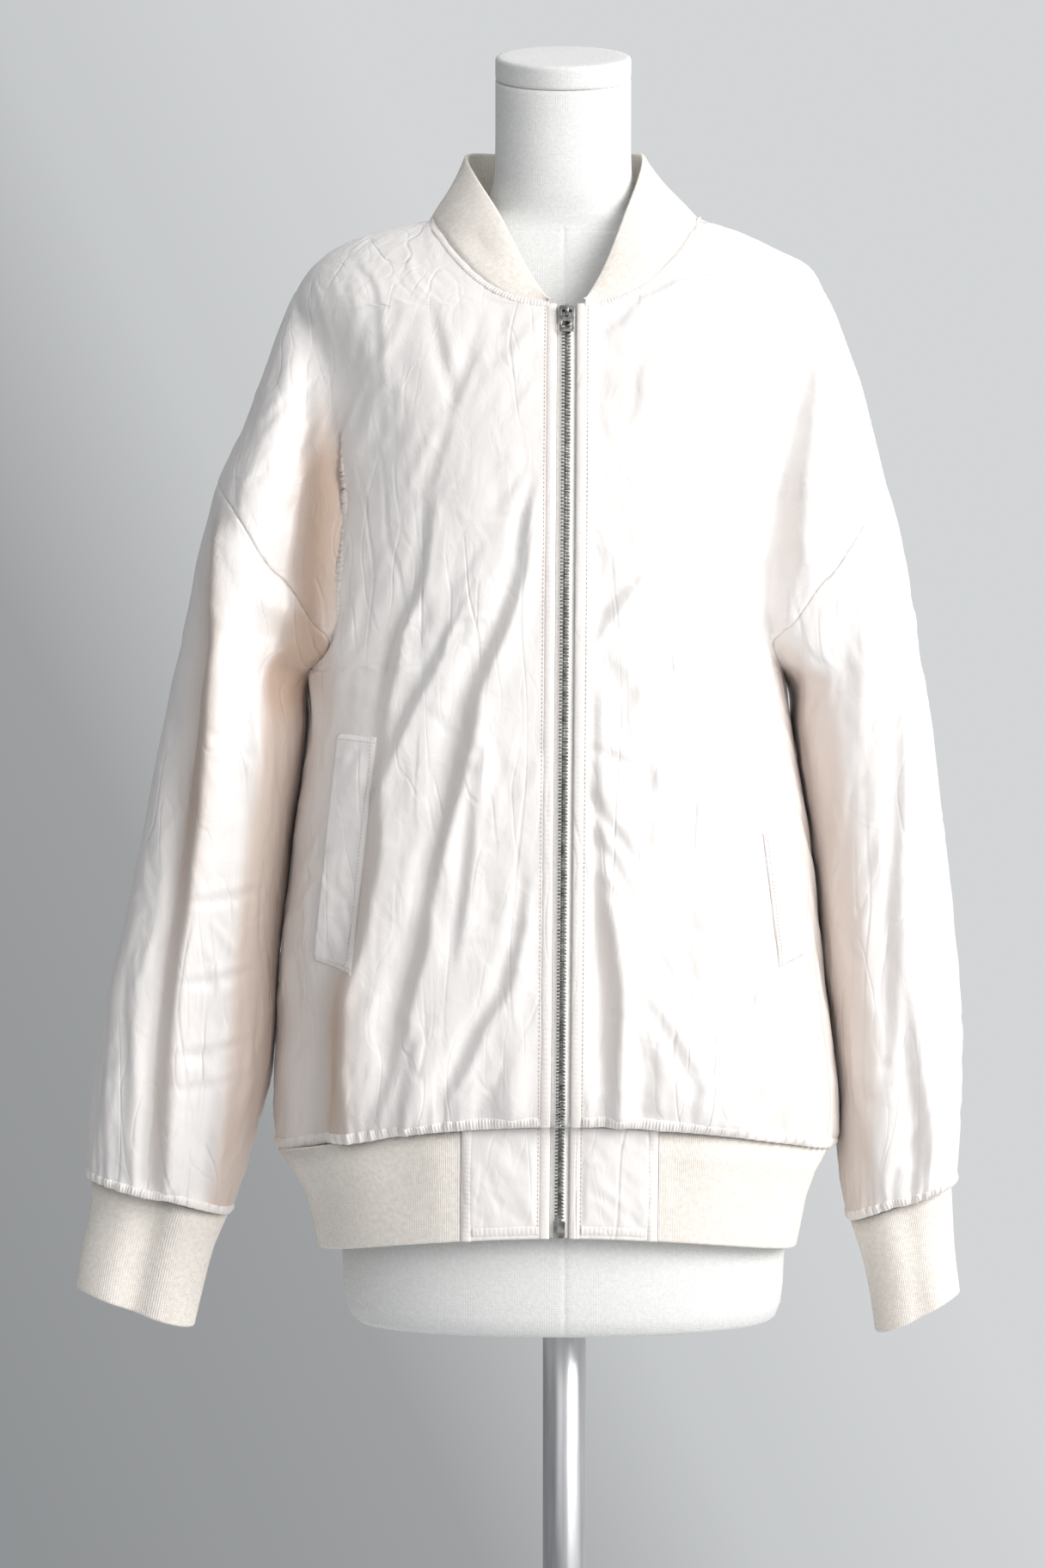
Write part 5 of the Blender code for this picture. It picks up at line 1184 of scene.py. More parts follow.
# ---------------------------------------------------------------- body panels and sleeves
PANEL_WALL = 1.6
EDGE_STRIP = 15.0
SEAM_DIP = 0.45
CLOTH_GAP = 0.06
SEAM_BLEND_ROWS = 14.0
TUBE_LENGTH = 480.0
ARM_TUCK = 4.5
TOWARDS_VIEWER = np.array([0.0, -1.0, 0.0])


def seam_window(row):
    """How much of a fold runs on across the armhole seam, by row above the underarm."""
    return ease(row / SEAM_BLEND_ROWS) * ease((ARMHOLE_ROWS - 1 - row) / SEAM_BLEND_ROWS)


def panel_ripples(across, along, phase):
    """Small puckers that run out from a body panel's seams."""
    away = across[:, -1:] - across
    row = np.arange(len(across))[:, None] - BODY_ROWS
    armhole = ease(row / SEAM_BLEND_ROWS) * ease((ARMHOLE_ROWS - row) / SEAM_BLEND_ROWS)
    side = 0.35 * seam_ripple(along, away, 15.0, 1.0, 12.0, phase)
    ripple = side + (seam_ripple(along, away, 9.5, 0.8, 13.0, phase) - side) * armhole
    gathers = seam_ripple(across, along, 9.0, 1.3, 18.0, phase + 1.0) * ease(along / 2.0)
    return ripple * ease(away / 5.0) + gathers


def neck_ripple(grid, across, along, phase):
    """Puckers below the neck seam of a front panel."""
    rising = ease((grid[:, :1, 2] - NECK_FRONT_Z) / 6.0)
    return rising * seam_ripple(along, across, 7.0, 0.4, 9.0, phase) * ease(across / 3.0)


def beside_arm(share, normals, outward, z):
    """Share of shade where the cloth faces its neighbour between the body and a sleeve."""
    return share * ease((outward * normals[..., 0] - 0.35) / 0.3) * ease((1120.0 - z) / 60.0)


def front_panel(side, folds, seed):
    """Outer points, normals and fold shade of a front panel."""
    shares = panel_shares(HALF_COLUMNS)
    grid = panel_grid(side, "front")
    normals = body_normals(grid)
    across, along = walk(grid, 1), walk(grid, 0)
    x, z = grid[..., 0], grid[..., 2]
    reach = abs(x - zip_x(z))
    inner = ease((1.0 - shares) / 0.12) + 0.0 * z
    window = seam_window(np.arange(len(grid)) - BODY_ROWS)[:, None]
    folded, shade = photo_relief(folds, grid)
    near_zip = ease((reach - EDGE_STRIP) / 10.0)
    folded = folded * near_zip * (inner + (1.0 - inner) * window)
    folded = folded + hem_puckers(x, z, "front") * near_zip * inner
    worn = creases(across, along, WORN_CREASES, seed, FRONT_CREASE_LEAN)
    worn = worn * ease((reach - 12.0) / 8.0) * ease((across[:, -1:] - across) / 8.0)
    worn = worn * (1.0 - 0.5 * ease((z - 1270.0) / 70.0))
    fine = panel_ripples(across, along, seed) + neck_ripple(grid, across, along, seed)
    fine = worn * ease(along / 7.0) + fine * ease((reach - EDGE_STRIP + 4.0) / 4.0)
    way = normals * inner[..., None] + TOWARDS_VIEWER * (1.0 - inner[..., None])
    shade = shade + beside_arm(0.12, normals, SIGN[side], z)
    grid = grid + way * folded[..., None] + normals * fine[..., None]
    normals = body_normals(grid)
    return grid[:, :-1], normals[:, :-1], shade[:, :-1]


def back_panel(seed):
    """Outer points, normals and fold shade of the back panel."""
    right = panel_grid("right", "back")[:, ::-1]
    left = panel_grid("left", "back")[:, 1:]
    grid = np.concatenate([right, left], axis=1)
    normals = body_normals(grid)
    across, along = walk(grid, 1), walk(grid, 0)
    x, z = grid[..., 0], grid[..., 2]
    half_shares = panel_shares(BACK_HALF_COLUMNS)
    shares = np.concatenate([half_shares[::-1], half_shares[1:]])
    folded, shade = hidden_relief(BACK_FOLDS, grid)
    folded = (folded + hem_puckers(x + 9.0, z, "back")) * ease((1.0 - shares) / 0.12)
    both = [(2 * kind[0], *kind[1:]) for kind in WORN_CREASES]
    edge = np.minimum(across, across[:, -1:] - across)
    worn = creases(across, along, both, seed, 0.0) * ease(edge / 8.0)
    half = across.shape[1] // 2
    fine = panel_ripples(across, along, seed)
    mirrored = panel_ripples(across[:, -1:] - across[:, ::-1], along[:, ::-1], seed + 2)
    middle = ease(shares / 0.2)
    fine[:, :half] = mirrored[:, ::-1][:, :half]
    below_neck = ease((along[-1] - along) / 9.0)
    lift = folded + (worn * ease(along / 7.0) + fine * (0.3 + 0.7 * middle)) * below_neck
    grid = grid + normals * lift[..., None]
    shade = shade + beside_arm(0.12, normals, np.sign(x), z)
    normals = body_normals(grid)
    return grid[:, 1:-1], normals[:, 1:-1], shade[:, 1:-1]


def front_seam_rows(around):
    """Row above the underarm where each sleeve column meets a front panel, 0 on the back."""
    column_numbers = np.arange(around)
    return np.where(column_numbers > around // 2, around - column_numbers, 0)


def sleeve_panel(side, seam_folds, front_folds, back_folds, seed):
    """Outer points, normals and fold shade of a sleeve; it meets the front's own folds at the seam."""
    grid = sleeve_grid(side)
    normals = tube_normals(grid)
    turns, _ = sleeve_columns(side)
    shares = np.linspace(0.0, 1.0, SLEEVE_ROWS + 1)
    across = np.array([even_turns(turns, v) for v in shares]) * TUBE_LENGTH / (2 * math.pi)
    along = walk(grid, 0)
    to_cuff = along[-1] - along
    window = seam_window(front_seam_rows(len(turns)))[None]
    free = ease(along / 30.0)
    front = ease((-normals[..., 1] - 0.1) / 0.5)
    back = ease((normals[..., 1] - 0.1) / 0.5)
    front_lift, front_shade = photo_relief(front_folds, grid)
    back_lift, back_shade = hidden_relief(back_folds, grid)
    seam_lift = photo_relief(seam_folds, grid)[0] * window
    own_lift = front_lift * front + back_lift * back
    folded = (seam_lift * (1.0 - free) + own_lift * free) * ease(to_cuff / 12.0)
    worn = creases(across, along, WORN_CREASES, seed, 0.0, TUBE_LENGTH)
    worn = worn * ease(along / 8.0) * ease(to_cuff / 7.0)
    top_walk = np.cumsum(np.linalg.norm(np.roll(grid[0], -1, axis=0) - grid[0], axis=1))
    ripple = seam_ripple(top_walk + 0.0 * along, along, 12.0, 0.4, 10.0, seed) * ease(along / 5.0)
    gathers = seam_ripple(across, to_cuff, 13.3, 1.5, 24.0, seed + 1.0) * ease(to_cuff / 2.0)
    way = normals * free[..., None] + TOWARDS_VIEWER * (1.0 - free[..., None])
    shade = front_shade * front + back_shade * back
    shade = shade + beside_arm(0.65 if side == "right" else 0.4, normals, -SIGN[side], grid[..., 2])
    tuck = ease((-SIGN[side] * normals[..., 0] - 0.1) / 0.6) * ease(along / 60.0) \
        * ease((grid[..., 2] - 720.0) / 60.0)
    grid = grid + way * folded[..., None] + normals * (worn + ripple + gathers)[..., None]
    grid[..., 0] -= SIGN[side] * ARM_TUCK * tuck
    return grid, tube_normals(grid), shade


def armhole_frame(body_normal, sleeve_normal, along, outward):
    """Shared normal of the two cloths at a point of the armhole seam, and the way to the sleeve.

    Where the cloths face each other across a tight crease, the normal looks out of the crease.
    """
    crease = np.cross((1.0, 0.0, 0.0), along)
    crease = crease / max(np.linalg.norm(crease), 1e-9)
    if crease[2] > 0:
        crease = -crease
    normal = body_normal + sleeve_normal + crease * (1.0 - np.dot(body_normal, sleeve_normal))
    normal = normal - along * np.dot(normal, along) / np.dot(along, along)
    normal = normal / np.linalg.norm(normal)
    over = np.cross(along, normal)
    over = over / np.linalg.norm(over)
    return normal, over if np.dot(over, outward) > 0 else -over


def join_armhole(front, back, back_column, sleeve):
    """Give both sides of an armhole seam the same normals and set them a seam gap apart."""
    body_normals = {"front": front[1].copy(), "back": back[1].copy()}
    sleeve_points, sleeve_normals = sleeve[0].copy(), sleeve[1].copy()
    around = sleeve_points.shape[1]
    inner = {"front": -2, "back": 1 if back_column == 0 else -2}
    for k in range(ARMHOLE_ROWS):
        row = BODY_ROWS + k
        for face, panel, edge, spot in (("front", front, -1, (around - k) % around),
                                        ("back", back, back_column, k)):
            along = sleeve_points[0, (spot + 1) % around] - sleeve_points[0, spot - 1]
            outward = sleeve_points[1, spot] - panel[0][row, inner[face]]
            normal, over = armhole_frame(body_normals[face][row, edge], sleeve_normals[0, spot],
                                         along, outward)
            dip = normal * SEAM_DIP
            panel[0][row, edge] -= over * CLOTH_GAP / 2 + dip
            panel[1][row, edge] = normal
            sleeve[0][0, spot] = sleeve_points[0, spot] + over * CLOTH_GAP / 2 - dip
            sleeve[1][0, spot] = normal


def clear_of_seam(grid, face):
    """Keep a panel clear of the plane of the side and shoulder seams."""
    grid = grid.copy()
    rows = np.ones(len(grid), bool)
    rows[BODY_ROWS + 1:BODY_ROWS + ARMHOLE_ROWS - 1] = False
    y = grid[rows, :, 1]
    limit = 0.6 * CLOTH_GAP
    grid[rows, :, 1] = np.minimum(y, -limit) if face == "front" else np.maximum(y, limit)
    return grid


# ---------------------------------------------------------------- strips, threads and tubes
HEM_RAIL_ROWS = 40


def resampled(rail, normals, step):
    """Distances, points and normals at even steps along a rail."""
    arc = arc_length(rail)
    even = np.linspace(0.0, arc[-1], max(int(arc[-1] / step), 2) + 1)
    points = picked(even, arc, rail)
    out = picked(even, arc, normals)
    return even, points, unit(out)


def sideways(points, out):
    """Unit directions across a rail, along the surface."""
    along = np.gradient(points, axis=0)
    return unit(np.cross(along, out))


def ring_quads(rings, around, start=0):
    """Quads of a tube of rings with both ends closed; the ring has an even count of points."""
    quads = []
    index = start + np.arange(rings * around).reshape(rings, around)
    nxt = np.roll(index, -1, axis=1)
    quads.append(np.stack([index[:-1], nxt[:-1], nxt[1:], index[1:]], axis=-1).reshape(-1, 4))
    for ring, order in ((index[0], -1), (index[-1], 1)):
        caps = [(ring[i], ring[i + 1], ring[around - 2 - i], ring[around - 1 - i])
                for i in range(around // 2 - 1)]
        quads.append(np.array(caps)[:, ::order])
    return np.concatenate(quads)


def tube_of(name, rings, material):
    rings = np.asarray(rings)
    return add_mesh(name, rings.reshape(-1, 3), ring_quads(*rings.shape[:2]), material)


def strip_rings(rail, normals, half, rise, pitch, depth, phase, step):
    """Rings of a raised padded strip with uneven cross ticks, laid along a rail."""
    even, points, out = resampled(rail, normals, step)
    side = sideways(points, out)
    wander = 0.9 * np.sin(even / 17.0 + phase) + 0.5 * np.sin(even / 6.3 + 2 * phase)
    strength = 0.7 + 0.3 * np.sin(even / 29.0 + phase)
    level = rise + depth * strength * np.sin(2 * math.pi * even / pitch + wander)
    rings = [points - side * 0.9 * half - out * 0.9]
    for share in (-1.0, -0.85, -0.5, 0.0, 0.5, 0.85, 1.0):
        crown = (1.0 - abs(share) ** 2.4) ** 0.7
        rings.append(points + side * share * half + out * (level * crown - 0.15)[:, None])
    rings.append(points + side * 0.9 * half - out * 0.9)
    rings.append(points - out * 1.0)
    return np.stack(rings, axis=1)


def stitch_mesh(name, rails, material, pitch=3.1, length=2.3, radius=0.36):
    """Row of sewing stitches along rails given as (points, normals)."""
    all_rings = []
    for rail, normals in rails:
        arc, points, out = resampled(rail, normals, 0.5)
        side = sideways(points, out)
        for start in np.arange(1.0, arc[-1] - length, pitch):
            at = start + length * np.array([0.0, 0.22, 0.5, 0.78, 1.0])
            middle, up, over = (picked(at, arc, field) for field in (points, out, side))
            middle = middle + up * (np.array([-0.3, 0.12, 0.2, 0.12, -0.3]))[:, None]
            girth = radius * np.array([0.45, 1.0, 1.05, 1.0, 0.45])
            turn = 2 * math.pi * np.arange(6) / 6
            all_rings.append(middle[:, None] + girth[:, None, None] * (
                over[:, None] * np.cos(turn)[None, :, None] + up[:, None] * np.sin(turn)[None, :, None]))
    rings = np.array(all_rings)
    count, long, around = rings.shape[:3]
    one = ring_quads(long, around)
    quads = (one[None] + (np.arange(count) * long * around)[:, None, None]).reshape(-1, 4)
    return add_mesh(name, rings.reshape(-1, 3), quads, material)


def inset_rail(grid, normals, rows, distance, last=False):
    """Rail on a panel at a distance from its first (or last) column, over chosen rows."""
    steps, columns = walk(grid, 1), np.arange(grid.shape[1])
    if last:
        steps, columns = (steps[:, -1:] - steps)[:, ::-1], columns[::-1]
    return rail_at(grid, normals, [(i, np.interp(distance, steps[i], columns)) for i in rows])


def hem_rail(grid, normals, distance, first=0):
    """Rail on a panel at a distance above its hem seam, from a column on."""
    steps = walk(grid, 0)[:HEM_RAIL_ROWS]
    return rail_at(grid, normals, [(np.interp(distance, steps[:, j], np.arange(HEM_RAIL_ROWS)), j)
                                   for j in range(first, grid.shape[1])])


# ---------------------------------------------------------------- rib knit
RIB_PITCH = 1.5
RIB_HEIGHT = 0.5


def knit_band(name, node, middle, normals, closed=False):
    """Rib-knit band from a grid of its middle surface; four columns make one rib.

    Its last row is its folded edge, which is rounded, and the ribs run from row to row.
    """
    rows, cols = middle.shape[:2]
    down = walk(middle, 0).mean(axis=1)
    to_edge = down[-1] - down
    edge = np.sqrt(np.clip(1.0 - (1.0 - np.clip(to_edge / 1.8, 0.0, 1.0)) ** 2, 0.02, 1.0))
    ribs = RIB_HEIGHT * np.cos(2 * math.pi * np.arange(cols) / 4.0)
    ribs = ribs * (0.85 + 0.15 * np.sin(np.arange(cols) / 37.0))
    half = (0.5 * RIB_WALL * edge)[:, None] + ribs[None] * edge[:, None] * 0.5
    outer = middle + normals * half[..., None]
    inner = middle - normals * half[..., None]
    points = np.concatenate([outer.reshape(-1, 3), inner.reshape(-1, 3)])
    piece = add_mesh(name, points, wall_quads(rows, cols, closed)[0], KNIT)
    return dress(piece, node)


def rib_columns(length):
    """Count of columns for whole ribs over a length."""
    return 4 * max(int(round(length / RIB_PITCH)), 1)


EDGE_STEPS = (0.5, 1.2, 2.0)


def band_shares(rows, length):
    """Even shares over a band with extra rows at its folded edge."""
    even = np.linspace(0.0, 1.0, rows + 1)[:-1]
    even = even[even < 1.0 - 3.0 / length]
    return np.concatenate([even, 1.0 - np.array(EDGE_STEPS[::-1] + (0.0,)) / length])


# ---------------------------------------------------------------- cuffs
CUFF_COLUMNS = ("drop", "outer_right", "inner_right", "outer_left", "inner_left", "depth")
CUFF = (
    (0, 344.0, 243.0, 290.0, 216.0, 39),
    (24, 344.5, 253.5, 291.5, 224.0, 31),
    (50, 350.0, 260.5, 293.0, 230.0, 28),
    (84, 355.5, 268.5, 297.0, 235.0, 27),
)
CUFF_DROP = 84.0
CUFF_LENGTH = 236.0
CUFF_ROWS = 7


def cuff_value(name, drop):
    return table_value(CUFF_COLUMNS, CUFF, name, drop)


def cuff_grid(side):
    """Middle surface of a rib cuff, a flattened tube that leans outwards."""
    turns = np.linspace(-math.pi, math.pi, rib_columns(CUFF_LENGTH) + 1)[:-1]
    seam_z, seam_tilt = CUFF_SEAM[side]
    rows = []
    for drop in band_shares(CUFF_ROWS, CUFF_DROP) * CUFF_DROP:
        outer = cuff_value("outer_" + side, drop) - 0.5 * RIB_WALL
        inner = cuff_value("inner_" + side, drop) + 0.5 * RIB_WALL
        fold = 9.0 * np.exp(-(np.cos(turns) / 0.3) ** 2) * (1.0 if side == "right" else 0.35)
        sag = 0.8 * np.sin(3.0 * turns + drop / 16.0) * ease(drop / 30.0)
        depth = cuff_value("depth", drop) - 0.5 * RIB_WALL - fold + sag
        reach = 0.5 * (outer + inner) + 0.5 * (outer - inner) * np.cos(turns)
        wave = 1.1 * np.sin(2.0 * turns + 0.6) * ease(drop / CUFF_DROP)
        z = seam_z + seam_tilt * np.cos(turns) - SEAM_GAP - drop + wave
        rows.append(placed(side, np.stack([reach, -depth * np.sin(turns)], axis=-1), z))
    return np.array(rows)


def add_cuff(side):
    grid = cuff_grid(side)
    normals = tube_normals(grid)
    return knit_band("cuff_knit_" + side, "cuff_" + side, grid, normals, closed=True)


# ---------------------------------------------------------------- hem
RIB_COLUMNS = ("share", "right", "left", "front", "back")
RIB = (
    (0.0, 206.0, 200.0, 129.0, 102.5),
    (0.25, 194.0, 189.0, 126.0, 101.0),
    (0.5, 184.5, 182.5, 124.0, 100.0),
    (0.75, 179.5, 179.0, 123.0, 99.0),
    (1.0, 176.0, 175.0, 122.0, 98.0),
)
BAND_REACH = 70.0
RIB_LOW_FRONT_Z = 664.0
RIB_LOW_SIDE_Z = 646.0
RIB_LOW_BACK_Z = 656.0
HEM_LENGTH = 78.0
HEM_RIB_ROWS = 4
RIB_REACH = 180.0


def rib_value(name, share):
    return table_value(RIB_COLUMNS, RIB, name, share)


def rib_low_height(reach, face):
    middle = RIB_LOW_FRONT_Z if face == "front" else RIB_LOW_BACK_Z
    return RIB_LOW_SIDE_Z + (middle - RIB_LOW_SIDE_Z) * (1.0 - np.clip(reach / RIB_REACH, 0.0, 1.0) ** 2)


def hem_point(side, face, share, angle):
    """Point of the hem band: share 0 at the gathered seam, 1 at the lower edge."""
    power = 2.0 / roundness(face)
    reach = rib_value(side, share) * np.sin(angle) ** power
    y = facing(face) * rib_value(face, share) * np.clip(np.cos(angle), 0.0, 1.0) ** power
    top = hem_height(reach, face) - SEAM_GAP
    z = top + (rib_low_height(reach, face) - top) * share
    return placed(side, np.stack(np.broadcast_arrays(reach, y), axis=-1), z)


def hem_row(share, first_reach):
    """One level of the hem from the right front band round the back to the left one."""
    angles = np.linspace(0.0, math.pi / 2, 900)
    loops = []
    for side, face, back_to_front in (("right", "front", False), ("right", "back", True),
                                      ("left", "back", False), ("left", "front", True)):
        points = hem_point(side, face, share, angles)
        loops.append(points[::-1] if back_to_front else points)
    loop = np.concatenate(loops)
    reach = abs(loop[:, 0] - zip_x(loop[:, 2]))
    keep = (loop[:, 1] > -40.0) | (reach > first_reach)
    return loop[keep]


def hem_rib_grid():
    """Middle surface of the hem rib."""
    shares = band_shares(HEM_RIB_ROWS, HEM_LENGTH)
    rows = [hem_row(share, BAND_REACH) for share in shares]
    count = rib_columns(arc_length(rows[0])[-1]) + 1
    grid = []
    for row in rows:
        arc = arc_length(row)
        grid.append(picked(np.linspace(0.0, arc[-1], count), arc, row))
    grid = np.array(grid)
    normals = body_normals(grid)
    around = np.linspace(0.0, 1.0, grid.shape[1])[None]
    shares = shares[:, None]
    wave = (1.4 * np.sin(around * 61.0 + 1.0) + 1.0 * np.sin(around * 93.0)) * (1.0 - shares) ** 1.5
    wave = wave + 0.9 * np.sin(around * 37.0 + 2.0) * shares
    ends = ease(around / 0.02) * ease((1.0 - around) / 0.02)
    grid = grid + normals * (wave * ends * ease(shares / 0.1) - 0.5 * RIB_WALL)[..., None]
    return grid, normals


BAND_SIZE = (54, 46)


def band_grid(side):
    """Outer surface of a satin front band of the hem, from the zip edge to the rib."""
    angles = np.linspace(0.0, math.pi / 2, 2400)
    grid = []
    rows, cols = BAND_SIZE
    for share in np.linspace(0.0, 1.0, rows):
        points = hem_point(side, "front", share, angles)
        reach = abs(points[:, 0] - zip_x(points[:, 2]))
        wanted = np.linspace(FRONT_EDGE, BAND_REACH - SEAM_GAP, cols)
        grid.append(picked(wanted, reach, points))
    return np.array(grid)


BAND_TILT = 42.0
BAND_CREASES = ((26, 18, 55, 5, 11, 0.11, 14), (34, 10, 30, 2.5, 6, 0.10, 25))


def band_panel(side, seed):
    """Outer points and normals of a hem front band, with slanting creases."""
    grid = band_grid(side)
    normals = body_normals(grid)
    across, down = walk(grid, 1), walk(grid, 0)
    worn = creases(across, down, BAND_CREASES, seed, SIGN[side] * BAND_TILT)
    inside = ease((across - 8.0) / 5.0) * ease((across[:, -1:] - across - 3.0) / 6.0)
    inside = inside * ease((down - 2.0) / 5.0) * ease((down[-1] - down - 6.0) / 5.0)
    swell = 1.6 * np.sin(math.pi * np.clip(down / down[-1], 0.0, 1.0))
    grid = grid + normals * ((worn + swell) * inside)[..., None]
    return grid, body_normals(grid), np.zeros(grid.shape[:2])


# ---------------------------------------------------------------- collar
# Top edge of the collar by share of the neck seam, from beside the zip to the centre back.
COLLAR_COLUMNS = ("share", "top_right", "top_left", "top_y", "top_z")
COLLAR = (
    (0.0, 13.5, 13.5, -107.0, 1329.5),
    (0.18, 29.0, 27.0, -86.0, 1357.0),
    (0.38, 49.0, 43.0, -53.0, 1400.0),
    (0.52, 65.0, 53.5, -22.0, 1429.0),
    (0.68, 74.0, 58.5, 12.0, 1451.0),
    (0.84, 54.0, 47.0, 51.0, 1459.0),
    (1.0, 0.0, 0.0, 66.0, 1460.0),
)
COLLAR_BULGE = 3.0
COLLAR_LIFT = -1.2
COLLAR_START = 13.0
COLLAR_HEIGHT = 70.0
COLLAR_ROWS = 6
COLLAR_DENT = (0.30, 0.45, 0.07, 0.22, 3.2)


def collar_value(name, share):
    return table_value(COLLAR_COLUMNS, COLLAR, name, share)


def neck_rail(side, front, back):
    """Neck seam of one side, from beside the zip to the centre back."""
    rising = front[front[:, 0, 2] > NECK_FRONT_Z, 0]
    reach = abs(rising[:, 0] - zip_x(rising[:, 2]))
    first = np.array([np.interp(COLLAR_START, reach, rising[:, k]) for k in range(3)])
    middle = back.shape[1] // 2
    behind = back[-1, 1:middle + 1] if side == "right" else back[-1, middle:-1][::-1]
    return np.concatenate([[first], rising[reach > COLLAR_START + 0.5], behind])


def collar_side(side, rail, columns, steps):
    """Rows of collar points over one side of the neck seam."""
    arc = arc_length(rail)
    even = np.linspace(0.0, arc[-1], columns)
    rail = picked(even, arc, rail)
    shares = even / even[-1]
    top = np.stack([SIGN[side] * collar_value("top_" + side, shares) + zip_x(NECK_FRONT_Z),
                    collar_value("top_y", shares), collar_value("top_z", shares)], axis=-1)
    rise = top - rail
    start = rail + unit(rise) * COLLAR_LIFT
    outward = unit(rail * np.array([1.0, 1.0, 0.0]))
    rows = []
    for v in steps:
        bulge = COLLAR_BULGE * 4 * v * (1 - v) * np.clip(shares / 0.3, 0.0, 1.0)
        if side == "right":
            at, up, wide, high, deep = COLLAR_DENT
            bulge = bulge - deep * math.exp(-((v - up) / high) ** 2) \
                * np.exp(-((shares - at) / wide) ** 2)
        rows.append(start + (top - start) * v + outward * bulge[:, None])
    return np.array(rows)


def add_collar(fronts, back):
    steps = band_shares(COLLAR_ROWS, COLLAR_HEIGHT)
    rails = {side: neck_rail(side, fronts[side][0], back[0]) for side in SIGN}
    halves = {}
    for side, rail in rails.items():
        length = np.linalg.norm(np.diff(rail, axis=0), axis=1).sum()
        halves[side] = collar_side(side, rail, rib_columns(length) + 1, steps)
    grid = np.concatenate([halves["right"], halves["left"][:, ::-1][:, 1:]], axis=1)
    normals = body_normals(grid)
    return knit_band("collar_knit", "collar", grid - normals * 0.5 * RIB_WALL, normals)


# ---------------------------------------------------------------- zip
TAPE_OUT = 12.5
SLIDER_TOP_Z = 1324.0
SLIDER_HEIGHT = 11.0
TEETH_PITCH = 2.5
PULL_AXIS_DEPTH = -4.3
PULL_AXIS_Z = -3.1
PULL_LEAN = 5.0
PULL_THICK = 1.2


def zip_line(z):
    """Centre point of the zip's face at a height."""
    if z > HEM_FRONT_Z:
        depth = float(body_value("front", z))
    else:
        share = (HEM_FRONT_Z - z) / (HEM_FRONT_Z - RIB_LOW_FRONT_Z)
        depth = float(rib_value("front", share))
    return np.array([float(zip_x(z)), -depth, z])


def zip_frame(z):
    """Origin and axes on the zip's face: to the wearer's left, back into the jacket, up the zip."""
    origin = zip_line(z)
    up = origin - zip_line(z - 14.0)
    up = up / np.linalg.norm(up)
    over = np.array([1.0, 0.0, 0.0]) - up * up[0]
    over = over / np.linalg.norm(over)
    return origin, over, np.cross(up, over), up


def framed(place, x, depth, z):
    """Point at (x, depth behind the face, z) of a frame on the zip."""
    origin, over, behind, up = place
    return origin + over * x + behind * depth + up * z


def leaned(place, origin, degrees):
    """Frame with a new origin, its low end swung back towards the zip."""
    _, over, behind, up = place
    lean = math.radians(degrees)
    return (origin, over, behind * math.cos(lean) + up * math.sin(lean),
            up * math.cos(lean) - behind * math.sin(lean))


TAPE_SECTION = ((1.0, 0.5), (2.2, 0.15), (3.4, 0.45), (4.6, 1.5), (6.2, 2.4), (TAPE_OUT, 2.5),
                (TAPE_OUT, 3.1), (6.0, 3.1), (4.0, 2.2), (1.0, 1.4))


def add_tape(side):
    """Woven zip tape with the corded edge that carries the teeth."""
    heights = np.arange(RIB_LOW_FRONT_Z + 0.6, NECK_FRONT_Z + 1.0, 3.0)
    rings = []
    for z in heights:
        place = zip_frame(z)
        rings.append([framed(place, SIGN[side] * x, depth, 0.0) for x, depth in TAPE_SECTION])
    piece = tube_of("zip_tape_cloth_" + side, rings, TAPE)
    return dress(piece, "zip_tape_" + side)


TOOTH_OUTLINE = ((-0.9, -0.30), (-0.35, -0.58), (0.9, -0.52), (1.5, -0.72), (3.1, -0.72),
                 (3.3, -0.4), (3.3, 0.4), (3.1, 0.72), (1.5, 0.72), (0.9, 0.52), (-0.35, 0.58),
                 (-0.9, 0.30))
TOOTH_LAYERS = ((-0.75, 0.72), (-0.35, 1.0), (1.4, 1.0))


def add_teeth():
    """Two interlocking rows of metal teeth."""
    low, high = RIB_LOW_FRONT_Z + 14.0, SLIDER_TOP_Z - SLIDER_HEIGHT + 2.0
    rings, outline = [], np.array(TOOTH_OUTLINE)
    for side, start in (("right", 0.0), ("left", 0.5 * TEETH_PITCH)):
        for z in np.arange(low + start, high, TEETH_PITCH):
            place = zip_frame(z)
            tooth = []
            for depth, scale in TOOTH_LAYERS:
                tooth.append([framed(place, SIGN[side] * (1.2 + (x - 1.2) * scale), depth, h * scale)
                              for x, h in outline])
            rings.append(tooth)
    rings = np.array(rings)
    one = ring_quads(3, len(outline))
    flip = one[:, ::-1]
    count = len(rings) // 2
    sized = 3 * len(outline)
    first = (one[None] + (np.arange(count) * sized)[:, None, None]).reshape(-1, 4)
    rest = np.arange(count, len(rings)) * sized
    second = (flip[None] + rest[:, None, None]).reshape(-1, 4)
    piece = add_mesh("zip_teeth", rings.reshape(-1, 3), np.concatenate([first, second]), NICKEL,
                     smooth=0)
    return dress(piece, "zip_chain")


CORNER_STEPS = 5


def rounded_loop(points, radius):
    """Closed outline with each corner rounded."""
    points = np.array(points, float)
    loop = []
    for before, corner, after in zip(np.roll(points, 1, axis=0), points, np.roll(points, -1, axis=0)):
        inward = before - corner
        onward = after - corner
        cut = min(radius, 0.45 * np.linalg.norm(inward), 0.45 * np.linalg.norm(onward))
        start = corner + inward / np.linalg.norm(inward) * cut
        end = corner + onward / np.linalg.norm(onward) * cut
        for t in np.linspace(0.0, 1.0, CORNER_STEPS):
            loop.append((1 - t) ** 2 * start + 2 * t * (1 - t) * corner + t * t * end)
    return np.array(loop)


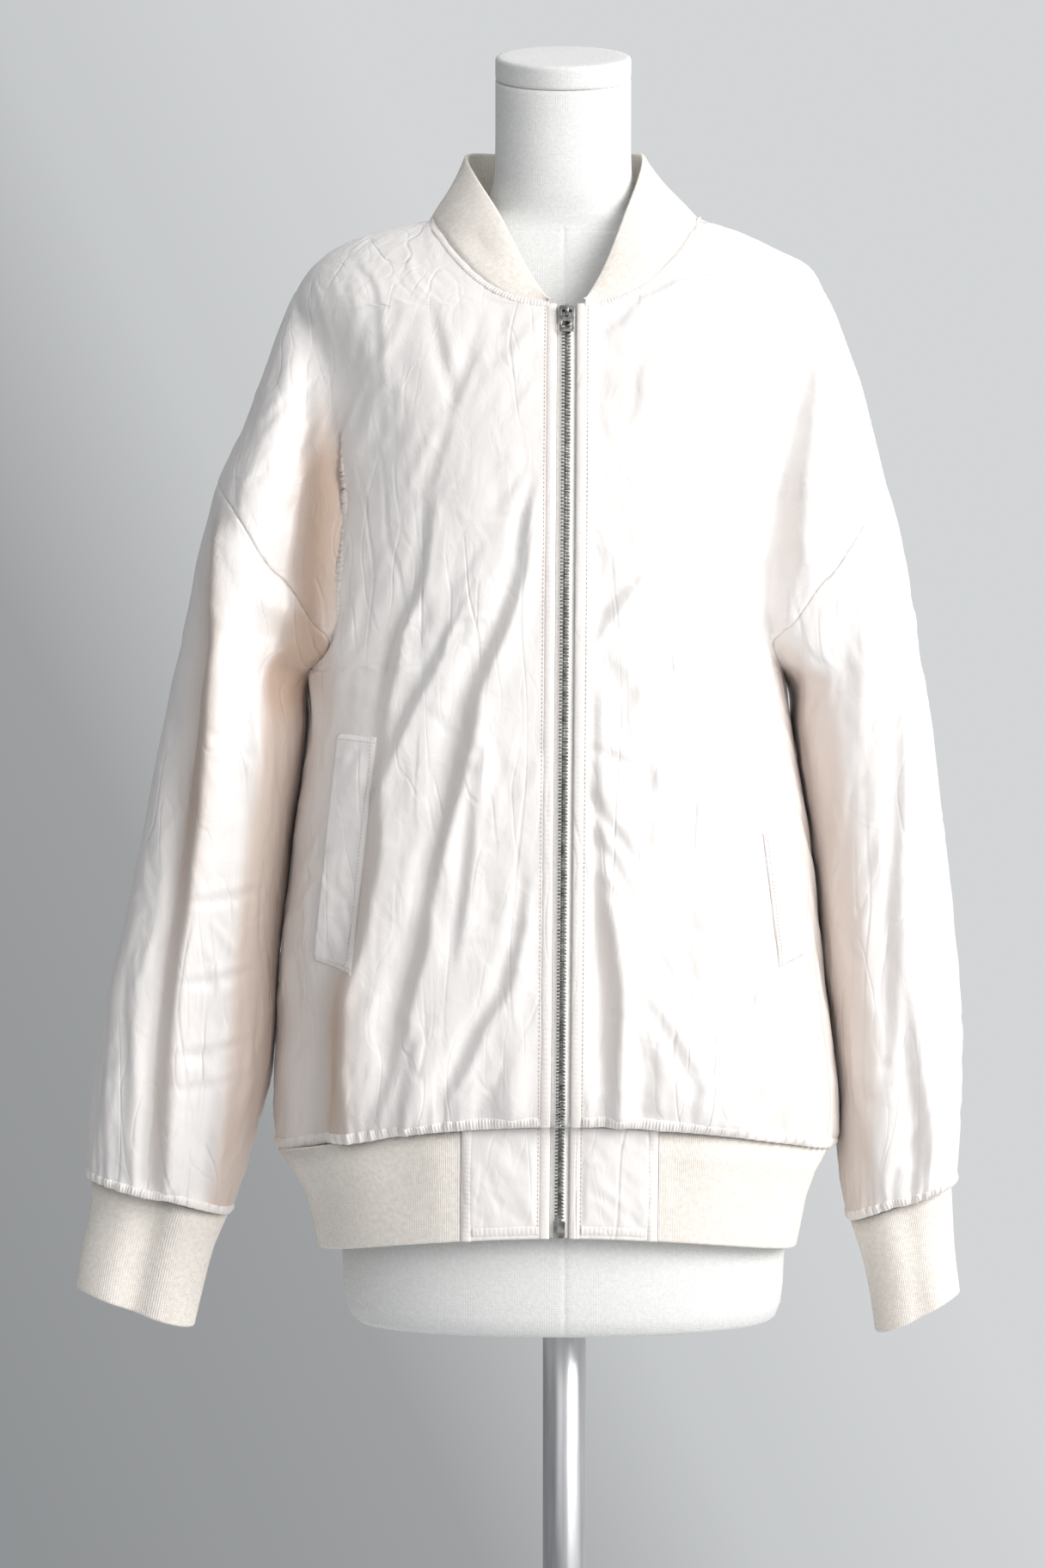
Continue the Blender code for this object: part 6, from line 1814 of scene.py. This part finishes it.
def plate(name, loops, place, front, back, bevel, material):
    """Plate with rounded edges between two depths, cut to an outline and its holes."""
    curve = bpy.data.curves.new(name, "CURVE")
    curve.dimensions = "2D"
    curve.fill_mode = "BOTH"
    curve.extrude = 0.5 * (back - front) - bevel
    curve.bevel_depth = bevel
    curve.offset = -bevel
    curve.bevel_resolution = 2
    for loop in loops:
        spline = curve.splines.new("POLY")
        spline.points.add(len(loop) - 1)
        for point, (x, z) in zip(spline.points, loop):
            point.co = (x, z, 0.0, 1.0)
        spline.use_cyclic_u = True
    shape = bpy.data.objects.new(name + "_shape", curve)
    bpy.context.scene.collection.objects.link(shape)
    bpy.context.view_layer.update()
    mesh = bpy.data.meshes.new_from_object(shape.evaluated_get(
        bpy.context.evaluated_depsgraph_get()))
    bpy.data.objects.remove(shape)
    middle = 0.5 * (front + back)
    for vertex in mesh.vertices:
        x, z, depth = vertex.co
        vertex.co = Vector(framed(place, x, middle - depth, z) * MM)
    mesh.materials.clear()
    mesh.materials.append(material)
    weld(mesh)
    piece = bpy.data.objects.new(name, mesh)
    bpy.context.scene.collection.objects.link(piece)
    return piece


def weld(mesh):
    """Merge doubled points and turn all faces outwards."""
    work = bmesh.new()
    work.from_mesh(mesh)
    bmesh.ops.remove_doubles(work, verts=work.verts, dist=0.00001)
    bmesh.ops.recalc_face_normals(work, faces=work.faces)
    work.to_mesh(mesh)
    work.free()


SLIDER_OUTLINE = ((-3.2, -11.0), (3.2, -11.0), (4.3, -7.5), (5.6, -2.2), (4.8, 0.0), (1.4, 0.0),
                  (0.0, -0.9), (-1.4, 0.0), (-4.8, 0.0), (-5.6, -2.2), (-4.3, -7.5))
PULL_OUTLINE = ((-5.4, 1.5), (5.4, 1.5), (5.4, -18.3), (-5.4, -18.3))
PULL_WINDOW = ((-3.4, -1.5), (3.4, -1.5), (3.4, -7.1), (-3.4, -7.1))
PULL_SLOT = ((-3.4, -10.3), (3.4, -10.3), (3.4, -16.1), (-3.4, -16.1))
BRIDGE = ((-2.2, -0.9), (-4.4, -0.6), (-5.8, -1.6), (-6.3, -3.6), (-5.9, -6.2), (-4.4, -8.2),
          (-2.2, -9.0))
BRIDGE_SECTION = ((-1.3, -0.3), (-1.1, -0.5), (1.1, -0.5), (1.3, -0.3), (1.3, 0.3), (1.1, 0.5),
                  (-1.1, 0.5), (-1.3, 0.3))


def add_slider():
    """Slider body and the bridge that holds the pull tab."""
    place = zip_frame(SLIDER_TOP_Z)
    body = plate("zip_slider_body", [rounded_loop(SLIDER_OUTLINE, 1.0)], place, -2.4, 1.1, 0.45,
                 NICKEL)
    path = np.array(BRIDGE)
    fine = np.linspace(0.0, 1.0, 25)
    given = np.linspace(0.0, 1.0, len(path))
    path = np.stack([smooth_between(given, path[:, k], fine) for k in range(2)], axis=-1)
    along = np.gradient(path, axis=0)
    across = np.stack([along[:, 1], -along[:, 0]], axis=-1)
    across = unit(across)
    rings = []
    for (depth, z), (out_depth, out_z) in zip(path, across):
        ring = []
        for x, h in BRIDGE_SECTION:
            ring.append(framed(place, x, depth + out_depth * h, z + out_z * h))
        rings.append(ring)
    bridge = tube_of("zip_bridge", rings, NICKEL)
    for piece in (body, bridge):
        dress(piece)
    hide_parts("zip_slider")


def add_pull():
    """Pull tab with its window over the bridge and a slot lower down."""
    place = zip_frame(SLIDER_TOP_Z)
    hinge = framed(place, 0.0, PULL_AXIS_DEPTH, PULL_AXIS_Z)
    loops = [rounded_loop(PULL_OUTLINE, 2.2), rounded_loop(PULL_WINDOW, 1.2),
             rounded_loop(PULL_SLOT, 1.0)]
    piece = plate("zip_pull_tab", loops, leaned(place, hinge, PULL_LEAN), -PULL_THICK / 2,
                  PULL_THICK / 2, 0.3, NICKEL)
    dress(piece, "zip_pull", PULL)


BOX_OUTLINE = ((-4.2, 0.0), (4.2, 0.0), (4.2, -12.0), (-4.2, -12.0))
PIN_OUTLINE = ((-2.2, 4.0), (-0.7, 4.0), (-0.7, -10.4), (-2.2, -10.4))


def add_stop():
    """Bottom box of the zip, with the pin seated in it."""
    place = zip_frame(RIB_LOW_FRONT_Z + 12.6)
    box = plate("zip_bottom_box", [rounded_loop(BOX_OUTLINE, 1.0)], place, -1.2, 1.9, 0.35, NICKEL)
    rod = plate("zip_bottom_pin", [rounded_loop(PIN_OUTLINE, 0.6)], place, -1.75, -0.7, 0.25, NICKEL)
    for piece in (box, rod):
        dress(piece)
    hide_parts("zip_stop")


# ---------------------------------------------------------------- pocket welts
WELTS = {"right": ((-161.0, 1021.0), (-134.0, 1018.0), (-152.0, 850.0), (-179.0, 859.0)),
         "left": ((139.0, 950.0), (157.0, 958.0), (168.0, 862.0), (151.0, 855.0))}
WELT_OPEN_EDGE = {"right": 0.0, "left": 1.0}
WELT_LIFT = 2.8
WELT_CREASES = (40, 10, 40, 3, 9, 0.3, 35)


def panel_tree(grid):
    """Ray-casting tree of a panel's outer face, in millimetres."""
    rows, cols = grid.shape[:2]
    index = np.arange(rows * cols).reshape(rows, cols)
    quads = np.stack([index[:-1, :-1], index[:-1, 1:], index[1:, 1:], index[1:, :-1]], axis=-1)
    return BVHTree.FromPolygons(grid.reshape(-1, 3).tolist(), quads.reshape(-1, 4).tolist())


def dropped_on(tree, x, z):
    """Point of a panel under (x, z) of the front view."""
    hit = tree.ray_cast(Vector((x, -400.0, z)), Vector((0.0, 1.0, 0.0)), 399.0)[0]
    return np.array(hit) if hit is not None else np.array([x, np.nan, z])


WELT_SIZE = (84, 18)


def welt_grid(side, tree):
    """Grid of panel points under a welt, smoothed as a stiff doubled cloth is."""
    top_out, top_in, low_in, low_out = (np.array(corner) for corner in WELTS[side])
    grid = np.empty((*WELT_SIZE, 3))
    for i, v in enumerate(np.linspace(0.0, 1.0, WELT_SIZE[0])):
        for j, u in enumerate(np.linspace(0.0, 1.0, WELT_SIZE[1])):
            out = top_out + (low_out - top_out) * v
            inside = top_in + (low_in - top_in) * v
            grid[i, j] = dropped_on(tree, *(out + (inside - out) * u))
    y = grid[..., 1]
    y[np.isnan(y)] = np.nanmean(y)
    for _ in range(3):
        y[1:-1] = 0.25 * y[:-2] + 0.5 * y[1:-1] + 0.25 * y[2:]
        y[:, 1:-1] = 0.25 * y[:, :-2] + 0.5 * y[:, 1:-1] + 0.25 * y[:, 2:]
    return grid


def add_welt(side, front, seed):
    grid = welt_grid(side, panel_tree(front[0]))
    normals = body_normals(grid)
    rows, cols = grid.shape[:2]
    u = np.linspace(0.0, 1.0, cols)[None]
    v = np.linspace(0.0, 1.0, rows)[:, None]
    open_u = abs(u - WELT_OPEN_EDGE[side])
    sewn = ease((1.0 - open_u) / 0.1) * ease(v / 0.018) * ease((1.0 - v) / 0.018)
    across, down = walk(grid, 1), walk(grid, 0)
    worn = creases(across, down, (WELT_CREASES,), seed)
    fold = 0.5 * ease((0.12 - open_u) / 0.12)
    lift = 0.5 + (WELT_LIFT - 0.5) * sewn * (0.55 + 0.45 * ease((0.5 - open_u) / 0.5)) + worn * sewn
    outer = grid + normals * (lift + fold)[..., None]
    outer_normals = body_normals(outer)
    piece = cloth("pocket_welt_cloth_" + side, outer, outer_normals, 1.3, SATIN)
    dress(piece, "pocket_welt_" + side)
    inner = -3 if WELT_OPEN_EDGE[side] == 0.0 else 2
    rails = [(outer[:, inner], outer_normals[:, inner]), (outer[2], outer_normals[2]),
             (outer[-3], outer_normals[-3])]
    thread = stitch_mesh("pocket_stitches_" + side, rails, THREAD, 2.6, 1.9, 0.3)
    dress(thread)
    return piece


# ---------------------------------------------------------------- dress form
FORM_COLUMNS = ("z", "half_width", "front", "back", "middle_y", "tilt")
FORM = (
    (590, 150, 92, 92, 0, 0),
    (596, 158, 99, 98, 0, 0),
    (640, 163, 103, 91, 0, 0),
    (720, 165, 104, 90, 0, 0),
    (800, 163, 103, 91, 0, 0),
    (880, 150, 98, 88, 0, 0),
    (960, 134, 92, 82, 0, 0),
    (1030, 128, 91, 80, 0, 0),
    (1110, 136, 102, 88, 0, 0),
    (1190, 146, 113, 95, 0, 0),
    (1250, 152, 106, 98, 0, 0),
    (1300, 165, 90, 94, 0, 0),
    (1335, 172, 72, 86, 0, 0),
    (1355, 166, 60, 78, 2, 0),
    (1372, 147, 54, 70, 3, 0),
    (1384, 120, 50, 62, 4, 0),
    (1393, 90, 47, 56, 4, 1),
    (1402, 66, 47, 52, 3, 2),
    (1418, 55, 48, 50, 1, 4),
    (1440, 50.5, 48, 49, -1, 7),
    (1470, 50, 48, 49, -3, 13),
    (1503.5, 50, 49, 49, -6, 20),
)
FORM_X = -1.0
FORM_LOW_Z = 590.0
NECK_LOW_Z = 1372.0
NECK_HIGH_Z = 1406.0
CAP_LOW_Z = 1503.5
FRONT_SEAM_TOP_Z = 1390.0
NECK_SEAM_Z = 1393.0
NECK_SEAM_DIP = 6.0
FORM_SQUARENESS = 0.94
FORM_AROUND = 112
FORM_ROWS = 56
FORM_SEAM_WIDTH = 0.9
FORM_SEAM_DEPTH = 0.55


def form_turns():
    """Turns round the form, with close ones at the front and back seams."""
    even = 2 * math.pi * (np.arange(FORM_AROUND) + 0.5) / FORM_AROUND
    close = np.array([-0.032, -0.016, -0.006, 0.0, 0.006, 0.016, 0.032])
    turns = np.concatenate([even, 0.5 * math.pi + close, 1.5 * math.pi + close])
    turns = np.sort(turns)
    return turns if len(turns) % 2 == 0 else turns[:-1]


def form_heights():
    foot = FORM_LOW_Z + np.array([0.0, 1.5, 4.0])
    body = np.linspace(FORM_LOW_Z, NECK_LOW_Z, FORM_ROWS)[1:-1]
    neck = np.linspace(NECK_LOW_Z, NECK_HIGH_Z, 46)
    top = np.linspace(NECK_HIGH_Z, CAP_LOW_Z, 30)[1:]
    return np.concatenate([foot, body, neck, top])


def add_torso():
    """Covered torso and neck with a centre seam and a seam round the base of the neck."""
    turns = form_turns()
    rings = []
    for z in form_heights():
        width, front, back, middle_y, tilt = (
            float(table_value(FORM_COLUMNS, FORM, name, z)) for name in FORM_COLUMNS[1:])
        depth = np.where(np.sin(turns) < 0, front, back)
        groove = FORM_SEAM_DEPTH * np.exp(-(width * np.cos(turns) / FORM_SEAM_WIDTH) ** 2)
        if z > FRONT_SEAM_TOP_Z:
            groove = np.where(np.sin(turns) < 0, 0.0, groove)
        base = NECK_SEAM_Z - NECK_SEAM_DIP * np.sin(turns) ** 2 * (np.sin(turns) < 0)
        groove = groove + FORM_SEAM_DEPTH * np.exp(-((z - base) / FORM_SEAM_WIDTH) ** 2)
        x = (width - groove) * np.sign(np.cos(turns)) * abs(np.cos(turns)) ** FORM_SQUARENESS
        y = (depth - groove) * np.sign(np.sin(turns)) * abs(np.sin(turns)) ** FORM_SQUARENESS
        lean = math.radians(tilt)
        rings.append(np.stack([x + FORM_X, middle_y + y * math.cos(lean),
                               z + y * math.sin(lean)], axis=-1))
    piece = tube_of("form_cover", rings, COVER)
    dress(piece, "form_torso")


def disc_rings(base, up, over, profile, around):
    """Rings of a turned shape about a leaning axis."""
    turns = 2 * math.pi * np.arange(around) / around
    side = np.cross(over, up)
    return [base + up * lift + radius * (side * np.cos(turns)[:, None] + over * np.sin(turns)[:, None])
            for radius, lift in profile]


CAP_PROFILE = ((0.5, 0.3), (46.0, 0.3), (48.3, 0.5), (49.4, 1.2), (49.9, 2.4), (50.0, 4.0),
               (50.0, 14.2), (49.9, 15.4), (49.3, 16.6), (48.2, 17.4), (46.5, 17.8), (40.0, 18.0),
               (20.0, 18.0), (0.5, 18.0))


def add_cap():
    """Flat covered neck cap, tilted forwards with the top of the neck."""
    lean = math.radians(20.0)
    base = np.array([FORM_X, -6.0, CAP_LOW_Z])
    up = np.array([0.0, -math.sin(lean), math.cos(lean)])
    over = np.array([0.0, math.cos(lean), math.sin(lean)])
    piece = tube_of("form_cap_cover", disc_rings(base, up, over, CAP_PROFILE, 128), COVER)
    dress(piece, "form_neck_cap")


POLE_PROFILE = ((0.5, 34.2), (15.4, 34.2), (16.0, 35.0), (16.0, 300.0), (16.0, 588.9),
                (15.4, 589.7), (0.5, 589.7))
BASE_PROFILE = ((0.5, 0.0), (184.5, 0.0), (186.5, 0.4), (189.2, 2.0), (190.0, 3.6), (190.0, 8.4),
                (189.2, 10.4), (186.6, 11.8), (150.0, 12.6), (80.0, 13.4), (37.0, 14.0),
                (31.5, 15.2), (28.6, 18.4), (26.6, 24.0), (24.6, 32.4), (23.4, 34.0), (0.5, 34.0))


def add_stand():
    """Turned pole and round base plate."""
    up, over = np.array([0.0, 0.0, 1.0]), np.array([0.0, 1.0, 0.0])
    for name, node, profile, around in (("stand_pole", "form_pole", POLE_PROFILE, 48),
                                        ("stand_base", "form_base", BASE_PROFILE, 128)):
        piece = tube_of(name, disc_rings(np.zeros(3), up, over, profile, around), STEEL)
        dress(piece, node)


# ---------------------------------------------------------------- assembly
FRONT_SEEDS = {"right": 11, "left": 23}
SLEEVE_SEEDS = {"right": 37, "left": 53}
FRONT_FOLDS = {"right": FRONT_RIGHT_FOLDS, "left": FRONT_LEFT_FOLDS}
SLEEVE_FOLDS = {"right": (SLEEVE_RIGHT_FOLDS, SLEEVE_RIGHT_BACK_FOLDS),
                "left": (SLEEVE_LEFT_FOLDS, SLEEVE_LEFT_BACK_FOLDS)}


def add_satin(name, node, grid, normals, shade, closed=False):
    piece = cloth(name, grid, normals, PANEL_WALL, SATIN, closed)
    shade_points(piece, shade)
    return dress(piece, node)


# Padded strips: half width, rise, pitch of the cross ticks and their depth.
HEM_STRIP = (4.2, 1.5, 2.3, 0.6)
NECK_STRIP = (2.9, 1.0, 2.4, 0.34)
ZIP_STRIP = (3.6, 0.9, 3.4, 0.14)
CUFF_STRIP = (3.6, 1.4, 2.3, 0.6)
BAND_STRIP = (3.6, 1.0, 3.2, 0.2)
RINGS_PER_TICK = 3.8


def add_strip(name, rails, size, phase=0.0):
    """One padded strip piece laid over one or more rails."""
    step = size[2] / RINGS_PER_TICK
    points, quads, start = [], [], 0
    for k, (rail, normals) in enumerate(rails):
        rings = strip_rings(rail, normals, *size, phase + 1.7 * k, step)
        points.append(rings.reshape(-1, 3))
        part = ring_quads(*rings.shape[:2], start)
        if quad_volume(np.concatenate(points), part) < 0:
            part = part[:, ::-1]
        quads.append(part)
        start += len(points[-1])
    piece = add_mesh(name, np.concatenate(points), np.concatenate(quads), SHADED_STRIP_SATIN)
    return dress(piece)


def build_jacket():
    fronts = {side: front_panel(side, FRONT_FOLDS[side], FRONT_SEEDS[side]) for side in SIGN}
    back = back_panel(71)
    sleeves = {side: sleeve_panel(side, FRONT_FOLDS[side], *SLEEVE_FOLDS[side], SLEEVE_SEEDS[side])
               for side in SIGN}
    made = {}
    for side, back_column in (("right", 0), ("left", -1)):
        join_armhole(fronts[side], back, back_column, sleeves[side])
        front = clear_of_seam(fronts[side][0], "front")
        made["front_" + side] = add_satin("front_cloth_" + side, "front_" + side, front,
                                          *fronts[side][1:])
        made["sleeve_" + side] = add_satin("sleeve_cloth_" + side, "sleeve_" + side,
                                           *sleeves[side], closed=True)
        band = band_panel(side, 90 + FRONT_SEEDS[side])
        made["band_" + side] = add_satin("hem_band_cloth_" + side, "hem_band_" + side, *band)
        add_trims(side, fronts[side], sleeves[side], band)
        made["welt_" + side] = add_welt(side, fronts[side], 60 + FRONT_SEEDS[side])
        made["cuff_" + side] = add_cuff(side)
        made["tape_" + side] = add_tape(side)
    made["back"] = add_satin("back_cloth", "back", clear_of_seam(back[0], "back"), *back[1:])
    add_strip("hem_gather_back", [hem_rail(*back[:2], 4.2)], HEM_STRIP, 4.0)
    made["hem_rib"] = knit_band("hem_rib_knit", "hem_rib", *hem_rib_grid())
    made["collar"] = add_collar(fronts, back)
    return made


def add_trims(side, front, sleeve, band):
    """Padded strips along the hem, the neck, the zip edge, the cuff and the hem band."""
    grid, normals = front[:2]
    band = band[:2]
    neck = np.nonzero(grid[:, 0, 2] > NECK_FRONT_Z)[0]
    below = np.arange(0, BODY_ROWS + ARMHOLE_ROWS + CHEST_ROWS)
    add_strip("hem_gather_" + side, [hem_rail(grid, normals, 4.2, 3)], HEM_STRIP)
    add_strip("neck_strip_" + side, [inset_rail(grid, normals, neck, 3.4)], NECK_STRIP)
    edge = [inset_rail(grid, normals, below, 3.7),
            inset_rail(*band, np.arange(len(band[0])), 3.7)]
    add_strip("zip_edge_" + side, edge, ZIP_STRIP)
    cuff_rail = (sleeve[0][-2], sleeve[1][-2])
    loop = [np.concatenate([field, field[:2]]) for field in cuff_rail]
    add_strip("cuff_strip_" + side, [tuple(loop)], CUFF_STRIP)
    outer = inset_rail(*band, np.arange(len(band[0])), 4.0, last=True)
    low = (band[0][-5, 6:-6], band[1][-5, 6:-6])
    add_strip("band_strips_" + side, [outer, low], BAND_STRIP)
    seams = [inset_rail(grid, normals, below, 8.2),
             inset_rail(*band, np.arange(len(band[0])), 8.2)]
    thread = stitch_mesh("zip_stitches_" + side, seams, THREAD)
    dress(thread)


def add_area(name, place, target, size, power, colour):
    light = bpy.data.lights.new(name, "AREA")
    light.shape = "RECTANGLE"
    light.size, light.size_y = size
    light.energy = power
    light.color = colour
    item = bpy.data.objects.new(name, light)
    item.location = place
    item.rotation_euler = (Vector(target) - Vector(place)).to_track_quat("-Z", "Y").to_euler()
    bpy.context.scene.collection.objects.link(item)


# Soft lights: name, place, aim, size in metres, power and colour.
LIGHTS = (
    ("key", (2.62, -1.68, 2.15), (0.0, 0.0, 1.05), (1.0, 1.6), 62.0, (1.0, 0.99, 0.975)),
    ("front", (1.8, -2.75, 1.9), (0.0, 0.0, 1.05), (1.2, 1.6), 42.0, (1.0, 0.99, 0.98)),
    ("fill", (-1.5, -3.1, 1.9), (0.0, 0.0, 1.2), (1.8, 1.8), 9.0, (0.99, 0.995, 1.0)),
    ("rim", (0.9, 2.4, 2.2), (0.0, 0.0, 1.1), (1.6, 1.2), 16.0, (1.0, 0.99, 0.98)),
)

# Tone of the plain surroundings by x + z / 2 of the direction, darker on the viewer's left.
WALL_TONES = ((-0.25, (0.27, 0.28, 0.29)), (-0.115, (0.34, 0.35, 0.355)),
              (-0.04, (0.565, 0.58, 0.585)), (0.05, (0.655, 0.67, 0.68)))


def build_studio():
    """Pale floor that fades into the pale surroundings, and soft lights."""
    for light in LIGHTS:
        add_area(*light)
    world = bpy.data.worlds.new("surroundings")
    world.use_nodes = True
    tree = world.node_tree
    sky = tree.nodes["Background"]
    place = add_node(tree, "TexCoord")
    slope = add_node(tree, "VectorMath", {0: place.outputs["Generated"], 1: (1.0, 0.0, 0.5)},
                     operation="DOT_PRODUCT")
    spread = add_node(tree, "MapRange", {"Value": slope.outputs["Value"],
                                         "From Min": WALL_TONES[0][0],
                                         "From Max": WALL_TONES[-1][0]})
    ramp = add_node(tree, "ValToRGB", {"Fac": spread.outputs["Result"]})
    marks = ramp.color_ramp.elements
    for _ in WALL_TONES[2:]:
        marks.new(0.5)
    for mark, (place_at, colour) in zip(marks, WALL_TONES):
        mark.position = (place_at - WALL_TONES[0][0]) / (WALL_TONES[-1][0] - WALL_TONES[0][0])
        mark.color = (*colour, 1.0)
    tree.links.new(ramp.outputs["Color"], sky.inputs["Color"])
    sky.inputs["Strength"].default_value = 1.0
    bpy.context.scene.world = world
    add_floor()


def add_floor():
    mesh = bpy.data.meshes.new("floor")
    mesh.from_pydata([(-9, -9, 0), (9, -9, 0), (9, 9, 0), (-9, 9, 0)], [], [(0, 1, 2, 3)])
    material, tree, shader = new_material("floor_paint", (0.74, 0.745, 0.75), 0.7)
    place = add_node(tree, "TexCoord")
    length = add_node(tree, "VectorMath", {0: place.outputs["Object"]}, operation="LENGTH")
    fade = add_node(tree, "MapRange", {"Value": length.outputs["Value"], "From Min": 0.5,
                                       "From Max": 1.6, "To Min": 1.0, "To Max": 0.0})
    tree.links.new(fade.outputs["Result"], shader.inputs["Alpha"])
    mesh.materials.append(material)
    floor = bpy.data.objects.new("floor", mesh)
    bpy.context.scene.collection.objects.link(floor)


def build_camera():
    lens = bpy.data.cameras.new("camera")
    lens.sensor_fit = "AUTO"
    lens.sensor_width = SENSOR_WIDTH
    lens.lens = SENSOR_WIDTH * FOCAL_PX / PHOTO_HEIGHT_PX
    camera = bpy.data.objects.new("camera", lens)
    camera.location = [value * MM for value in EYE]
    camera.rotation_euler = (math.pi / 2, 0.0, 0.0)
    bpy.context.scene.collection.objects.link(camera)
    bpy.context.scene.camera = camera


made = build_jacket()
add_teeth()
add_slider()
add_pull()
add_stop()
add_torso()
add_cap()
add_stand()
build_studio()
build_camera()
bpy.context.scene.view_settings.view_transform = "Standard"
